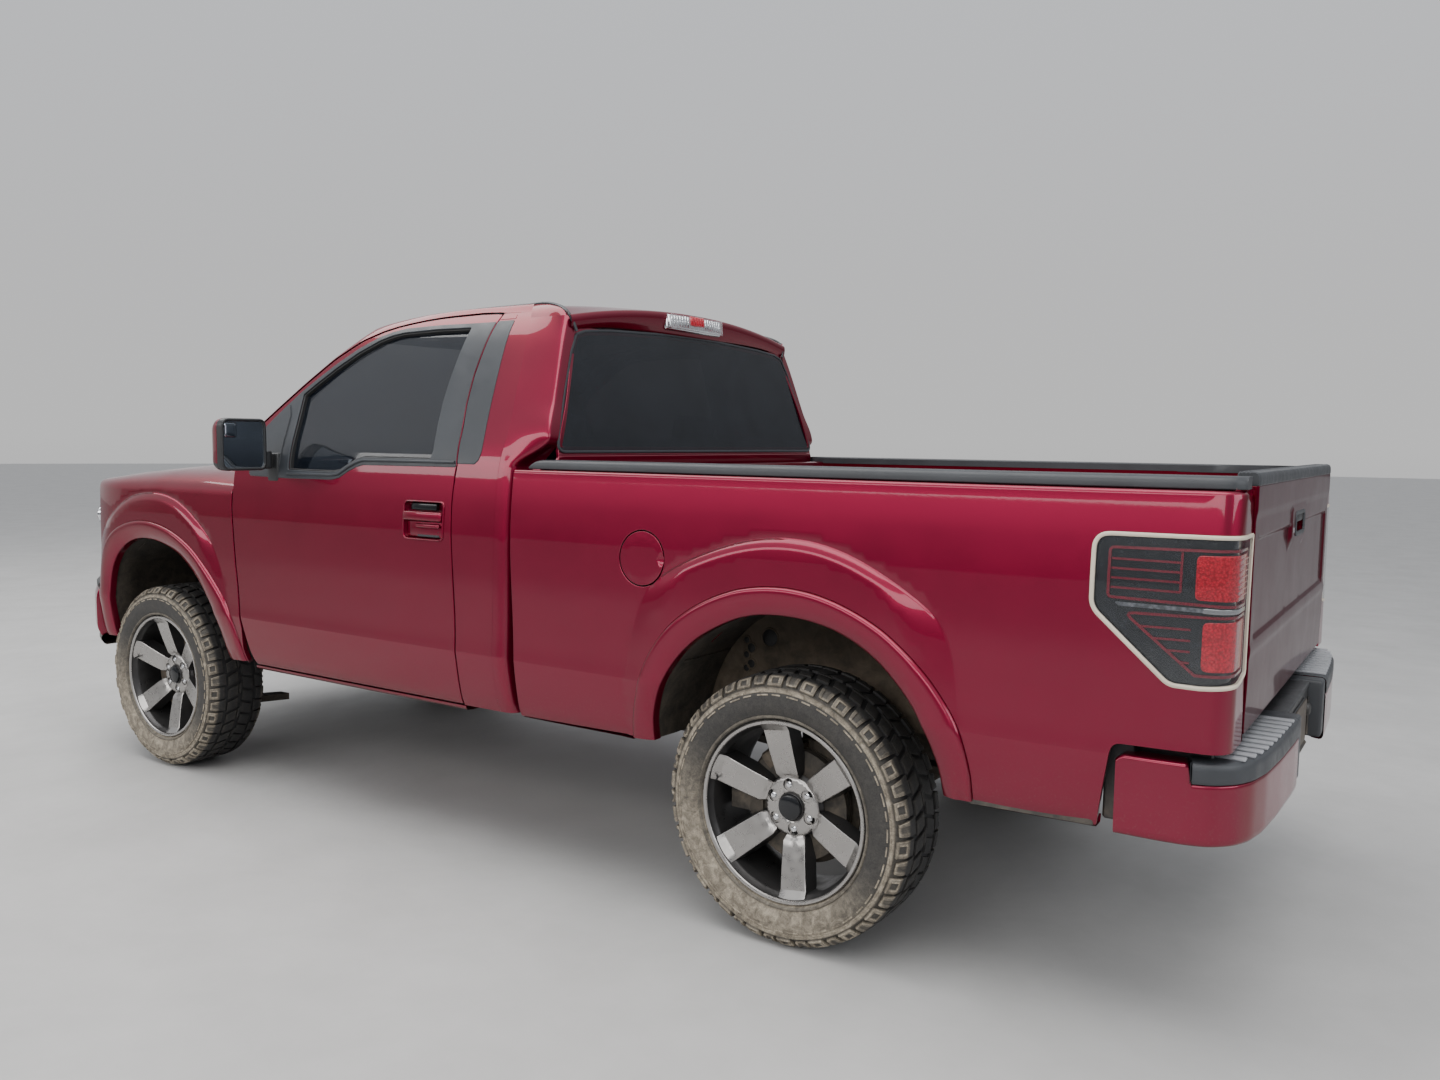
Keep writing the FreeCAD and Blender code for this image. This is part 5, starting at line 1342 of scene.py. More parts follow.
def lug(th0, th1, s0, s1, height, hole=None, skew=0.0, rows=7, y_sign=1, notch=0.0, flare_w=0.0, lift=1.0):
    """Raised block on the tyre, its top as a height field, with an optional sunk rectangle."""
    ss = np.linspace(s0, s1, rows)
    if hole:
        ha, hb = hole
        ss = np.unique(np.concatenate([ss, [ha - 0.8, ha + 0.8, hb - 0.8, hb + 0.8]]))
    uu = np.array([0, 0.05, 0.24, 0.29, 0.71, 0.76, 0.95, 1.0])
    V = np.zeros((len(ss), len(uu), 3))
    painted_light_factor = np.zeros((len(ss), len(uu)))
    for i, s in enumerate(ss):
        f = (s - s0) / (s1 - s0)
        w = flare_w * (f - 0.5)
        a = th0 + skew * f - w
        b = th1 + skew * f + w
        H = height(s) if callable(height) else height
        for j, u in enumerate(uu):
            h = H
            if u in (0, 1.0) or i in (0, len(ss) - 1):
                h = H - 1.1
            if hole and hole[0] < s < hole[1] and 0.26 < u < 0.74:
                h = H - 4.2
            if notch and f > 0.45 and 0.26 < u < 0.74:
                h = H - notch
            V[i, j] = tread_point(a + (b - a) * u, s, h)
            inner_hole = hole and hole[0] < s < hole[1] and 0.26 < u < 0.74
            lip = hole and hole[0] - 1.0 < s < hole[1] + 1.0 and 0.2 < u < 0.8
            # dust raised on the block's edges and lip as a painted highlight, lowered in the sunk hole and low spots as
            # painted shade
            painted_light_factor[i, j] = 1.7 if (u in (0, 1.0) or i in (0, len(ss) - 1)) else (0.15 if inner_hole else (1.5 if lip else (0.25 if h < H - 2 else 0.55)))
    rim_top = np.concatenate([V[0], V[1:, -1], V[-1, ::-1][1:], V[::-1, 0][1:-1]])
    # same loop pushed down into the carcass
    loop_s = []
    for i, s in enumerate(ss):
        f = (s - s0) / (s1 - s0)
        w = flare_w * (f - 0.5)
        loop_s.append((th0 + skew * f - w, th1 + skew * f + w, s))
    low = [tread_point(loop_s[0][0] + (loop_s[0][1] - loop_s[0][0]) * u, loop_s[0][2], -1.5) for u in uu]
    low += [tread_point(b, s, -1.5) for a, b, s in loop_s[1:]]
    low += [tread_point(loop_s[-1][0] + (loop_s[-1][1] - loop_s[-1][0]) * u, loop_s[-1][2], -1.5) for u in uu[::-1][1:]]
    low += [tread_point(a, s, -1.5) for a, b, s in loop_s[::-1][1:-1]]
    low = np.array(low)
    if y_sign < 0:
        V = V * [1, -1, 1]
        rim_top = rim_top * [1, -1, 1]
        low = low * [1, -1, 1]
    f = grid_faces(len(ss), len(uu))
    if y_sign < 0:
        f = [q[::-1] for q in f]
    P = V.reshape(-1, 3)
    tyre.add(P, [q[::-1] for q in f], "tyre", None, np.clip(dust_at(P) * painted_light_factor.ravel(), 0, 1), False)
    m = len(low)
    vs = np.concatenate([rim_top, low])
    fs = [(i, (i + 1) % m, m + (i + 1) % m, m + i) for i in range(m)]
    if y_sign < 0:
        fs = [q[::-1] for q in fs]
    # block walls: full dust at the top edge, little at the foot, painted shade in the gaps between blocks
    mk = np.concatenate([np.clip(dust_at(rim_top) * 1.1, 0, 1), dust_at(low) * 0.12])
    tyre.add(vs, fs, "tyre", None, mk, False)


def s_of(r=None, y=None):
    """Distance along the profile of a given radius on the sidewall or a given y on the tread."""
    if y is not None:
        return float(np.interp(y, _hs[:7, 1], _hl[:7]))
    return float(np.interp(-r, -_hs[4:, 0], _hl[4:]))


for k in range(PITCH):
    a0 = k * step_a
    for sg in (1, -1):
        off = 0.0 if sg > 0 else step_a * 0.5
        g = a0 + off
        if k % 2 == 0:
            lug(g + 0.010, g + step_a - 0.012, s_of(y=76), s_of(r=369.5), lambda s: 8.6 + 3.4 * float(sm(86, 110, s)) - max(s - 104, 0) * 0.09, (s_of(r=387), s_of(r=375)),
                skew=0.016, rows=8, y_sign=sg)
        else:
            lug(g + 0.016, g + step_a - 0.022, s_of(y=68), s_of(r=373.5), lambda s: 8.6 + 3.0 * float(sm(86, 110, s)) - max(s - 104, 0) * 0.10, None,
                skew=0.016, rows=8, y_sign=sg, notch=3.4, flare_w=-0.02)
    # middle blocks
    j = 0.35 * (k % 3 - 1)
    lug(a0 + 0.012, a0 + step_a * 0.80, 12 + 2 * j, 58 + 3 * j, 8.6, None, skew=0.040, rows=4)
    lug(a0 + step_a * 0.5, a0 + step_a * 1.30, 8 - 2 * j, 56 - 3 * j, 8.6, None, skew=0.040, rows=4, y_sign=-1)
    if k % 2 == 0:
        lug(a0 - 0.02, a0 + step_a * 0.62, -7, 6, 8.4, None, skew=0.03, rows=3)
# dashed rings and the ridge on the sidewall
for sg in (1, -1):
    for r0, r1, ph in ((354.5, 360.0, 0.0), (345.5, 350.5, 0.5)):
        for k in range(PITCH):
            a = (k + ph + (0 if sg > 0 else 0.25)) * step_a
            b = a + step_a * (0.74 if k % 2 else 0.56)
            s1, s0 = s_of(r=r0), s_of(r=r1)
            T = np.array([[tread_point(th, s, h) for s, h in ((s0, -0.5), (s0 + 0.7, 2.2), (s1 - 0.7, 2.2), (s1, -0.5))] for th in np.linspace(a, b, 4)])
            E0 = T[:1].copy()
            E1 = T[-1:].copy()
            if sg < 0:
                T = T * [1, -1, 1]
            ff = [q[::-1] for q in grid_faces(4, 4)]
            if sg < 0:
                ff = [q[::-1] for q in ff]
            ends = [(0, 3, 2, 1), (12, 13, 14, 15)]
            if sg > 0:
                ends = [q[::-1] for q in ends]
            # ridge tops take most dust and their feet little: painted highlight on the tops, painted shade at the feet
            tyre.add(T.reshape(-1, 3), ff + ends, "tyre", None, np.tile([0.35, 0.95, 0.95, 0.35], 4) * (1 if sg > 0 else 0.5), False)
# flange protector rib near the bead
lathe(tyre, [(287, 125.5), (284.5, 128.6), (280.5, 128.2), (277, 122)], "tyre", 96, "y", mask=0.35, flip=False)
lathe(tyre, [(287, -125.5), (284.5, -128.6), (280.5, -128.2), (277, -122)], "tyre", 96, "y", mask=0.25, flip=True)

rim = M()
# barrel with its bright outer lip
lathe(rim, [(272.5, 112), (271.5, 119.5), (268.5, 122), (264, 122), (260.5, 120.5), (258.5, 117)], "wheel_face", 96, "y", flip=False)
lathe(rim, [(258.5, 117), (256.5, 106), (250, 97), (247.5, 90), (246.5, 40), (243, 0), (244, -60), (252, -100), (262, -116), (271, -118)], "wheel_dark", 96, "y", flip=False)
lathe(rim, [(271, -118), (270, -106), (255, -96), (252, -30), (254, 60), (262, 100), (272.5, 112)], "wheel_dark", 72, "y", flip=False)
# hub plate behind the spokes
lathe(rim, [(0.5, 44), (52, 44), (86, 40), (96, 30), (92, -6), (70, -10)], "wheel_dark", 60, "y", flip=True)
lathe(rim, [(0.5, 72.5), (16, 72), (29, 70.2), (35.5, 67.5), (37.5, 63), (37.5, 44)], "gloss_black", 48, "y", flip=True)
lathe(rim, [(37.5, 56), (38.5, 59.5), (40.5, 60), (42, 58), (42.5, 50)], "wheel_dark", 48, "y", flip=True)
for k in range(6):
    th = math.radians(-98 + 60 * k)
    rad, tan = np.array([math.cos(th), 0, math.sin(th)]), np.array([-math.sin(th), 0, math.cos(th)])

    def sp(r, t, y):
        return rad * r + tan * t + np.array([0, y, 0])
    # machined face: from the lug pocket out to the lip, with a notched root
    rr = [85, 93, 100, 120, 160, 200, 236, 252, 259.5]
    face, sidew = [], []
    for r in rr:
        hw = 36.0 + (r - 80) * 0.044
        y = 58 + (r - 80) * 0.245 - ((r - 170) / 90.0) ** 2 * 3
        if r >= 236:
            y = 58 + (236 - 80) * 0.245 - 1.6 + (r - 236) * 0.85
        if r == 85:
            cols = [(-31, y - 12), (-28, y - 6), (-15, y - 5), (0, y - 5), (15, y - 5), (28, y - 6), (31, y - 12)]
        elif r == 93:
            cols = [(-34, y - 6), (-31, y - 2), (-16, y - 5), (0, y - 7), (16, y - 5), (31, y - 2), (34, y - 6)]
        elif r == 100:
            cols = [(-hw, y - 1.4), (-hw + 2, y), (-15, y), (0, y - 1.5), (15, y), (hw - 2, y), (hw, y - 1.4)]
        else:
            cols = [(-hw, y - 1.4), (-hw + 2, y), (-hw * 0.5, y), (0, y), (hw * 0.5, y), (hw - 2, y), (hw, y - 1.4)]
        face.append([sp(r, t, yy) for t, yy in cols])
        sidew.append((hw, y))
    F = np.array(face)
    sheet(rim, F, "wheel_face", flip=True, normals=False)
    # side walls sweep inwards and widen to the back
    for sg in (1, -1):
        G = []
        for (r, q) in zip(rr, range(len(rr))):
            e = F[q][-1] if sg > 0 else F[q][0]
            hw = sidew[q][0]
            depth = 44 + (r - 80) * 0.06
            wide = 5 + 7 * (1 - abs(r - 170) / 100.0)
            a = e
            b = e + tan * sg * wide * 0.35 - np.array([0, depth * 0.5, 0])
            c = e + tan * sg * wide * 0.9 - np.array([0, depth, 0])
            d = e + tan * sg * (wide * 0.2 - hw * 0.6) - np.array([0, depth + 5, 0])
            G.append([a, b, c, d])
        sheet(rim, np.array(G), "wheel_dark", flip=(sg < 0), normals=False)
    # web between the roots
    th2 = th + math.radians(30)
    r2, t2 = np.array([math.cos(th2), 0, math.sin(th2)]), np.array([-math.sin(th2), 0, math.cos(th2)])
    web = [[r2 * r + t2 * t + np.array([0, y, 0]) for t in (-30, -12, 0, 12, 30)] for r, y in ((40, 52), (60, 53), (74, 49), (84, 38), (87, 8))]
    sheet(rim, np.array(web), "wheel_face", flip=True, normals=False)
    # lug pocket and nut
    c = rad * 66
    pocket = [(18.6, 55.5), (18.0, 52), (17.0, 44), (16.0, 34), (8, 34), (1, 34)]
    G = np.zeros((24, len(pocket), 3))
    for i, a in enumerate(np.linspace(0, 2 * math.pi, 24, endpoint=False)):
        for j, (r, y) in enumerate(pocket):
            G[i, j] = c + np.array([math.cos(a) * r, y, math.sin(a) * r])
    f = grid_faces(24, len(pocket), close_u=True)
    rim.add(G.reshape(-1, 3), f, "wheel_dark")
    rings = []
    for y, r in ((34, 10.4), (50, 10.4), (55, 9.4), (57.5, 7.0), (58.6, 3.5)):
        rings.append([c + np.array([math.cos(a) * r, y, math.sin(a) * r]) for a in np.linspace(0, 2 * math.pi, 12, endpoint=False)])
    loft(rim, rings, "chrome", True, True, flip=True)
# ring joining the roots round the hub, outer face
circle_ = lambda r, n_, cx=0.0, cz=0.0: np.array([(cx + r * math.cos(a), cz + r * math.sin(a)) for a in np.linspace(0, 2 * math.pi, n_, endpoint=False)])
HUB_R, HUB_Y = [0, 40, 48, 64, 80, 88, 92], [50, 53, 56.6, 57.2, 56.0, 52, 46]
hub_lift = lambda u, w: np.stack(np.broadcast_arrays(np.asarray(u, float), np.interp(np.hypot(u, w), HUB_R, HUB_Y), np.asarray(w, float)), -1)
nuts_ = [circle_(18.5, 28, 66 * math.cos(math.radians(-98 + 60 * k)), 66 * math.sin(math.radians(-98 + 60 * k))) for k in range(6)]
patch(rim, circle_(91.5, 72), nuts_ + [circle_(41.5, 40)], hub_lift, -1, "wheel_face", 7, gap=0.0, roll=0.8, hem=7, hole_gap=0.0)
# valve stem
tube(rim, [(238, 88, 60), (232, 100, 59), (226, 114, 58)], 3.6, "rubber", 8)

# brake behind the spokes: disc, hat, caliper
brake = M()
lathe(brake, [(52, -24), (186, -24), (190, -28), (186, -31), (52, -31)], "chassis", 60, "y", flip=True)
lathe(brake, [(52, -31), (186, -31)], "chassis", 60, "y", flip=False)
lathe(brake, [(60, 12), (164, 12), (166, 8), (166, -14), (164, -18), (60, -18)], "brake_disc", 72, "y", flip=True)
lathe(brake, [(0.5, 30), (66, 30), (72, 26), (74, 12)], "steel", 48, "y", flip=True)


def caliper(mesh, a0, a1):
    rings = []
    for a in np.linspace(a0, a1, 9):
        sec = [(120, 22), (136, 28), (158, 30), (176, 26), (183, 14), (183, -22), (176, -34), (130, -34), (120, -24)]
        rings.append([(r * math.cos(a), y, r * math.sin(a)) for r, y in sec])
    loft(mesh, rings, "steel", True, True, flip=True)


MATS["brake_disc"] = surface_mat("brake_disc_finish", (0.33, 0.31, 0.29), 0.34, metal=0.9, grain=(240, 0.2), vary=0.2)

wheels = (("front_left", 1757.5, 840, 1, "wheel_front_left", "knuckle_left"), ("front_right", 1757.5, -840, -1, "wheel_front_right", "knuckle_right"),
          ("rear_left", -1442.5, 840, 1, "wheel_rear_left", "truck"), ("rear_right", -1442.5, -840, -1, "wheel_rear_right", "truck"))
tyre_mirror, rim_mirror = tyre.mirror(), rim.mirror()
for name, x, y, sg, body, carrier in wheels:
    t = tyre if sg > 0 else tyre_mirror
    r = rim if sg > 0 else rim_mirror
    piece("tyre_tread_" + name, t.shift((x, y, 405)), body, ("tyre_" + name,), origin=(x, y, 405), angle=32)
    piece("wheel_spokes_" + name, r.shift((x, y, 405)), body, ("rim_" + name,), origin=(x, y, 405), angle=28)
    b = M()
    b.join(brake.mirror() if sg < 0 else brake)
    cal = M()
    a = math.radians(70 if name.startswith("rear") else 115)
    caliper(cal, a - 0.42, a + 0.42)
    if sg < 0:
        cal = cal.mirror()
    piece("brake_disc_" + name, b.shift((x, y, 405)), body, (), origin=(x, y, 405))
    piece("brake_caliper_" + name, cal.shift((x, y, 405)), carrier, ())


# ------------------------------------------------------------------ roof
_R = spline([(-440, 1972), (-350, 1981.5), (-200, 1987.5), (0, 1989), (200, 1983.5), (400, 1965), (550, 1938), (640, 1914)])
_ye = spline([(-470, 730), (-426, 722), (-380, 703), (-340, 690), (-300, 679), (-256, 670), (-222, 666), (-200, 663.5), (-100, 660), (0, 658.5), (179, 657.5),
              (333, 657), (440, 655), (520, 652), (590, 647), (640, 640), (700, 632)])


def roof_z(x, y):
    c = 33 + 19 * sm(-300, -440, x)
    return _R(x) - c * (np.abs(y) / 650.0) ** 2.2


def roof_front(y):
    k = 1 - (y / 640.0) ** 2
    return 640 + 55 * k - 5, 1898 + 12 * k + 3.5


rf = M()
NV = 61
vv = np.linspace(-1, 1, NV)
rows = []
for t in np.linspace(0, 1, 46):
    row = []
    for v in vv:
        xr = -441 + 8 * abs(v) ** 3
        xf, zf = roof_front(v * 636)
        x = xr + (xf - xr) * t
        y = v * float(_ye(x))
        z = float(roof_z(x, y))
        if x > 330:
            z0 = float(roof_z(330.0, v * 657))
            m0 = (float(roof_z(331.0, v * 657)) - float(roof_z(329.0, v * 657))) / 2
            L = xf - 330
            k = (zf - z0 - m0 * L) / (L * L)
            z = z0 + m0 * (x - 330) + k * (x - 330) ** 2
        row.append((x, y, z))
    rows.append(row)
top = np.array(rows)
edge = top[0]
skirt = []
for dx, dz in ((-4.5, -1.6), (-8, -5.5), (-10, -12), (-10.5, -22), (-8.5, -40)):
    skirt.append(edge + np.array([dx, 0, dz]))
bot = np.stack([np.full(NV, -433.0) - 1.0 * (1 - np.abs(vv)), vv * 699, np.full(NV, 1883.0) - 30 * np.abs(vv) ** 6], 1)
for s in (0.45, 0.8, 1.0):
    skirt.append(skirt[4] * (1 - s) + bot * s)
skirt.append(bot + np.array([22, 0, -2]))
G = np.concatenate([np.array(skirt)[::-1], top])
sheet(rf, G, "paint", flip=False)
# front lip over the windscreen and underside lining
fl = np.array([top[-1], top[-1] + [3, 0, -2.5], top[-1] + [3, 0, -8], top[-1] + [-30, 0, -10]])
sheet(rf, fl, "paint", flip=False)
und = top[::3, ::3] - np.array([0, 0, 24])
und[:, :, 1] *= 0.985
sheet(rf, und, "headliner", flip=True)
MATS["headliner"] = cloth_mat("headliner_finish", (0.30, 0.30, 0.30))
piece("roof_skin", rf, "truck", ("roof_panel",))

# ditch mouldings, from the windscreen back and down to the rear window
dm = M()
path = smoothed([(585, 651, 1909), (520, 653.5, 1920), (440, 656, 1933), (333, 658, 1945.5), (179, 659, 1955), (0, 660, 1959.5), (-100, 661, 1960.5), (-200, 665, 1961),
                 (-256, 671, 1962.5), (-300, 680, 1959.5), (-340, 691, 1951), (-380, 704, 1940), (-410, 717, 1927), (-430, 722, 1912), (-439, 716, 1894),
                 (-443, 706, 1868), (-445, 699, 1852)], 14, 14)
nr = np.array([(0, 0.35, 0.94)] * len(path))
back_k = sm(-395, -440, path[:, 0])[:, None]
nr = nr * (1 - back_k) + np.array([-0.93, 0.3, 0.2]) * back_k
bar_sweep(dm, path, nr, [(-5.5, -3), (-5, 1.8), (-2, 3.2), (2, 3.2), (5, 1.8), (5.5, -3)], "trim")
pair("roof_moulding", dm, ("truck", "truck"))

# ------------------------------------------------------------------ back of the cab and its window
_xb = spline([(500, -500), (1395, -500), (1420, -502), (1438, -503.5), (1853, -435.5), (1950, -420)])


def backwall(u, w):
    w = np.asarray(w, float)
    x = _xb(w) - 7 * sm(1428, 1420, w) * sm(1340, 1400, w)
    return np.stack([x, np.asarray(u, float), w], 1)


zz = np.concatenate([np.linspace(560, 1380, 14), np.linspace(1400, 1870, 20)])
hw = np.where(zz < 1380, side_y(np.full_like(zz, -322.0), zz) - 88, np.minimum(_wy(zz), _by(zz) - 4)) + 1.5
half = np.stack([hw, zz], 1)
outline = np.concatenate([half, (half * [-1, 1])[::-1]])
GW = [(866, 1437), (799, 1621), (733, 1779), (694, 1842), (640, 1857), (500, 1869), (173, 1881.5), (0, 1882.5)]
GW = GW + [(-y, z) for y, z in GW[::-1][1:]]
GWr = rounded(GW, [26, 0, 40, 30, 60, 0, 0, 0, 0, 0, 60, 30, 40, 0, 26], 6)
bk = M()
patch(bk, outline, [inset(GWr, 16)[::-1]], backwall, -1, "paint", 60, [np.stack([np.arange(-850, 851, 30), np.full(57, z)], 1) for z in (1418, 1424, 1430)],
      gap=0.0, roll=2.0, hem=10, hole_gap=0.0)
# inner trim of the back wall
tr = np.array([[(-440 + (0 if z < 1420 else (z - 1420) * 0.155), s * (w - 60), z) for s in (-1, 1)] for z, w in ((640, 900), (1000, 900), (1400, 850), (1440, 830))])
sheet(bk, tr, "cabin", flip=True, normals=False)
piece("cab_back_skin", bk, "truck", ("cab_back_panel",))


def pane(h):
    return lambda u, w: np.stack([-505.0 + (np.asarray(w, float) - 1438) * 0.164 - h, np.asarray(u, float), np.asarray(w, float)], 1)


rg = M()
patch(rg, GWr, [], pane(0.5), -1, "glass", 60, (), gap=-1.0, roll=1.2, hem=1.5, back=(4.0, "glass"))
fr = M()
inner_clear = rounded(inset(np.array(GW, float), 46), 46, 6)
patch(fr, GWr, [inner_clear[::-1]], pane(-5.5), -1, "frit", 60, (), gap=1.0, roll=0.4, hem=1, hole_gap=0.0)
rg.join(fr)
loop = dense(GWr if area2(GWr) > 0 else GWr[::-1], 14, True)
P, N, _, _ = frames(pane(0.5), loop, -1)
bar_sweep(rg, P, N, [(-6, -3), (-5, 2.2), (-1, 3.2), (3, 2.2), (4, -3)], "trim", closed=True)

# windscreen with its dark border
nf, nw = 27, 41
fs, ws = np.linspace(0, 1, nf), np.linspace(-1, 1, nw)
fs = np.sort(np.concatenate([fs, [0.05, 0.93]]))
nf = len(fs)
WS = np.zeros((nf, nw, 3))
for i, f in enumerate(fs):
    for j, v in enumerate(ws):
        b0 = np.array([1290 + 130 * (1 - v * v), 860 * v, 1338])
        t0 = np.array([640 + 55 * (1 - v * v), 640 * v, 1898 + 12 * (1 - v * v)])
        WS[i, j] = b0 + (t0 - b0) * f + np.array([18 * 4 * f * (1 - f), 0, 14 * 4 * f * (1 - f)])
ff = grid_faces(nf, nw)
for layer, off, fl in ((0, 0.0, True), (1, -5.0, False)):
    Gs = WS + np.array([off * 0.65, 0, off * 0.75])
    clear, border = [], []
    for q, face in enumerate(ff):
        i, j = divmod(q, nw - 1)
        fm_ = (fs[i] + fs[i + 1]) / 2
        isb = fm_ < 0.05 or fm_ > 0.93 or abs(ws[j] + ws[j + 1]) / 2 > 0.935
        (border if isb else clear).append(face[::-1] if not fl else face)
    base = Gs.reshape(-1, 3)
    du, dv = np.gradient(Gs, axis=0), np.gradient(Gs, axis=1)
    Nn = np.cross(du, dv).reshape(-1, 3)
    Nn /= np.linalg.norm(Nn, axis=1, keepdims=True)
    if not fl:
        Nn = -Nn
    rg.add(base, clear, "screen", Nn)
    rg.add(base, border, "frit", Nn)
# black seal round the windscreen
per = np.concatenate([WS[0, :], WS[1:, -1], WS[-1, ::-1][1:], WS[::-1, 0][1:-1]])
nrm = np.concatenate([Nn.reshape(nf, nw, 3)[0, :], Nn.reshape(nf, nw, 3)[1:, -1], Nn.reshape(nf, nw, 3)[-1, ::-1][1:], Nn.reshape(nf, nw, 3)[::-1, 0][1:-1]]) * -1
bar_sweep(rg, per, nrm, [(-7, -6), (-6, 2), (0, 3), (6, 2), (7, -6)], "rubber", closed=True)
piece("cab_windows", rg, "truck", ("cab_glass",))

# high stop lamp: bright flanged housing, clear outer lenses and a red centre
sl = M()
tilt = lambda v: np.stack([v[:, 0] + (v[:, 2] - 1940) * 0.06 + 6 * (v[:, 1] / 190) ** 2, v[:, 1], v[:, 2] - 6 * (v[:, 1] / 190.0) ** 2], 1)
rbox(sl, (-458, -189, 1906), (-436, 189, 1971), "chrome", 9, 3, fn=tilt)
rbox(sl, (-466, -178, 1913), (-452, 178, 1965), "chrome", 7, 3, fn=tilt)
for s in (-1, 1):
    for k in range(7):
        y0 = s * (54 + k * 17)
        rbox(sl, (-469, min(y0, y0 + s * 12), 1918), (-460, max(y0, y0 + s * 12), 1960), "chrome", 3, 1, fn=lambda v, k=k: tilt(v) + np.array([0, 0, (k % 2) * 2 - 1]))
rbox(sl, (-471, -46, 1926), (-458, 46, 1964), "lamp_red", 5, 2, fn=tilt)
for k in range(5):
    rbox(sl, (-472.5, -40 + k * 17, 1930), (-470, -30 + k * 17, 1960), "lamp_red", 1.5, 1, fn=tilt)
rbox(sl, (-472.8, -180, 1911), (-471, 180, 1967), "lens", 1, 1, fn=tilt)
piece("stop_lamp", sl, "truck", ())


# ------------------------------------------------------------------ bedside with wrapped rear corner, lamp and caps
U0, RC = -2570.0, 62.0
W1 = 1364.0


def bed(u, w, h=0.0):
    """Bedside skin: rolls inwards under the rail cap past W1 and wraps round the rear corner past U0."""
    u, w = np.asarray(u, float), np.asarray(w, float)
    x = np.maximum(u, U0)
    wz = np.minimum(w, W1)
    y = side_y(x, wz)
    b = np.clip((U0 - u) / RC, 0, math.pi / 2)
    rest = np.maximum(U0 - u - RC * math.pi / 2, 0)
    px = x - RC * np.sin(b)
    py = y - RC * (1 - np.cos(b)) - rest
    a = np.clip((w - W1) / 12.0, 0, math.radians(88))
    d = 12 * (1 - np.cos(a)) + np.maximum(w - W1 - 12 * math.radians(88), 0)
    z = wz + 12 * np.sin(a)
    nx, ny = -np.sin(b), np.cos(b)
    off = h - d
    return np.stack([px + nx * off, py + ny * off, z], 1)


def bed_at(h):
    return lambda u, w: bed(u, w, h)


u_of_y = lambda y, w: U0 - RC * math.pi / 2 - (float(side_y(U0, w)) - RC - y)
UT = u_of_y(791, 1100)
cr = offset_open(clip_low(REAR_CREST, 541), 12.0)
LAMPU = [(-2306, 1273), (-2306, 1088), (-2492, 915), (-2560, 913), (-2700, 922), (UT + 6, 934), (UT + 1, 1273)]
LAMPR = [44, 62, 52, 20, 60, 18, 8]
outline = [(-418, 541), (-424, 738), (-400, 1098), (-394, 1364), (-394, 1398), (-2520, 1398), (-2560, 1392), (-2600, 1384), (UT - 2, 1380), (UT - 4, 765), (-2620, 765),
           (-2374, 765), (-2336, 541)]
full = np.vstack([np.array(rounded(outline, [0, 0, 0, 0, 0, 0, 0, 0, 4, 10, 0, 26, 8], 4), float), cr])
lampcut = rounded(LAMPU, LAMPR, 9)
cols = [np.stack([np.full(60, U0 - RC * a), np.linspace(770, 1376, 60)], 1) for a in (0.0, 0.25, 0.5, 0.79, 1.05, 1.3, 1.57)]
rollr = [np.stack([np.arange(-2560, -400, 22), np.full(len(np.arange(-2560, -400, 22)), w)], 1) for w in (1364, 1369, 1374, 1379, 1384)]
bs, bsr = M(), M()
patch(bs, full, [fuel, lampcut], bed, -1, "paint", 26, SHELF_EXTRA_R + crease(-2640, -430) + cols + rollr, gap=0.0, roll=2.5, hem=16)
side_skin = bs
bs = M()
patch(bsr, full, [lampcut], bed, -1, "paint", 26, SHELF_EXTRA_R + crease(-2640, -430) + cols + rollr, gap=0.0, roll=2.5, hem=16)
flare(bs, REAR_CREST, REAR_OPEN, 541)
# inner face of the bedside, wheel-house side and front end
arch_z = lambda x: float(np.interp(x, ARCH_UP[:, 0], ARCH_UP[:, 1], left=842, right=842)) + (8 if -1938 < x < -990 else 0)
ARCH_UP = clip_low(REAR_OPEN, 700)
ARCH_UP = ARCH_UP[np.argsort(ARCH_UP[:, 0])]
inn = np.array([[(x, 832, max(842, arch_z(x)) + (1381 - max(842, arch_z(x))) * f) for f in (0, 0.3, 0.7, 1)] for x in np.linspace(-2596, -545, 48)])
sheet(bs, inn, "bedpaint", flip=True, normals=False)
topst = np.array([[(x, 830, 1381.5), (x, 900, 1381.5), (x, float(side_y(x, 1364)) - 26, 1378)] for x in np.linspace(-2610, -500, 12)])
sheet(bs, topst, "paint", flip=False, normals=False)
fend = np.array([[(-430 + (0 if z < 700 else (z - 700) * 0.045), y, z) for z in (560, 738, 1000, 1300, 1378)] for y in (846, 880, 930, 950)])
sheet(bs, fend + np.array([-6, 0, 0]), "paint", flip=False, normals=False)
# rear pillar beside the tailgate, turning into the bed opening
rp = np.array([[(-2633, 792.5, z), (-2628, 787.5, z), (-2600, 787, z), (-2592, 794, z), (-2592, 834, z)] for z in np.linspace(768, 1381, 12)])
sheet(bs, rp, "paint", flip=False, normals=False)
low = np.array([[(x, float(side_y(x, 545)) - 3, 539), (x, float(side_y(x, 545)) - 40, 541), (x, float(side_y(x, 545)) - 46, 560)] for x in np.linspace(-905, -425, 10)])
sheet(bs, low, "paint", flip=False, normals=False)
low = np.array([[(x, float(side_y(x, 545)) - 3, 539), (x, float(side_y(x, 545)) - 40, 541), (x, float(side_y(x, 545)) - 46, 560)] for x in np.linspace(-2335, -2030, 8)])
sheet(bs, low, "paint", flip=False, normals=False)
rbox(bs, (-2329, 930, 541), (-2012, 957, 561), "black", 4, 2, fn=lambda v: np.stack([v[:, 0], side_y(v[:, 0], np.full(len(v), 552.0)) - 950 + v[:, 1] - 6, v[:, 2]], 1))
rbox(bs, (-2420, 770, 560), (-2345, 930, 762), "black", 6, 1)
rbox(bs, (-2590, 770, 700), (-2400, 900, 766), "black", 6, 1)
left_, right_ = M(), M()
for dst, skin in ((left_, side_skin), (right_, bsr)):
    dst.join(skin)
    dst.join(bs)
piece("bedside_skin_left", left_, "truck", ("bedside_left",))
piece("bedside_skin_right", right_.mirror(), "truck", ("bedside_right",))

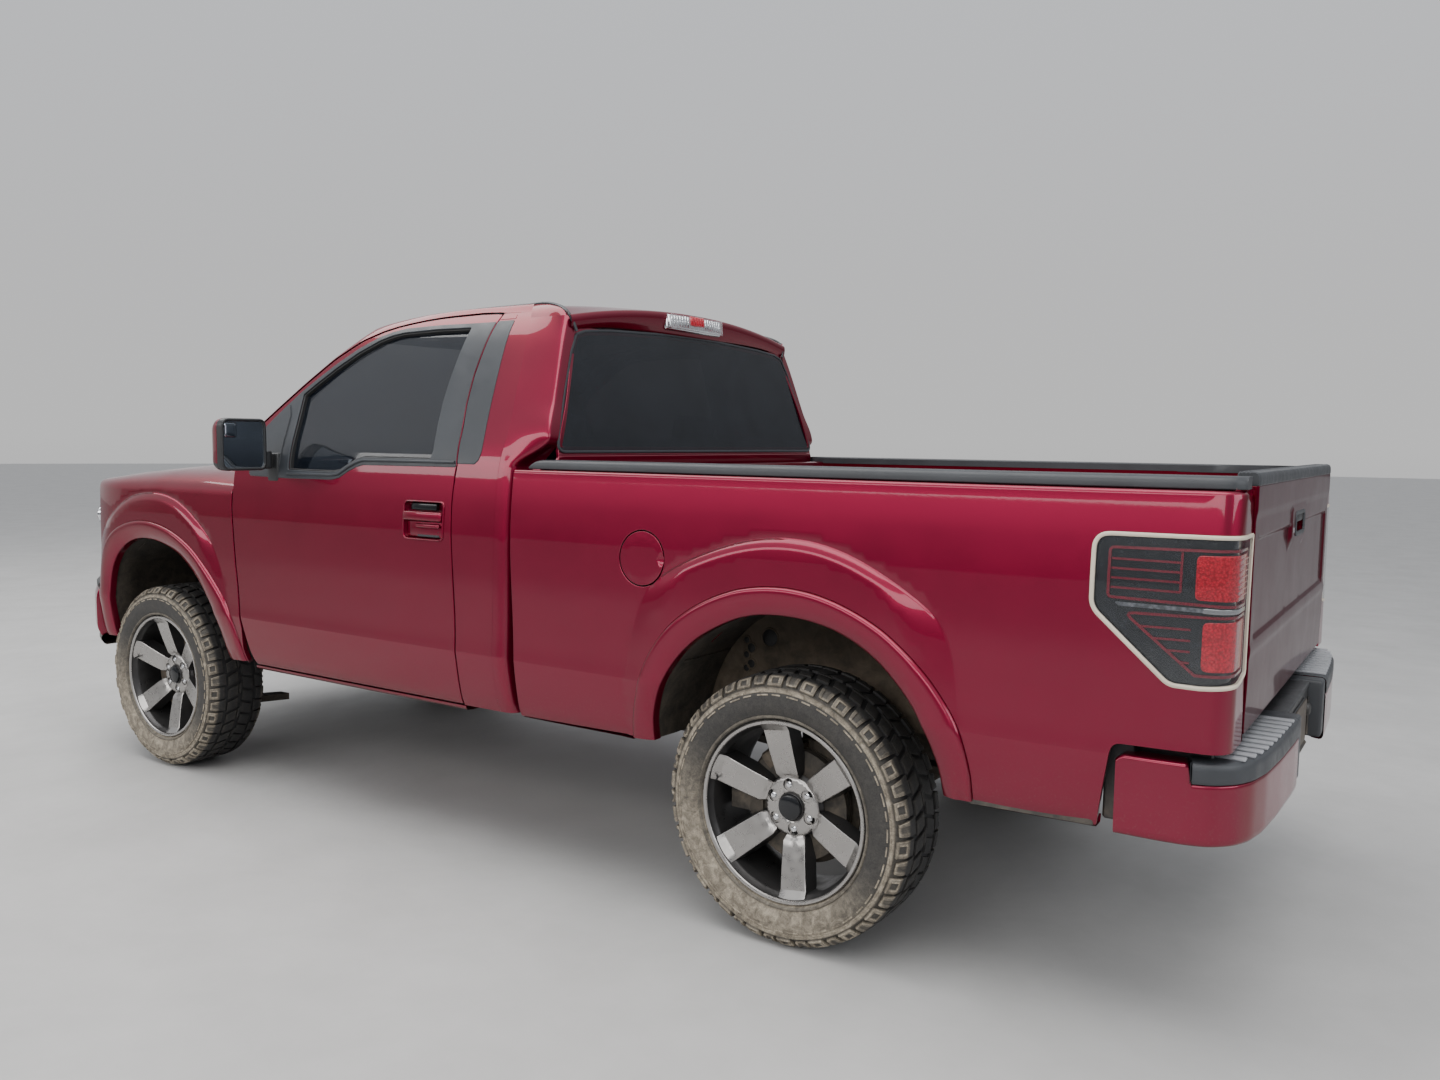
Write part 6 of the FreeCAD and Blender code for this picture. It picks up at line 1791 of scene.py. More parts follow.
# fuel door with its finger notch, and the cup behind it
fd = M()
ring = [(FUEL_C[0] + (FUEL_R - 0.5) * math.cos(a), FUEL_C[1] + (FUEL_R - 0.5) * math.sin(a)) for a in np.linspace(0, 2 * math.pi, 60, endpoint=False)]
notch = rounded([(-1052, 1100), (-1021, 1100), (-1018, 1117), (-1021, 1134), (-1052, 1134)], 6, 3)


def flap(u, w):
    p = side(u, w)
    d = np.hypot(np.asarray(u) - FUEL_C[0], np.asarray(w) - FUEL_C[1])
    dn = np.hypot((np.asarray(u) + 1034) / 15.0, (np.asarray(w) - 1117) / 17.0)
    p[:, 1] += 0.8 * sm(84, 60, d) - 5.5 * np.clip(1 - dn, 0, 1) ** 0.6
    return p


ext = [np.array([(-1034 + 15 * r * math.cos(a), 1117 + 17 * r * math.sin(a)) for a in np.linspace(0, 2 * math.pi, 16, endpoint=False)]) for r in (0.3, 0.6, 0.85, 1.0)]
patch(fd, ring, [], flap, -1, "paint", 14, ext, gap=0.0, roll=2.0, hem=4, back=(9, "black"), inw=(0, -1, 0))
piece("fuel_flap_skin", fd, "fuel_flap", ("fuel_door",))
cup = M()
cyl = []
for h, r in ((-1.5, 88), (-8, 86), (-60, 82), (-62, 60), (-62, 30), (-55, 27), (-40, 26), (-38, 20), (-38, 1)):
    cyl.append([(FUEL_C[0] + r * math.cos(a), float(side_y(FUEL_C[0] + r * math.cos(a), FUEL_C[1] + r * math.sin(a))) + h, FUEL_C[1] + r * math.sin(a))
                for a in np.linspace(0, 2 * math.pi, 40, endpoint=False)])
loft(cup, cyl, "black", True, False, flip=False)
piece("fuel_cup", cup, "truck", ())

# rear lamp
MATS["lens_smoke"] = glass_mat("lamp_cover_finish", (0.05, 0.055, 0.06), 0.22, 0.04, 0.10)
lp = M()
patch(lp, lampcut, [], bed_at(-14), -1, "lamp_smoke", 24, cols, gap=1.5, roll=1.0, hem=10)
patch(lp, lampcut, [], bed_at(1.0), -1, "lens_smoke", 20, cols, gap=3.0, roll=3.0, hem=6)
loop = dense(inset(lampcut, 4.5), 9, True)
P, N, _, _ = frames(bed_at(0), loop, -1)
bar_sweep(lp, P, N, [(-5.5, -4), (-5, 1.5), (-2, 3.2), (2, 3.2), (5, 1.5), (5.5, -4)], "cream", closed=True)


def ribbon(pts, h, wd, mat, tall=4.0, closed=False):
    q = dense(pts, 9, closed)
    P, N, _, _ = frames(bed_at(h), q, -1)
    bar_sweep(lp, P, N, [(-wd / 2, -tall), (-wd / 2, 0), (wd / 2, 0), (wd / 2, -tall)], mat, closed=closed, smooth=False)


ue = UT + 26
ribbon(rounded([(-2347, 1236), (-2347, 1117), (ue, 1106), (ue, 1238)], 10, 3), -5, 6.6, "lamp_line", 8, True)
for w in (1209, 1186, 1163, 1140):
    ribbon([(-2352, w), (-2508, w - 2)], -7, 5.2, "lamp_line", 5)
ribbon([(-2508, 1232), (-2508, 1138)], -7, 5.2, "lamp_line", 5)
patch(lp, rounded([(-2540, 1226), (-2540, 1122), (ue - 8, 1118), (ue - 8, 1228)], 12, 3), [], bed_at(-6), -1, "lamp_red", 12, cols, gap=0, roll=2, hem=6)
for k in range(7):
    ribbon([(-2548 - 0, 1216 - k * 14), (ue - 14, 1216 - k * 14)], -3.6, 3.0, "lamp_red", 3)
ribbon(rounded([(-2386, 1082), (-2548, 946), (ue + 4, 948), (ue, 1084)], 8, 3), -5, 6.6, "lamp_line", 8, True)
for w, a in ((1052, -2424), (1026, -2455), (1000, -2486), (974, -2517)):
    ribbon([(a, w), (-2535, w)], -7, 5.2, "lamp_line", 5)
patch(lp, rounded([(-2560, 1072), (-2560, 956), (ue - 4, 956), (ue - 8, 1074)], 14, 3), [], bed_at(-6), -1, "lamp_red", 12, cols, gap=0, roll=2, hem=6)
patch(lp, rounded([(-2360, 1106), (-2372, 1096), (ue - 4, 1090), (ue - 4, 1101)], 4, 2), [], bed_at(-8), -1, "lamp_grey", 12, cols, gap=0, roll=1, hem=4)
patch(lp, rounded([(-2560, 1104), (-2560, 1092), (ue - 4, 1090), (ue - 4, 1101)], 3, 2), [], bed_at(-5), -1, "chrome", 12, cols, gap=0, roll=1, hem=4)
pair("rear_lamp", lp, ("truck", "truck"), (("rear_lamps",), ()))

# rail caps: ribbed top, rounded outer side
rc = M()
sec = [(-108, 1379), (-108, 1405), (-105, 1408)]
for k in range(7):
    a = -98 + k * 11
    sec += [(a, 1409), (a + 1.2, 1407.2), (a + 3.2, 1407.2), (a + 4.4, 1409)]
sec += [(-18, 1409), (-10, 1407.2), (-4.5, 1403), (-1.4, 1397), (0, 1390), (0, 1381), (-2, 1378.5)]
sec = np.array(sec, float)
xs = np.concatenate([[-437, -439, -444, -452, -462, -474], np.linspace(-490, -2560, 60), [-2580, -2600, -2614, -2622, -2628, -2631]])
G = []
for x in xs:
    ye = float(plain_y(max(x, -2590), 1364)) - 17.5
    sc = 1.0
    if x < -2590:
        ye -= 26 * float(sm(-2590, -2634, x)) ** 1.3
    t = max(0.0, min(1.0, (x + 500) / 63.0))
    ye -= 10 * t ** 3
    low_in = max(826.0, float(np.interp(x, [-540, -512, -504, -500, -474, -324], [826, 872, 884, 912, 916, 953]))) + 0.0
    row = []
    for dy, z in sec:
        y = ye + dy
        zt = 1381 + (z - 1381) * (1 - 0.72 * t ** 2.2) if z > 1381 else z
        row.append((x, min(max(y, low_in), ye), zt))
    G.append(row)
G = np.array(G)
sheet(rc, G, "grey", flip=True, normals=False)
for row, fl in ((G[0], False), (G[-1], True)):
    n0 = len(row)
    idx = list(range(n0))
    rc.add(row, [tuple(idx[::-1] if fl else idx)], "grey", smooth=False)
pair("rail_cap", rc, ("truck", "truck"), angle=30)
fcap = M()
G = np.array([[(-538, y, 1378), (-540, y, 1384), (-548, y, 1388), (-580, y, 1388), (-588, y, 1384), (-590, y, 1360)] for y in np.linspace(-836, 836, 30)])
sheet(fcap, G, "paint", flip=True, normals=False)
piece("bed_front_rail", fcap, "truck", ())

# ------------------------------------------------------------------ tailgate
def gate(u, w):
    """Outer face with a top ledge, a long sunk field and a lower crease."""
    u, w = np.asarray(u, float), np.asarray(w, float)
    e = np.minimum(784 - np.abs(u), 60) / 60.0
    x = -2637 + 0 * u
    x = x - 3.0 * sm(960, 990, w) * sm(1010, 985, w) - 4.0 * sm(1300, 1330, w)
    x = x + 7.0 * sm(1004, 1020, w) * sm(1262, 1248, w) * sm(738, 722, np.abs(u))
    x = x + 2.5 * sm(930, 800, w)
    b = sm(168, 150, np.abs(u)) * sm(1196, 1208, w) * sm(1312, 1300, w)
    x = x * (1 - b) + (-2641.5) * b
    return np.stack([x, u, w], 1)


tg = M()
gl_lines = []
ys_ = np.arange(-770, 771, 22)
for z in (962, 975, 988, 1004, 1009, 1015, 1020, 1248, 1253, 1258, 1262, 1300, 1310, 1320, 1330):
    gl_lines.append(np.stack([ys_, np.full(len(ys_), z)], 1))
for y in (722, 727, 733, 738, 150, 156, 162, 168):
    zz2 = np.arange(1004, 1310, 22)
    for s in (-1, 1):
        gl_lines.append(np.stack([np.full(len(zz2), s * y), zz2], 1))
cup_out = rounded([(-92, 1226), (92, 1226), (96, 1288), (-96, 1288)], 14, 4)
# the tailgate's outer face takes the darker copy of the ruby paint, painted shade
patch(tg, rounded([(-784, 782), (784, 782), (784, 1386), (-784, 1386)], [14, 14, 4, 4], 4), [cup_out[::-1]], gate, -1, "paint_tail", 34, gl_lines, gap=0.0, roll=3.0, hem=3,
      back=(36, "bedpaint"), inw=(1, 0, 0), hole_gap=0.0)
# handle: frame, cup and lifting paddle
loop = dense(cup_out if area2(cup_out) > 0 else cup_out[::-1], 10, True)
P, N, _, _ = frames(gate, loop, -1)
bar_sweep(tg, P, N, [(-6, -2), (-5, 2.5), (0, 3.5), (6, 2), (7, -2)], "grey", closed=True)
rbox(tg, (-2618, -92, 1228), (-2612, 92, 1286), "black", 4, 2)
rbox(tg, (-2640, -80, 1258), (-2616, 80, 1284), "black", 7, 3)
rings = []
for y0, r0 in ((0.0, 9.0),):
    lathe(tg, [(0.4, -2), (8, -2), (9, 0), (9, 14)], "chrome", 24, "x", (-2640, 118, 1240))
# inner face ribs and top cap
for k in range(9):
    yc = -640 + k * 160
    rbox(tg, (-2601.5, yc - 52, 850), (-2596, yc + 52, 1330), "bedpaint", 3, 2)
rbox(tg, (-2604, -776, 1340), (-2590, 776, 1376), "bedpaint", 5, 2)
sec = [(-2596, 1384), (-2590.5, 1388), (-2590.5, 1412), (-2593, 1417)]
for k in range(3):
    a = -2596 - k * 10
    sec += [(a, 1419), (a - 1.2, 1417), (a - 4.5, 1417), (a - 5.7, 1419)]
sec += [(-2630, 1419), (-2637, 1416), (-2641, 1409), (-2642, 1398), (-2642, 1388), (-2639, 1384)]
cap = []
for y in (-784, -782, -776) + tuple(np.linspace(-760, 760, 20)) + (776, 782, 784):
    k = 0 if abs(y) < 777 else (abs(y) - 776) / 8.0
    cap.append([(-2616 + (x + 2616) * (1 - 0.12 * k), y, 1400 + (z - 1400) * (1 - 0.12 * k)) for x, z in sec])
loft(tg, cap, "grey", True, True, flip=False)
piece("tailgate_skin", tg, "tailgate_lid", ("tailgate",), angle=30)

# ------------------------------------------------------------------ rear bumper
BP = smoothed([(-2383, 972), (-2460, 973), (-2540, 968), (-2600, 950), (-2645, 908), (-2672, 850), (-2688, 760), (-2699, 600), (-2706, 400), (-2706.5, 330)], 9, 16)


def plan_n(p):
    t = np.gradient(p, axis=0)
    t /= np.linalg.norm(t, axis=1, keepdims=True)
    n = np.stack([t[:, 1], -t[:, 0]], 1)
    return n if n[0, 1] > 0 else -n


bn = plan_n(BP)
bp2 = M()


def plan_sheet(p, n, secs, mat, flip=False, mesh=None, normals=True):
    G = np.zeros((len(p), len(secs), 3))
    for j, (o, z) in enumerate(secs):
        zz_ = z if not callable(z) else z(p[:, 0])
        oo = o if not callable(o) else o(p[:, 0])
        G[:, j, 0] = p[:, 0] + n[:, 0] * oo
        G[:, j, 1] = p[:, 1] + n[:, 1] * oo
        G[:, j, 2] = zz_
    sheet(mesh if mesh is not None else bp2, G, mat, flip=flip, normals=normals)
    return G


side_part = BP[:, 0] > -2552
topz = lambda x: np.where(x > -2552, 739 - 12 * sm(-2402, -2384, x) ** 2, 690.0)
i_pad = int(np.argmax(BP[:, 0] < -2552))
A, An = BP[:i_pad + 1], bn[:i_pad + 1]
B, Bn = BP[i_pad:], bn[i_pad:]
low_s = [(-46, 548), (-30, 542), (-12, 540), (-5, 543), (-1.2, 550), (0, 562), (0, 600), (0, 650)]
plan_sheet(A, An, low_s + [(0, 690), (0, lambda x: topz(x) - 10), (-1.5, lambda x: topz(x) - 5), (-6, lambda x: topz(x) - 1), (-14, topz), (-60, topz)], "paint")
plan_sheet(B, Bn, low_s + [(0, 680), (-0.8, 686), (-3, 689.5), (-8, 690.5)], "paint")
# front edge return of the painted end
e0 = BP[:1].repeat(2, 0)
ends = np.array([[(-2383, 972 - d, z) for d in (0, 10, 40)] for z in (548, 600, 650, 700, 727)])
sheet(bp2, ends, "paint", flip=False, normals=False)
# grey step pad with ribs
plan_sheet(B, Bn, [(-12, 689), (-3, 690.5), (0.4, 693), (0.8, 700), (0.8, 722), (-0.4, 732), (-5, 739), (-12, 742.5), (-24, 743), (-110, 743), (-114, 740), (-114, 690)], "grey")
endp = np.array([[(-2552, 968 + o, z) for o in (1.6, -12, -110)] for z in (693, 720, 736, 743)])
sheet(bp2, endp, "grey", flip=True, normals=False)
# ribs run fore and aft across the pad; their light grey colour is a painted highlight where they catch the light
ys_r = [868, 820, 772, 724, 676, 628, 580, 532, 484, 436, 388]
for yy in ys_r:
    xo = float(np.interp(-yy, -BP[:, 1], BP[:, 0]))
    rbox(bp2, (xo + 7, yy - 14, 741), (xo + 108, yy + 14, 748.5), "rib", 3.5, 2)
MATS["rib"] = surface_mat("step_rib_painted_highlight", (0.30, 0.31, 0.33), 0.36, grain=(500, 0.1), vary=0.15)
# black filler with cross bars between pad and tailgate, a dark block set into the gap as painted shade
rbox(bp2, (-2600, 262, 672), (-2566, 930, 716), "black", 4, 2)
for k in range(16):
    yy = 290 + k * 40
    rbox(bp2, (-2606, yy, 700), (-2560, yy + 14, 724), "black", 3, 1)
# inner end of the pad and shell at the middle recess
rbox(bp2, (-2704, 262, 560), (-2580, 330, 742), "grey", 10, 3)
tube(bp2, [(-2664, 262, 566), (-2664, 262, 690)], 4, "black", 8)
pair("rear_bumper_end", bp2, ("truck", "truck"), (("rear_bumper",), ()))
mid = M()
rbox(mid, (-2662, -262, 548), (-2640, 262, 733), "black", 8, 3)
rbox(mid, (-2668, -250, 724), (-2570, 250, 738), "black", 6, 2)
rbox(mid, (-2669, -152, 572), (-2661, 152, 706), "black", 5, 2)
rbox(mid, (-2672, -150, 574), (-2668, 150, 704), "steel", 2, 1)
G = np.array([[(-2660 + d, y, z) for d, z in ((0, 548), (-6, 541), (10, 538), (60, 540))] for y in np.linspace(-262, 262, 6)])
sheet(mid, G, "black", flip=False, normals=False)
lathe(mid, [(0.4, -14), (14, -14), (21, -12), (24, -6), (24, 6)], "black", 32, "x", (-2664, 205, 660))
lathe(mid, [(0.4, -17), (9, -17), (11, -14)], "chrome", 24, "x", (-2664, 205, 660))
lathe(mid, [(0.4, -14), (12, -14), (17, -11), (19, -5), (19, 6)], "black", 32, "x", (-2664, -205, 660))
for s in (-1, 1):
    for z in (592, 690):
        lathe(mid, [(0.3, -6), (6, -6), (8, -4), (8, 2)], "steel", 12, "x", (-2664, s * 172, z))
piece("rear_bumper_middle", mid, "truck", ())


# ------------------------------------------------------------------ door mirrors
def rr_ring(cy, cz, ay, az, x, r, n=8):
    pts = rounded([(cy - ay, cz - az), (cy + ay, cz - az), (cy + ay, cz + az), (cy - ay, cz + az)], r, n)
    return np.array([(x, p[0], p[1]) for p in pts])


def mirror_lean(P):
    """The glass faces a little inboard, so its inner edge sits forward and clears the door when the head folds."""
    P = np.array(P, float)
    t = np.clip((1121 - P[..., 1]) / 110, 0, 1)
    P[..., 0] += 14 * t * (1 - sm(868, 900, P[..., 0]))
    P[..., 1] += 19 * t * t * (1 - sm(852, 882, P[..., 0]))
    return P


mh = M()
rings = [rr_ring(1122, 1445, 94, 86, 848, 26), rr_ring(1122, 1445, 97, 89, 840, 28), rr_ring(1121, 1445, 101, 93, 837, 30), rr_ring(1121, 1445, 106, 97, 838.5, 33),
         rr_ring(1121, 1445, 109, 99, 844, 35), rr_ring(1121, 1445, 110, 100, 858, 36), rr_ring(1121, 1445, 109.5, 99.5, 866, 36)]
sheet(mh, mirror_lean(rings), "black", flip=False, close_v=True)
rings2 = [rr_ring(1121, 1445, 109.5, 99.5, 866, 36), rr_ring(1121, 1445, 108, 98, 867.5, 36), rr_ring(1121, 1445, 109.5, 99.5, 869, 36), rr_ring(1121, 1444, 108, 98, 888, 38),
          rr_ring(1119, 1442, 103, 93, 908, 40), rr_ring(1116, 1440, 94, 84, 922, 42), rr_ring(1112, 1438, 78, 66, 931, 40), rr_ring(1108, 1436, 50, 40, 935, 34),
          rr_ring(1106, 1435, 18, 14, 936, 13), rr_ring(1106, 1435, 1, 1, 936.2, 0.9)]
ra = mirror_lean(rings2)
n_r = ra.shape[1]
faces_p, faces_b = [], []
flat = ra.reshape(-1, 3)
for i in range(len(ra) - 1):
    for j in range(n_r):
        k = (j + 1) % n_r
        f = (i * n_r + j, i * n_r + k, (i + 1) * n_r + k, (i + 1) * n_r + j)
        c = flat[list(f)].mean(0)
        (faces_b if (c[2] < 1378 or c[1] < 1040) else faces_p).append(f)
for fl_, mt in ((faces_p, "paint"), (faces_b, "black")):
    mh.add(flat, fl_, mt)
# glass with a small wide-angle insert in its upper outer corner
gl2 = mirror_lean(rr_ring(1122, 1445, 95, 87, 845.5, 24))
mh.add(gl2, [tuple(range(len(gl2)))[::-1]], "mirror", np.tile([-1, 0, 0], (len(gl2), 1)), smooth=False)
ins = [rr_ring(1188, 1500, 24, 26, 845.2, 8), rr_ring(1188, 1500, 22, 24, 843.2, 7), rr_ring(1188, 1500, 10, 11, 842.4, 5), rr_ring(1188, 1500, 1, 1, 842.3, 0.8)]
sheet(mh, np.array(ins), "mirror", flip=True, close_v=True)
fr_ = [rr_ring(1188, 1500, 26.5, 28.5, 845.3, 9), rr_ring(1188, 1500, 26, 28, 843.6, 9), rr_ring(1188, 1500, 24, 26, 843.4, 8)]
sheet(mh, np.array(fr_), "gloss_black", flip=True, close_v=True)
# arm: pivot barrel and tapered knuckle
lathe(mh, [(0.5, 1350), (22, 1350), (25, 1353), (25, 1417), (22, 1420), (0.5, 1420)], "black", 28, "z", (900, 1004, 0))
loft(mh, [[(868, 1006, 1356), (930, 1006, 1356), (930, 1006, 1414), (868, 1006, 1414)], [(870, 1030, 1358), (928, 1030, 1358), (928, 1030, 1422), (870, 1030, 1422)],
          [(872, 1052, 1364), (924, 1052, 1364), (922, 1052, 1436), (874, 1052, 1436)]], "black", True, True, flip=False)
pair("mirror_head", mh, ("driver_mirror", "passenger_mirror"), (("mirror_left",), ("mirror_right",)), angle=35)
mm_ = M()
rbox(mm_, (868, 918, 1300), (934, 974, 1412), "black", 8, 3)
rbox(mm_, (858, 916, 1296), (944, 936, 1420), "black", 6, 2)
pair("mirror_mount", mm_, ("driver_door", "passenger_door"))


# ------------------------------------------------------------------ hood
def hood_lift(u, w):
    u, w = np.asarray(u, float), np.asarray(w, float)
    a = np.abs(w)
    z = hood_z(u, w)
    half = 430 - 60 * sm(1600, 2560, u)
    dome = sm(half + 26, half - 14, a) * sm(1350, 1600, u) * 11 * sm(2572, 2440, u)
    z = z + dome - 8 * sm(1400, 1330, u)
    return np.stack([u, w, z], 1)


hplan = [(1345, 835), (1700, 830), (2000, 810), (2200, 785), (2350, 750), (2450, 690), (2520, 560), (2560, 300), (2570, 0)]
hl = spline([(835, 1345), (620, 1385), (400, 1415), (200, 1434), (0, 1440)][::-1])
hs_ = smoothed([(1345, 835), (1500, 834), (1700, 830), (2000, 810), (2200, 785), (2350, 750), (2430, 706), (2486, 640), (2520, 560), (2545, 440), (2560, 300), (2568, 140), (2570, 0)], 22, 14)
rear = [(float(hl(y)), y) for y in np.linspace(0, 835, 24)]
halfo = rear[:-1] + [tuple(p) for p in hs_]
full_o = halfo + [(x, -y) for x, y in halfo[::-1][1:-1]]
hx = []
for off in (26, 12, 0, -8, -14):
    xs_h = np.arange(1420, 2540, 26)
    hh = 430 - 60 * sm(1600, 2560, xs_h) + off
    hx += [np.stack([xs_h, hh], 1), np.stack([xs_h, -hh], 1)]
hoodm = M()
patch(hoodm, full_o, [], hood_lift, 1, "paint", 40, hx, gap=2.0, roll=5.0, hem=16, back=(20, "bedpaint"), inw=(0, 0, -1))
# inner frame ribs and the hinge arms
for s in (-1, 1):
    rbox(hoodm, (1500, s * 560 - 30, 1312), (2300, s * 560 + 30, 1330), "bedpaint", 8, 2, fn=lambda v: np.stack([v[:, 0], v[:, 1], v[:, 2] - 1330 + hood_z(v[:, 0], v[:, 1]) - 21], 1))
    rbox(hoodm, (1350, s * 700 - 15, 1318), (1450, s * 700 + 15, 1334), "steel", 4, 2)
for x in (1560, 1900, 2250):
    rbox(hoodm, (x - 30, -540, 1312), (x + 30, 540, 1330), "bedpaint", 8, 2, fn=lambda v: np.stack([v[:, 0], v[:, 1], v[:, 2] - 1330 + hood_z(v[:, 0], v[:, 1]) - 21], 1))
piece("hood_skin", hoodm, "hood_lid", ("hood",))

# ------------------------------------------------------------------ cowl and wipers
cw = M()
yy_ = np.linspace(-836, 836, 41)
G = []
for y in yy_:
    xw = 1290 + 130 * (1 - (y / 860.0) ** 2)
    xh = float(hl(min(abs(y), 835)))
    G.append([(xw - 6, y, 1330), (xw + 2, y, 1337), (xw + 9, y, 1340), (xw + 0.5 * (xh - xw), y, 1336), (xh + 4, y, 1328), (xh + 14, y, 1318)])
sheet(cw, np.array(G), "black", flip=False)


def ws_pt(f, v, h):
    b0 = np.array([1290 + 130 * (1 - v * v), 860 * v, 1338])
    t0 = np.array([640 + 55 * (1 - v * v), 640 * v, 1898 + 12 * (1 - v * v)])
    return b0 + (t0 - b0) * f + np.array([18 * 4 * f * (1 - f) + h * 0.65, 0, 14 * 4 * f * (1 - f) + h * 0.76])


for v0, v1, piv in ((0.70, 0.02, 0.66), (-0.06, -0.74, -0.10)):
    blade = [ws_pt(0.045 + 0.02 * t, v0 + (v1 - v0) * t, 9) for t in np.linspace(0, 1, 14)]
    tube(cw, blade, 4.2, "rubber", 8)
    tube(cw, [b + np.array([3, 0, 5]) for b in blade[2:-2]], 4.5, "black", 8)
    pv = ws_pt(-0.012, piv, 16)
    midb = blade[7] + np.array([4, 0, 9])
    tube(cw, [pv, pv * 0.7 + midb * 0.3 + [6, 0, 8], midb], 6.5, "black", 10)
    lathe(cw, [(0.4, 12), (13, 12), (16, 8), (16, -10)], "black", 20, "z", (float(pv[0]), float(pv[1]), float(pv[2]) - 6))
piece("cowl_panel", cw, "truck", ())

# ------------------------------------------------------------------ headlamps
HL = smoothed([(2622, 546), (2612, 620), (2590, 700), (2562, 752), (2520, 800), (2474, 833), (2420, 860), (2366, 884), (2310, 903), (2262, 914)], 10, 14)
hs_arc = np.concatenate([[0], np.cumsum(np.linalg.norm(np.diff(HL, axis=0), axis=1))])
HLEN = hs_arc[-1]
hln = np.gradient(HL, axis=0)
hln /= np.linalg.norm(hln, axis=1, keepdims=True)
hln = np.stack([hln[:, 1], -hln[:, 0]], 1)


def head(h):
    def f(u, w):
        u, w = np.asarray(u, float), np.asarray(w, float)
        px, py = np.interp(u, hs_arc, HL[:, 0]), np.interp(u, hs_arc, HL[:, 1])
        nx, ny = np.interp(u, hs_arc, hln[:, 0]), np.interp(u, hs_arc, hln[:, 1])
        lean = (-0.10 * np.maximum(w - 1000, 0) - 0.0006 * np.maximum(w - 1000, 0) ** 2) * (1 - 0.85 * sm(0.45, 0.95, u / HLEN)) - 0.05 * np.maximum(930 - w, 0)
        return np.stack([px + nx * (h + lean), py + ny * (h + lean) * 0.8, w], 1)
    return f


hm = M()
HO = rounded([(3, 876), (3, 1190), (HLEN * 0.55, 1200), (HLEN - 3, 1190), (HLEN - 4, 1010), (HLEN - 60, 905), (HLEN * 0.5, 878)], [14, 12, 60, 16, 60, 50, 40], 6)
patch(hm, HO, [], head(0), 1, "lens", 26, (), gap=2.0, roll=5, hem=10)
patch(hm, HO, [], head(-46), 1, "gloss_black", 30, (), gap=3.0, roll=1, hem=2)
P, N, _, _ = frames(head(-8), dense(inset(HO, 5), 14, True), 1)
bar_sweep(hm, P, N, [(-7, -44), (-7, 5), (4, 5), (4, -44)], "black", closed=True, smooth=False)


def round_unit(uc, zc, r, mat, depth=34, ring="chrome"):
    c = head(-8)(np.array([uc]), np.array([zc]))[0]
    tmp = M()
    lathe(tmp, [(r, 0), (r - 3, 3), (r - 6, 0), (r - 10, -depth * 0.6), (r * 0.55, -depth * 0.9), (r * 0.3, -depth), (r * 0.28, -depth + 14), (r * 0.2, -depth + 20), (0.4, -depth + 21)],
          ring, 40, "x", (0, 0, 0))
    n2 = np.array([np.interp(uc, hs_arc, hln[:, 0]) + 0.9, np.interp(uc, hs_arc, hln[:, 1]) * 0.55])
    n2 /= np.linalg.norm(n2)
    tmp = tmp.mapped(lambda v: np.stack([c[0] - 6 + v[:, 0] * n2[0] - v[:, 1] * n2[1], c[1] + v[:, 0] * n2[1] + v[:, 1] * n2[0], zc + v[:, 2]], 1))
    hm.join(tmp)


round_unit(118, 1085, 78, "chrome")
round_unit(118, 945, 48, "chrome")
round_unit(278, 1090, 56, "chrome")
for k in range(6):
    P, N, _, _ = frames(head(-30), dense([(330 + k * 30, 930 + k * 14), (330 + k * 30, 1160)], 20), 1)
    bar_sweep(hm, P, N, [(-11, -6), (-9, 4), (9, 4), (11, -6)], "amber" if k > 3 else "chrome", caps=True)
P, N, _, _ = frames(head(-24), dense([(190, 905), (190, 1170)], 20), 1)
bar_sweep(hm, P, N, [(-5, -16), (-4, 4), (4, 4), (5, -16)], "chrome", caps=True)
P, N, _, _ = frames(head(-22), dense([(30, 1012), (330, 1012)], 20), 1)
bar_sweep(hm, P, N, [(-6, -16), (-5, 4), (5, 4), (6, -16)], "chrome", caps=True)
pair("headlamp", hm, ("truck", "truck"), (("headlights",), ()))

# ------------------------------------------------------------------ grille
gr = M()
gbend = lambda v: np.stack([v[:, 0] - 24 * (v[:, 1] / 540.0) ** 2 - 10 * np.maximum((v[:, 2] - 1100) / 100.0, 0) ** 2, v[:, 1], v[:, 2]], 1)
GO = rounded([(-536, 806), (536, 806), (540, 1198), (-540, 1198)], [40, 40, 26, 26], 8)


def gface(h):
    return lambda u, w: gbend(np.stack([np.full(len(np.atleast_1d(u)), 2640.0) + h, np.asarray(u, float), np.asarray(w, float)], 1))


GI = inset(np.array(GO), 40)
patch(gr, GO, [GI[::-1]], gface(0), 1, "grey", 36, (), gap=0, roll=7, hem=40, hole_gap=0)
loop = dense(GI if area2(GI) > 0 else GI[::-1], 16, True)
P, N, _, _ = frames(gface(0), loop, 1)
bar_sweep(gr, P, N, [(-4, -30), (-4, 3), (3, 4), (6, 1), (6, -30)], "chrome", closed=True)
for z in (898, 1002, 1106):
    for (a, b, mt, hh, dx) in ((-17, 17, "grey", 0, 0), (-5, 5, "chrome", 4, 0)):
        rbox(gr, (2606 + hh, -500, z + a), (2638 + hh, 500, z + b), mt, 6 if mt == "grey" else 3, 2, fn=gbend)
for s in (-1, 1):
    rbox(gr, (2606, s * 340 - 14, 845), (2637, s * 340 + 14, 1160), "grey", 6, 2, fn=gbend)
seg_y = np.arange(-495, 496, 22)
for y in seg_y:
    rbox(gr, (2596, y - 2.2, 846), (2620, y + 2.2, 1160), "gloss_black", 1.5, 1, fn=gbend)
for z in np.arange(860, 1160, 20):
    G = np.array([[(2596, y, z - 2), (2619, y, z - 2.2), (2620, y, z), (2619, y, z + 2.2), (2596, y, z + 2)] for y in np.linspace(-498, 498, 15)])
    sheet(gr, gbend(G.reshape(-1, 3)).reshape(G.shape), "gloss_black", flip=True, normals=False)
rbox(gr, (2583, -536, 806), (2590, 536, 1198), "black", 3, 1, fn=gbend)
piece("grille_front", gr, "truck", ("grille",))

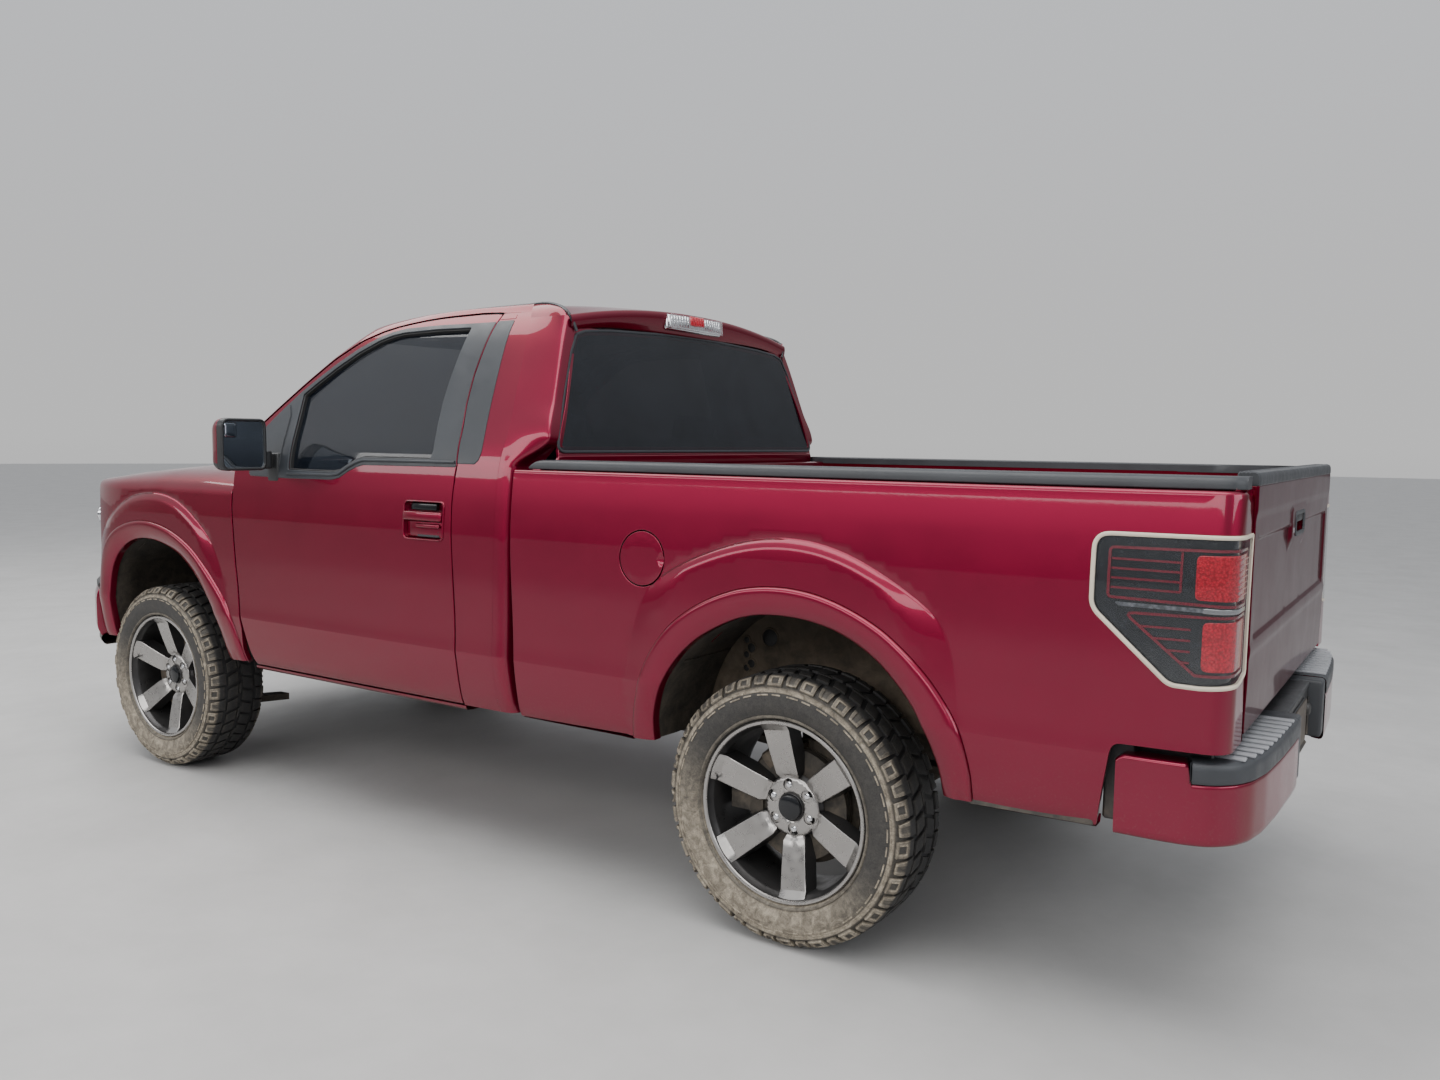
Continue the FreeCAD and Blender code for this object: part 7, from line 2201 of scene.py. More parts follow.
# header panel between the grille, the lamps and the hood's lip
hdp = M()
ysh = np.linspace(-560, 560, 41)
G = []
for y in ysh:
    xh = 2572 - 52 * (abs(y) / 560.0) ** 3
    G.append([(xh - 60, y, 1196), (xh - 22, y, 1206), (xh + 8, y, 1207), (2628 - 24 * (y / 540.0) ** 2 - 8, y, 1201), (2630 - 24 * (y / 540.0) ** 2 - 10, y, 1190)])
sheet(hdp, np.array(G), "paint", flip=False)
piece("header_panel", hdp, "truck", ())

# painted panel round the headlamp: below it down to the bumper, outboard of it, and above it up to the hood
hp2 = M()
us = np.linspace(0, HLEN, 40)
G = np.array([head(-14)(us, np.full(40, float(z))) for z in (780, 830, 860, 876, 888)])
G[..., 2] = np.array([780, 830, 860, 876, 888])[:, None]
sheet(hp2, G, "paint", flip=False)
zz_ = np.linspace(782, 1196, 22)
G = []
for z in zz_:
    p0 = head(-14)(np.array([HLEN - 60.0]), np.array([z]))[0]
    p1 = head(-13)(np.array([HLEN - 6.0]), np.array([z]))[0]
    yf = float(side_y(2262, z)) - 6
    G.append([p0, p1, (2256, max(p1[1], yf), z), (2236, float(side_y(2236, z)) - 7, z), (2200, float(side_y(2200, z)) - 12, z)])
sheet(hp2, np.array(G), "paint", flip=True)
ht = spline([(0, 2518), (0.25, 2478), (0.45, 2440), (0.7, 2385), (0.88, 2330), (1.0, 2290)])
ue_ = np.interp(np.linspace(1192, 1440, 9), [1192, 1240, 1300, 1380, 1440], [2262, 2280, 2292, 2294, 2286])
E_ = fender(ue_, np.linspace(1192, 1440, 9)) - [0, 0, 1.0]
rows = []
for t in np.linspace(0, 1, 40):
    b0 = head(-4)(np.array([t * HLEN]), np.array([1193.0]))[0]
    xt = float(ht(t))
    yt = float(np.interp(-xt, [-x for x, _ in hs_], [y for _, y in hs_])) if xt < 2560 else 300.0
    yt = yt + 3
    p1 = np.array([xt, yt, float(hood_z(xt, yt)) - 4])
    k = np.linspace(0, 1, 9)
    m0, m1 = np.array([-6, -4, 42.0]), np.array([p1[0] - b0[0], p1[1] - b0[1], 8.0]) * 0.9
    row = hermite(b0, m0, p1, m1, k)
    w_ = float(sm(0.55, 1.0, t))
    rows.append(row * (1 - w_) + E_ * w_)
sheet(hp2, np.array(rows), "paint", flip=True)
pair("headlamp_surround", hp2, ("truck", "truck"))

# ------------------------------------------------------------------ front bumper
FP = [(2707, 0), (2704, 150), (2698, 300), (2682, 500), (2655, 650), (2615, 740), (2560, 800), (2502, 850), (2425, 900), (2335, 945), (2247, 984)]
FPs = smoothed([(x, -y) for x, y in FP[::-1][:-1]] + FP, 12, 22)
f_arc = np.concatenate([[0], np.cumsum(np.linalg.norm(np.diff(FPs, axis=0), axis=1))])
f_arc -= f_arc[-1] / 2
FL = f_arc[-1]
fpn = np.gradient(FPs, axis=0)
fpn /= np.linalg.norm(fpn, axis=1, keepdims=True)
fpn = np.stack([fpn[:, 1], -fpn[:, 0]], 1)
s_of_y = lambda y: float(np.interp(y, FPs[:, 1], f_arc))


def bump_f(h):
    def f(u, w):
        u, w = np.asarray(u, float), np.asarray(w, float)
        px, py = np.interp(u, f_arc, FPs[:, 0]), np.interp(u, f_arc, FPs[:, 1])
        nx, ny = np.interp(u, f_arc, fpn[:, 0]), np.interp(u, f_arc, fpn[:, 1])
        o = -26 * np.clip((600 - w) / 75.0, 0, 1) ** 2 - 14 * np.clip((w - 700) / 64.0, 0, 1) ** 2.2
        return np.stack([px + nx * (h + o), py + ny * (h + o), w], 1)
    return f


fb = M()
so = s_of_y(352)
HOLE = rounded([(-so, 562), (so, 562), (so - 14, 690), (-so + 14, 690)], 26, 6)
OUT = rounded([(-FL + 3, 536), (FL - 3, 536), (FL - 3, 764), (-FL + 3, 764)], 8, 3)
fogs = []
fogc = s_of_y(600)
for s in (-1, 1):
    fogs.append(np.array([(s * fogc + 58 * math.cos(a), 628 + 50 * math.sin(a)) for a in np.linspace(0, 2 * math.pi, 36, endpoint=False)][::-1]))
patch(fb, OUT, [HOLE[::-1]] + fogs, bump_f(0), 1, "paint", 34, [np.stack([np.arange(-FL + 20, FL - 19, 30), np.full(len(np.arange(-FL + 20, FL - 19, 30)), z)], 1) for z in (560, 580, 600, 700, 720, 740, 755)],
      gap=0, roll=5, hem=24, hole_gap=0)
# black top pad
G = []
for z, o in ((760, -20), (764, -14), (768, -11), (784, -12), (789, -16), (790, -26), (790, -120)):
    G.append(bump_f(0)(np.linspace(-FL + 2, FL - 2, 120), np.full(120, min(z, 764))) * [1, 1, 0] + np.stack([np.interp(np.linspace(-FL + 2, FL - 2, 120), f_arc, fpn[:, 0]) * (o + 14),
             np.interp(np.linspace(-FL + 2, FL - 2, 120), f_arc, fpn[:, 1]) * (o + 14), np.full(120, float(z))], 1))
G = np.array(G)
G[..., 0] = np.where(G[..., 0] < 2100, 2100, G[..., 0])
sheet(fb, G, "black", flip=True, normals=False)
# lower black valance
G = []
for z, o in ((540, -6), (532, -2), (520, 0), (500, -14), (496, -24), (500, -80)):
    u_ = np.linspace(-FL + 4, FL - 4, 120)
    b_ = bump_f(0)(u_, np.full(120, 545.0))
    G.append(b_ * [1, 1, 0] + np.stack([np.interp(u_, f_arc, fpn[:, 0]) * o, np.interp(u_, f_arc, fpn[:, 1]) * o, np.full(120, float(z))], 1))
sheet(fb, np.array(G), "black", flip=False, normals=False)
# mouth: recess, slats and fog lamps
for z in (585, 610, 635, 660):
    rbox(fb, (2622, -362, z - 4), (2660, 362, z + 4), "black", 3, 2)
rbox(fb, (2600, -372, 548), (2612, 372, 704), "black", 4, 1)
for s in (-1, 1):
    rbox(fb, (2600, s * 362 - 8, 550), (2684, s * 362 + 8, 702), "black", 4, 1)
    c = bump_f(-20)(np.array([s * fogc]), np.array([628.0]))[0]
    lathe(fb, [(60, 16), (54, 8), (50, -10), (44, -12), (42, -2), (40, 4), (30, 8), (14, 10), (0.4, 10.5)], "lens", 40, "x", (float(c[0]), float(c[1]), 628))
    lathe(fb, [(60, 14), (52, 6), (48, -12), (46, -20), (30, -34), (10, -38), (0.4, -38)], "chrome", 40, "x", (float(c[0]), float(c[1]), 628))
piece("front_bumper_skin", fb, "truck", ("front_bumper",), angle=35)

# ------------------------------------------------------------------ wheel housings
fl2 = M()
line = offset_open(clip_low(FRONT_OPEN, 560), 7.0)
ln = resample(line, 60)
ysd = np.concatenate([np.linspace(548, 900, 7)])
G = np.zeros((60, 9, 3))
for i, p in enumerate(ln):
    ysk = float(side_y(p[0], min(p[1], 1230))) - 14
    for j, y in enumerate(list(ysd) + [0.5 * (900 + ysk), ysk]):
        G[i, j] = (p[0] + 30 * float(sm(2020, 2100, p[0]) * (1 - sm(810, 890, y))), y, p[1] + 3.0 * math.sin(i * 0.9) * (1 if 0 < j < 8 else 0))
sheet(fl2, G, "liner", flip=False, normals=False)
G = np.array([[(p[0], 548, max(p[1] - d, 545)) for d in (0, 60, 140)] for p in ln if p[1] > 700])
sheet(fl2, G, "liner", flip=False, normals=False)
for x0_, x1_ in ((1352, 2160),):
    G = np.array([[(x, 474 + 3 * math.sin(x * 0.031), z) for z in (530, 612, 700, 790, 862)] for x in np.linspace(x0_, x1_, 26)])
    sheet(fl2, G, "liner", flip=False, normals=False)
    G = np.array([[(x, y, 862 - (548 - y) * 0.02) for y in (474, 510, 549)] for x in np.linspace(x0_, x1_, 26)])
    sheet(fl2, G, "liner", flip=True, normals=False)
pair("front_wheel_housing", fl2, ("truck", "truck"))
rl = M()
line = offset_open(clip_low(REAR_OPEN, 545), 7.0)
ln = resample(line, 60)
G = np.zeros((60, 6, 3))
for i, p in enumerate(ln):
    ysk = float(side_y(p[0], p[1])) - 14
    for j, y in enumerate((652, 710, 785, 850, 0.5 * (850 + ysk), ysk)):
        G[i, j] = (p[0], y, p[1] + 2.5 * math.sin(i * 1.1 + j) * (1 if 0 < j < 5 else 0))
sheet(rl, G, "liner", flip=False, normals=False)
G = np.array([[(p[0], 652, p[1] + (max(620, 0) - p[1]) * d) for d in (0, 0.34, 0.67, 1.0)] for p in ln if p[1] > 640])
sheet(rl, G, "liner_dust", flip=False, normals=False)
for hx_, hz_, hr_ in ((-1128, 836, 9), (-1146, 812, 13), (-1128, 788, 9), (-1146, 760, 12), (-1128, 744, 9), (-1216, 852, 26), (-1660, 842, 11), (-1700, 820, 16)):
    lathe(rl, [(0.4, 2.2), (hr_, 2.2), (hr_ + 1.5, 1.2), (hr_ + 2.2, -1)], "rubber", 20, "y", (hx_, 652, hz_), flip=True)
    lathe(rl, [(hr_ + 1.5, 2.0), (hr_ + 4, 3.4), (hr_ + 6.5, 2.0), (hr_ + 7.5, -1)], "liner_dust", 20, "y", (hx_, 652, hz_), flip=True)
# seam ribs and clips of the housing
for k in (12, 24, 36, 48):
    p = ln[k]
    pr = [np.array([p[0], y, p[1] - 2]) for y in (660, 740, 840, 920)]
    tube(rl, pr, 4.0, "liner", 8)
pair("rear_wheel_housing", rl, ("truck", "truck"))

# ------------------------------------------------------------------ cab: inner sill, door jamb and posts
js = M()
xs = np.linspace(-146, 1064, 40)
G = np.array([[(x, float(side_y(x, 545)) - 64, 545), (x, float(side_y(x, 545)) - 72, 556), (x, 862, 560), (x, 854, 566), (x, 853, 640), (x, 846, 646), (x, 822, 646)] for x in xs])
sheet(js, G, "paint", flip=False, normals=False)
rbox(js, (40, 862, 560), (960, 900, 566), "black", 2, 1)
hf = [(1068, 560), (1095, 640), (1106, 690), (1110, 759), (1123, 858), (1140, 955), (1159, 1120), (1168, 1190), (1170, 1330)]
hf = dense(hf, 30)
G = np.array([[(x, float(side_y(x, z)) - 14, z), (x, 900, z), (x, 830, z), (x - 4, 816, z), (x - 60, 813, z)] for x, z in hf])
sheet(js, G, "paint", flip=True, normals=False)
bp = [(-144, z) for z in np.linspace(560, 1380, 12)] + [(-118, 1450), (-104, 1560), (-96, 1700), (-100, 1830), (-104, 1900)]
G = np.array([[(x + 2, float(side_y(x, z)) - 70, z), (x, float(side_y(x, z)) - 78, z), (x - 30, float(side_y(x, z)) - 82, z), (x - 190, float(side_y(x, z)) - 90, z)] for x, z in bp])
sheet(js, G, "paint", flip=False, normals=False)
sealp = [(-150, float(side_y(-150, z)) - 52, z) for z in np.linspace(600, 1380, 8)]
tube(js, sealp, 5, "rubber", 8)
for z in (760, 1180):
    rbox(js, (1096 + (z - 760) * 0.12, 900, z - 28), (1150 + (z - 760) * 0.12, 938, z + 28), "steel", 4, 2)
lathe(js, [(0.5, 12), (7, 12), (9, 9), (6, 5), (6, -2), (14, -3), (14, -8)], "chrome", 20, "x", (-142, 880, 1120))
# headliner edge over the door
G = np.array([[(x, float(side_y(x, z)) - 44, z + 1), (x, float(side_y(x, z)) - 60, z - 4), (x, float(side_y(x, z)) - 90, z + 2)] for x, z in ((-90, 1922), (100, 1926), (300, 1916), (500, 1882), (620, 1842), (800, 1722))])
sheet(js, G, "headliner", flip=False, normals=False)
pair("cab_door_frame", js, ("truck", "truck"), (("cab_side_left",), ("cab_side_right",)))


# ------------------------------------------------------------------ cargo bed
bd = M()
yb = []
zb = []
for k in range(-9, 10):
    c = k * 88
    for dy, z in ((-44, 833), (-36, 833), (-31, 835.5), (-27, 839), (-22, 840), (22, 840), (27, 839), (31, 835.5), (36, 833)):
        yb.append(c + dy)
        zb.append(z)
yb, zb = np.array(yb, float), np.array(zb, float)
keep = np.abs(yb) <= 826
yb, zb = yb[keep], zb[keep]
inb = np.abs(yb) <= 640
xb_ = np.concatenate([[-2590, -2586], np.linspace(-2570, -620, 40), [-600, -590]])
G = np.zeros((len(xb_), len(yb), 3))
for i, x in enumerate(xb_):
    k = float(sm(-2590, -2560, x) * sm(-590, -625, x))
    G[i, :, 0], G[i, :, 1], G[i, :, 2] = x, yb, 840 - (840 - zb) * k
sheet(bd, G[:, inb], "bedpaint", flip=True, normals=False)
for s_ in (-1, 1):
    outb = (yb * s_ > 630)
    for xs_ in (xb_ <= -1860, xb_ >= -1060):
        sheet(bd, G[xs_][:, outb], "bedpaint", flip=True, normals=False)
G = np.array([[(-2591, y, z) for z in (838, 826, 814)] for y in (-829, 829)])
sheet(bd, G, "bedpaint", flip=False, normals=False)
und = np.array([[(x, y, 815) for x in (-2590, -588)] for y in (-645, 645)])
sheet(bd, und, "liner", flip=False, normals=False)
for s_ in (-1, 1):
    for xa, xc in ((-2590, -1900), (-1020, -588)):
        und = np.array([[(x, y, 815) for x in (xa, xc)] for y in sorted((s_ * 645, s_ * 829))])
        sheet(bd, und, "liner", flip=False, normals=False)
for x in (-2480, -2140, -1780, -1420, -1060, -700):
    hy_ = 630 if -1900 < x < -1020 else 800
    rbox(bd, (x - 28, -hy_, 782), (x + 28, hy_, 815), "chassis", 5, 1)


def wall_ribs(y, z0, z1, s):
    """Stamped ribs along a bed wall."""
    for z in np.arange(z0, z1, 88):
        rbox(bd, (-2560, s * y - 7, z), (-620, s * y + 7, z + 42), "bedpaint", 6, 2)


for s in (-1, 1):
    wall_ribs(828, 1130, 1350, s)
    # wheel housing inside the bed: a rounded hump
    prof = [(-1880, 838), (-1868, 850), (-1862, 900), (-1845, 1000), (-1805, 1062), (-1740, 1092), (-1640, 1098), (-1280, 1098), (-1180, 1092), (-1115, 1062), (-1075, 1000),
            (-1058, 900), (-1052, 850), (-1040, 838)]
    ps = smoothed(prof, 22, 16)
    rows = []
    for y, d in ((830, 0), (700, 0), (668, 1), (650, 5), (639, 14), (635, 27), (635, 60)):
        cxm = -1460
        rows.append([(cxm + (x - cxm) * (1 - d / 420.0), s * y, 838 + (z - 838) * (1 - d / 260.0)) for x, z in ps])
    G = np.array(rows)
    sheet(bd, G, "bedpaint", flip=(s > 0), normals=False)
    last = G[-1]
    mid_ = np.array([[(p[0], s * 634.5, 838 + (p[2] - 838) * f) for f in (1, 0.5, 0)] for p in last])
    sheet(bd, mid_, "bedpaint", flip=(s < 0), normals=False)
    for x in (-2520, -680):
        lathe(bd, [(0.5, 3), (9, 3), (10, 0)], "steel", 16, "y", (x, s * 826, 1330), flip=(s > 0))
        tube(bd, [(x - 26, s * 822, 1330), (x - 26, s * 806, 1312), (x, s * 800, 1302), (x + 26, s * 806, 1312), (x + 26, s * 822, 1330)], 4.5, "steel", 8)
    # seam between the floor and the walls
    tube(bd, [(-2585, s * 826, 842), (-1885, s * 826, 842)], 5, "bedpaint", 8)
    tube(bd, [(-1035, s * 826, 842), (-592, s * 826, 842)], 5, "bedpaint", 8)
# front wall with stamped panels
rbox(bd, (-588, -829, 838), (-541, 829, 1380), "bedpaint", 6, 2)
for z in (900, 1010, 1120, 1230):
    rbox(bd, (-594, -760, z), (-585, 760, z + 58), "bedpaint", 7, 2)
for x in (-2480, -1960, -1440, -960, -700):
    for y in (-484, 484):
        lathe(bd, [(0.4, 841.5), (9, 841.5), (13, 840.6), (13, 839)], "steel", 16, "z", (x, y, 0))
piece("bed_floor", bd, "truck", ("bed_box",))

# ------------------------------------------------------------------ seats
def cushion(name, lo, hi, crown, body, fn, nodes=(), lines=(), cross=(), power=7.0, n=26):
    """Crowned closed pad whose sides pull in, with piped edges and sewn channels."""
    lo, hi = np.array(lo, float), np.array(hi, float)
    c, h = (lo + hi) / 2, (hi - lo) / 2
    idx, V, F = {}, [], []
    t = np.linspace(-1, 1, n)
    t = np.sign(t) * np.abs(t) ** 0.8

    def vid(p):
        key = tuple(np.round(p, 5))
        if key not in idx:
            idx[key] = len(V)
            V.append(p)
        return idx[key]

    for ax in range(3):
        for sg in (-1, 1):
            o = [a for a in range(3) if a != ax]
            for i in range(n - 1):
                for j in range(n - 1):
                    q = []
                    for a, b in ((i, j), (i + 1, j), (i + 1, j + 1), (i, j + 1)):
                        p = np.zeros(3)
                        p[ax], p[o[0]], p[o[1]] = sg, t[a], t[b]
                        q.append(vid(p))
                    flip = (sg > 0) != (ax == 1)
                    F.append(tuple(q) if flip else tuple(q[::-1]))
    P = np.array(V)
    k = (np.abs(P) ** power).sum(1) ** (1 / power)
    Q = P / k[:, None]
    W = c + Q * h
    # pulled-in sides between the corners
    ex, ey = np.abs(Q[:, 0]), np.abs(Q[:, 1])
    W[:, 1] -= np.sign(Q[:, 1]) * 5.0 * (1 - ex ** 2) * ey ** 3 * (1 - Q[:, 2] ** 2)
    W[:, 0] -= np.sign(Q[:, 0]) * 6.0 * (1 - ey ** 2) * ex ** 3 * (1 - Q[:, 2] ** 2)
    top = np.clip(Q[:, 2], 0, 1) ** 2
    W[:, 2] += crown * (1 - ex ** 2.4) * (1 - ey ** 2.4) * top - crown * top * 0.9
    for y in lines:
        W[:, 2] -= 7.0 * np.exp(-((W[:, 1] - y) / 8.0) ** 2) * top * (1 - ex ** 6)
    for x in cross:
        W[:, 2] -= 6.0 * np.exp(-((W[:, 0] - x) / 8.0) ** 2) * top * (1 - ey ** 6)
    # softly raised side bolsters
    W[:, 2] += 5.0 * np.exp(-((ey - 0.86) / 0.10) ** 2) * top * (1 - ex ** 4)
    m = M()
    m.add(fn(W), F, "cloth")
    pipe = [np.array([c[0] + h[0] * 0.985 * math.copysign(abs(math.cos(a)) ** (2 / power), math.cos(a)), c[1] + h[1] * 0.985 * math.copysign(abs(math.sin(a)) ** (2 / power), math.sin(a)),
                      hi[2] - crown * 0.9 - 10]) for a in np.linspace(0, 2 * math.pi, 61)]
    tube(m, fn(np.array(pipe)), 3.0, "black", 6)
    ob = piece(name, m, body, nodes, angle=60)
    return ob


shear = lambda v: np.stack([v[:, 0], v[:, 1], v[:, 2] + (v[:, 0] - 60) * 0.072], 1)


def lean_back(v):
    """Pad laid flat is stood up: x becomes height, z the front."""
    hgt, d = v[:, 0], v[:, 2]
    return np.stack([42 - 0.19 * hgt + d, v[:, 1], 912 + hgt * 0.985 + d * 0.19], 1)


for nm, a, b, nod in (("left", 232, 686, ("seat_cushion",)), ("middle", -226, 226, ()), ("right", -686, -232, ())):
    cy = (a + b) / 2
    cushion("seat_pad_" + nm, (64, a, 806), (574, b, 906), 16, "truck", shear, nod, (cy - 140, cy + 140) if nm != "middle" else (cy,), (210, 360))
for nm, a, b, nod in (("left", 232, 686, ("seat_back",)), ("middle", -226, 226, ()), ("right", -686, -232, ())):
    cy = (a + b) / 2
    cushion("seat_backrest_" + nm, (4, a, -104), (560, b, 0), 14, "truck", lean_back, nod, (cy - 140, cy + 140) if nm != "middle" else (cy,), (150, 300, 430))
for nm, cy in (("left", 459), ("right", -459)):
    cushion("headrest_" + nm, (584, cy - 128, -92), (688, cy + 128, -14), 8, "truck", lean_back, (), (), (), 5.0, 18)
sb = M()
rbox(sb, (-92, -686, 640), (60, 686, 800), "cabin", 14, 2)
rbox(sb, (60, -660, 660), (520, 660, 806), "cabin", 20, 2, fn=lambda v: v + np.array([0, 0, 0]))
for cy in (459, -459):
    for d in (-50, 50):
        tube(sb, lean_back(np.array([(550, cy + d, -52), (600, cy + d, -52)], float)), 6, "chrome", 10)
    rbox(sb, (540, cy - 60, 770), (580, cy + 60, 784), "black", 5, 2)
G = np.array([[(42 - 0.19 * h - 112, y, 905 + h * 0.985) for h in (-60, 200, 560)] for y in (-680, 680)])
sheet(sb, G, "cabin", flip=False, normals=False)
piece("seat_base", sb, "truck", ())

# ------------------------------------------------------------------ dashboard
db = M()
dsec = rounded([(1140, 902), (905, 902), (856, 980), (856, 1155), (900, 1212), (960, 1238), (1140, 1247)], [4, 20, 30, 30, 40, 40, 4], 5)
prism(db, dsec, "y", -794, 794, "cabin", 5, 2)
# binnacle over the gauges
hood_s = rounded([(846, 1176), (838, 1246), (862, 1264), (1010, 1258), (1020, 1200)], [6, 14, 18, 20, 6], 5)
rows = []
for y, k in ((232, 0.72), (246, 0.9), (270, 1.0), (400, 1.06), (530, 1.0), (554, 0.9), (568, 0.72)):
    rows.append([(1020 - (1020 - x) * (0.96 + 0.04 * k), y, 1176 + (z - 1176) * k) for x, z in hood_s])
loft(db, rows, "cabin", True, True, flip=True)
rbox(db, (842, 262, 1040), (858, 538, 1190), "gloss_black", 10, 2)
for y, r in ((458, 52), (342, 52)):
    lathe(db, [(r, -4), (r + 4, -6), (r + 6, 0), (r + 6, 4)], "chrome", 36, "x", (842, y, 1118))
    lathe(db, [(0.4, -1.5), (r, -1.5)], "frit", 36, "x", (841, y, 1118))
    for k in range(25):
        a = math.radians(-45 + k * 11.25)
        tube(db, [(839, y + (r - 6) * math.cos(a), 1118 + (r - 6) * math.sin(a)), (839, y + (r - 12) * math.cos(a), 1118 + (r - 12) * math.sin(a))], 0.9, "cream", 4)
    tube(db, [(838.5, y, 1118), (838.5, y + 20, 1118 + 30)], 1.4, "lamp_red", 6)
for y in (430, 400, 370):
    lathe(db, [(0.4, -1.5), (13, -1.5), (15, 0)], "chrome", 20, "x", (841, y, 1062))
# centre stack
rbox(db, (838, -150, 925), (866, 170, 1190), "black", 12, 2)
rbox(db, (833, -105, 1062), (842, 125, 1165), "gloss_black", 6, 2)
rbox(db, (834, -120, 955), (842, 140, 1040), "cabin", 6, 2)
for y in (-80, 10, 100):
    lathe(db, [(0.4, -16), (16, -16), (18, -12), (18, 0)], "black", 24, "x", (838, y, 1000))
    lathe(db, [(18.5, -2), (20, 0)], "chrome", 24, "x", (836, y, 1000))
for k in range(6):
    rbox(db, (832, -95 + k * 36, 1046), (840, -70 + k * 36, 1056), "cabin", 2, 1)
# round air vents with blades
for y, z in ((700, 1140), (205, 1150), (-185, 1150), (-700, 1140)):
    lathe(db, [(48, 4), (46, -4), (40, -8), (37, -4), (36, 14)], "chrome", 36, "x", (848, y, z))
    lathe(db, [(0.4, 12), (37, 12)], "gloss_black", 36, "x", (848, y, z))
    for k in range(-2, 3):
        w_ = math.sqrt(max(36 ** 2 - (k * 13) ** 2, 1))
        rbox(db, (844, y - w_, z + k * 13 - 2), (858, y + w_, z + k * 13 + 2), "black", 1.5, 1)
# glove box lid and its latch
rbox(db, (848, -640, 950), (860, -240, 1080), "cabin", 12, 3)
rbox(db, (842, -470, 1050), (852, -410, 1066), "chrome", 4, 2)
# column, stalks and pedals
ca = np.array([-0.9292, 0, 0.3697])
cw_ = np.array([690, 400, 1120.0])
tube(db, [cw_ - ca * 40, cw_ - ca * 200], 34, "cabin", 24)
tube(db, [cw_ - ca * 60 + [0, 30, 0], cw_ - ca * 58 + [0, 150, 14]], 6, "black", 10)
tube(db, [cw_ - ca * 60 - [0, 30, 0], cw_ - ca * 50 - [0, 160, -30]], 7, "black", 10)
for y, w_, z in ((330, 55, 735), (470, 70, 745)):
    rbox(db, (896, y - w_ / 2, z - 40), (910, y + w_ / 2, z + 50), "rubber", 6, 2)
    tube(db, [(908, y, z + 20), (960, y, z + 120), (985, y, 905)], 8, "black", 10)
piece("dashboard_skin", db, "truck", ("dashboard",))

# ------------------------------------------------------------------ steering wheel
sw_ = M()
prof = [(190 + 14 * math.cos(a), 14 * math.sin(a)) for a in np.linspace(0, 2 * math.pi, 17)]
lathe(sw_, prof, "leather", 72, "x", (0, 0, 0))
for k in range(48):
    a = 2 * math.pi * k / 48
    if abs(math.sin(a)) < 0.85:
        b = a + 0.05
        tube(sw_, [(12, 183 * math.cos(a), 183 * math.sin(a)), (12, 181 * math.cos(b), 181 * math.sin(b))], 1.0, "grey", 4)
for a0, wd in ((math.radians(8), 26), (math.radians(172), 26), (math.radians(248), 20), (math.radians(292), 20)):
    pts = [np.array([-6 + 4 * t, (40 + 145 * t) * math.cos(a0), (40 + 145 * t) * math.sin(a0)]) for t in np.linspace(0, 1, 6)]
    bar_sweep(sw_, pts, [np.array([1.0, 0, 0])] * 6, [(-wd / 2, -6), (-wd / 2 + 3, 5), (wd / 2 - 3, 5), (wd / 2, -6)], "leather", caps=True)
lathe(sw_, [(0.4, 26), (40, 25), (58, 20), (68, 8), (70, -10), (62, -34), (30, -40)], "cabin", 48, "x", (0, 0, 0))
for s in (-1, 1):
    for z in (-8, 14):
        rbox(sw_, (8, s * 105 - 15, z + 6), (14, s * 105 + 15, z + 20), "gloss_black", 4, 2)
uu_ = np.array([0.3697, 0, 0.9292])
sw_ = sw_.mapped(lambda v: cw_ + v[:, :1] * ca + v[:, 1:2] * np.array([0, -1.0, 0]) + v[:, 2:3] * uu_)
piece("steering_wheel_grip", sw_, "steering_wheel_body", ("steering_wheel",))

# ------------------------------------------------------------------ cab floor covering
MATS["carpet"] = cloth_mat("floor_carpet_finish", (0.030, 0.030, 0.032))
fc = M()
ysf = np.linspace(-812, 812, 41)
G = []
for y in ysf:
    tun = 70 * float(sm(230, 120, abs(y)))
    G.append([(x, y, z + tun * k) for x, z, k in ((-430, 646, 0.1), (-100, 646, 0.3), (60, 646, 0.6), (400, 646, 1), (700, 646, 1.1), (860, 660, 1.2), (980, 720, 1.0), (1052, 820, 0.6), (1060, 900, 0.2))])
sheet(fc, np.array(G), "carpet", flip=False, normals=False)
for s in (-1, 1):
    rbox(fc, (420, s * 480 - 200, 648), (840, s * 480 + 200, 658), "rubber", 5, 2)
piece("floor_carpet", fc, "truck", ())

# ------------------------------------------------------------------ engine bay fittings
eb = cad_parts["engine_block"]
ebc = np.array([list(eb.matrix_world @ Vector(c)) for c in eb.bound_box]) * 1000
e0, e1 = ebc.min(0), ebc.max(0)
en = M()
ex0, ex1 = max(e0[0], 1480), e1[0]
zt = min(e1[2], 1235)
cxe = (ex0 + ex1) / 2
rbox(en, (ex0 + 30, -190, zt - 4), (ex1 - 30, 190, zt + 34), "black", 16, 3)
for s in (-1, 1):
    rbox(en, (ex0 + 50, s * 110 - 50, zt + 28), (ex1 - 60, s * 110 + 50, zt + 46), "cabin", 12, 3)
    for k in range(3):
        x = ex0 + 110 + k * (ex1 - ex0 - 220) / 2
        lathe(en, [(0.4, zt + 54), (12, zt + 54), (16, zt + 50), (16, zt + 44)], "chrome", 20, "z", (x, s * 110, 0))
tube(en, [(ex1 - 40, 60, zt + 30), (ex1 + 40, 200, zt + 36), (ex1 + 60, 330, zt + 10), (ex1 + 20, 400, zt - 10)], 34, "rubber", 20)
rbox(en, (2000, 330, 1030), (2260, 520, 1215), "black", 18, 3)
rbox(en, (2020, 345, 1205), (2240, 505, 1232), "cabin", 12, 3)
rbox(en, (1930, -520, 1020), (2200, -350, 1205), "black", 10, 2)
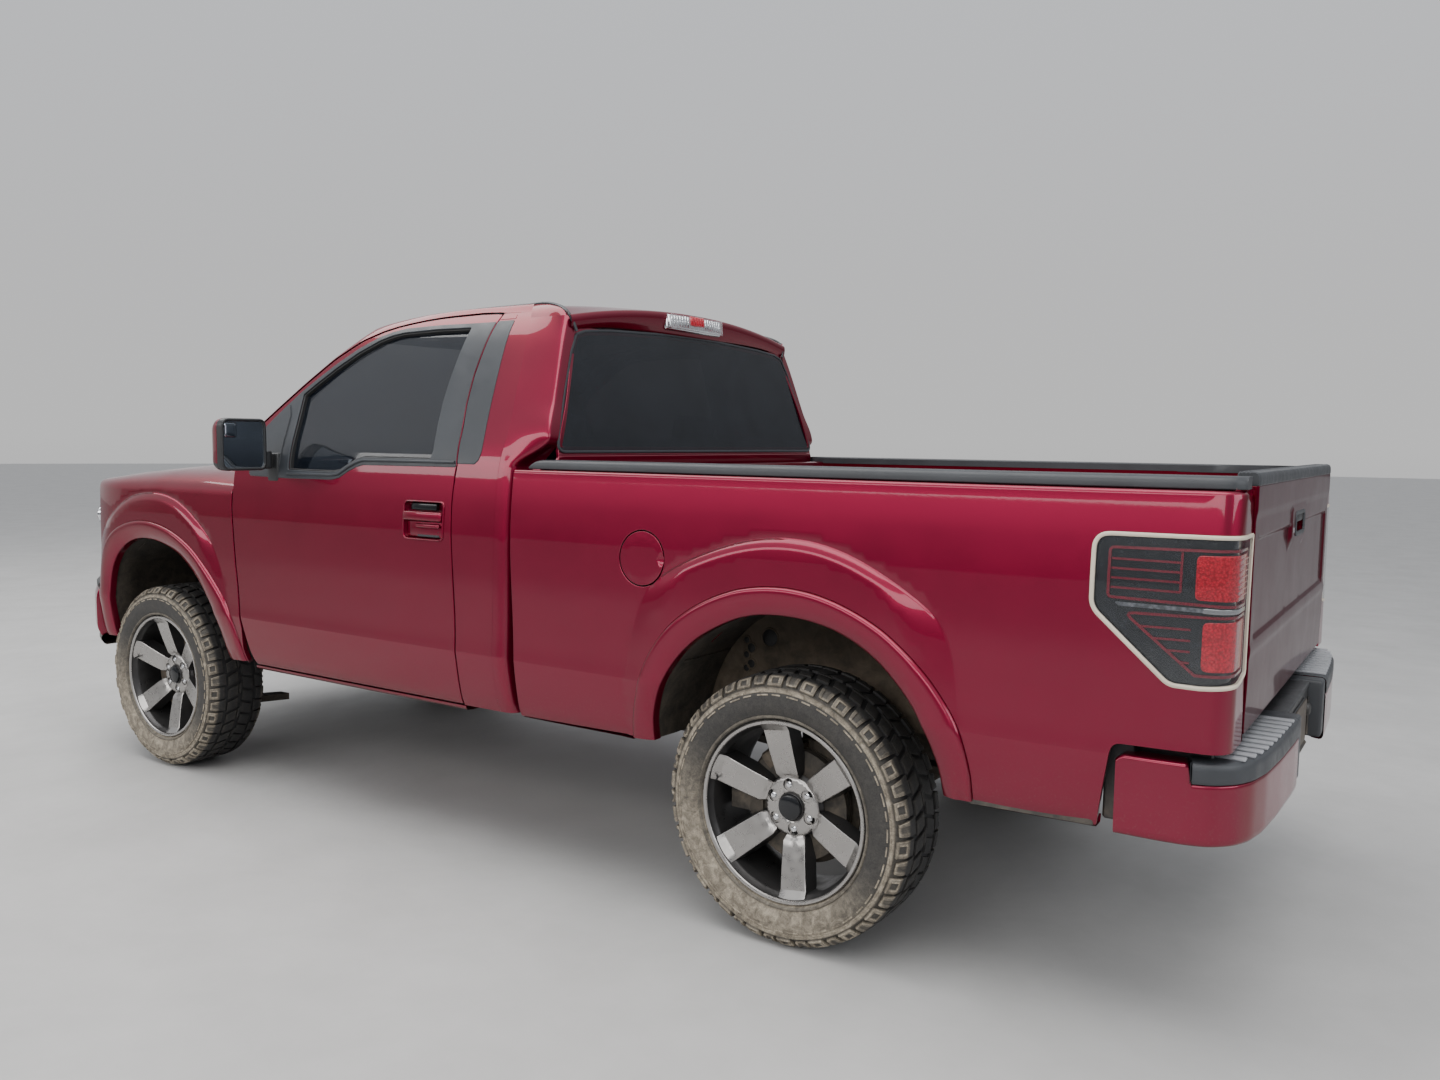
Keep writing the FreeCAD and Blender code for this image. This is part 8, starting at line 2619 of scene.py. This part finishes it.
rbox(en, (1926, -524, 1195), (2204, -346, 1214), "gloss_black", 6, 2)
for x in (1970, 2160):
    lathe(en, [(0.4, 1236), (9, 1236), (11, 1232), (11, 1212)], "steel", 16, "z", (x, -435, 0))
# red hose in the lamp material, so it carries a faint painted glow
tube(en, [(2160, -435, 1226), (2100, -400, 1240), (1950, -380, 1230), (1800, -420, 1180)], 7, "lamp_red", 10)
rbox(en, (1480, 380, 1060), (1620, 500, 1190), "cream", 20, 3)
lathe(en, [(0.4, 1216), (24, 1216), (27, 1212), (27, 1186)], "black", 24, "z", (1550, 440, 0))
rbox(en, (1420, -510, 1080), (1560, -400, 1180), "cream", 18, 3)
lathe(en, [(0.4, 1202), (20, 1202), (22, 1198), (22, 1176)], "black", 24, "z", (1490, -455, 0))
tube(en, [(ex1 - 20, -160, zt - 20), (ex1 + 100, -200, zt + 10), (2280, -260, 1160)], 22, "rubber", 16)
piece("engine_fittings", en, "truck", ())

# ------------------------------------------------------------------ finish of the construction pieces that stay in view
NODE_MAT = {"frame_rails": "chassis", "engine_block": "steel", "rear_axle": "chassis", "suspension": "chassis", "exhaust": "exhaust", "fuel_tank": "black",
            "spare_wheel": "rubber", "cab_floor": "paint", "cab_side_left": "paint", "cab_side_right": "paint", "cab_back_panel": "paint", "roof_panel": "paint",
            "cab_glass": "glass", "dashboard": "cabin", "seat_cushion": "cloth", "seat_back": "cloth", "steering_wheel": "leather", "door_left": "paint",
            "door_right": "paint", "door_glass_left": "glass", "door_glass_right": "glass", "mirror_left": "black", "mirror_right": "black", "hood": "paint",
            "fender_left": "paint", "fender_right": "paint", "engine_bay": "liner", "front_bumper": "paint", "grille": "black", "headlights": "lens",
            "bedside_left": "paint", "bedside_right": "paint", "fuel_door": "paint", "bed_box": "bedpaint", "tailgate": "paint", "rear_lamps": "lamp_smoke",
            "rear_bumper": "paint", "knuckle_left": "steel", "knuckle_right": "steel"}
for n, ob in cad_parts.items():
    key = NODE_MAT.get(n) or ("tyre" if n.startswith("tyre") else "wheel_dark")
    if not ob.material_slots:
        ob.data.materials.append(MATS[key])
    for sl in ob.material_slots:
        sl.material = MATS[key]

# ------------------------------------------------------------------ floor, sky and lamps
fm, nt, b = new_mat("pale_floor")
vec, tc = coords(nt)
nt.links.new(ramp(nt, noise(nt, vec, 2.2, 6, 0.6), [(0.3, (0.40, 0.396, 0.39)), (0.7, (0.46, 0.456, 0.45))]), b.inputs["Base Color"])
nt.links.new(mapr(nt, noise(nt, vec, 9, 5, 0.6), 0.3, 0.7, 0.55, 0.72), b.inputs["Roughness"])
bump(nt, b, noise(nt, vec, 260, 3, 0.6), 0.08, 0.001)
bpy.ops.mesh.primitive_circle_add(vertices=96, radius=60, fill_type="NGON", location=(0, 0, 0))
floor = bpy.context.object
floor.name = "floor"
floor.data.materials.append(fm)

world = bpy.data.worlds.new("studio")
scene.world = world
world.use_nodes = True
wn = world.node_tree
bg = wn.nodes["Background"]
tcw = nd(wn, "ShaderNodeTexCoord")
sepw = nd(wn, "ShaderNodeSeparateXYZ")
wn.links.new(tcw.outputs["Generated"], sepw.inputs[0])
sky = ramp(wn, mapr(wn, sepw.outputs["Z"], -0.15, 1.0, 0.0, 1.0), [(0.0, (0.50, 0.50, 0.50)), (0.13, (0.66, 0.66, 0.66)), (0.25, (0.66, 0.66, 0.67)), (0.55, (0.70, 0.72, 0.76)), (1.0, (0.92, 0.95, 1.0))])
# the side facing the truck's left flank and its tail is a dim hall with a bright upper band
dim = ramp(wn, mapr(wn, sepw.outputs["Z"], -0.15, 1.0, 0.0, 1.0), [(0.0, (0.13, 0.13, 0.135)), (0.12, (0.145, 0.145, 0.15)), (0.19, (0.22, 0.22, 0.23)), (0.29, (0.36, 0.37, 0.39)), (0.46, (0.64, 0.66, 0.70)), (1.0, (0.95, 0.97, 1.0))])
facing = mth(wn, "ADD", mth(wn, "MULTIPLY", sepw.outputs["X"], -1.0), mth(wn, "MULTIPLY", sepw.outputs["Y"], 0.62))
sky = mixc(wn, mapr(wn, facing, -0.64, -0.54, 0.0, 1.0, True), sky, dim)
wn.links.new(sky, bg.inputs["Color"])
bg.inputs["Strength"].default_value = 1.0


def area(name, loc, target, size, power, color=(1, 1, 1), size_y=None):
    l = bpy.data.lights.new(name, "AREA")
    l.energy = power
    l.color = color
    l.shape = "RECTANGLE"
    l.size = size
    l.size_y = size_y or size
    o = bpy.data.objects.new(name, l)
    scene.collection.objects.link(o)
    o.location = loc
    d = Vector(target) - Vector(loc)
    o.rotation_euler = d.to_track_quat("-Z", "Y").to_euler()
    return o


area("overhead", (1.6, 1.4, 7.4), (1.2, 0.2, 0.8), 17.0, 950, (1, 0.99, 0.97), 5.0)
area("side_key", (1.0, 8.0, 4.3), (0.6, 0.9, 0.9), 17.0, 440, (1, 0.985, 0.96), 2.2)
area("rear_fill", (-8.0, 1.0, 3.2), (-2.4, 0, 0.8), 4.0, 120, (0.95, 0.97, 1.0), 2.5)
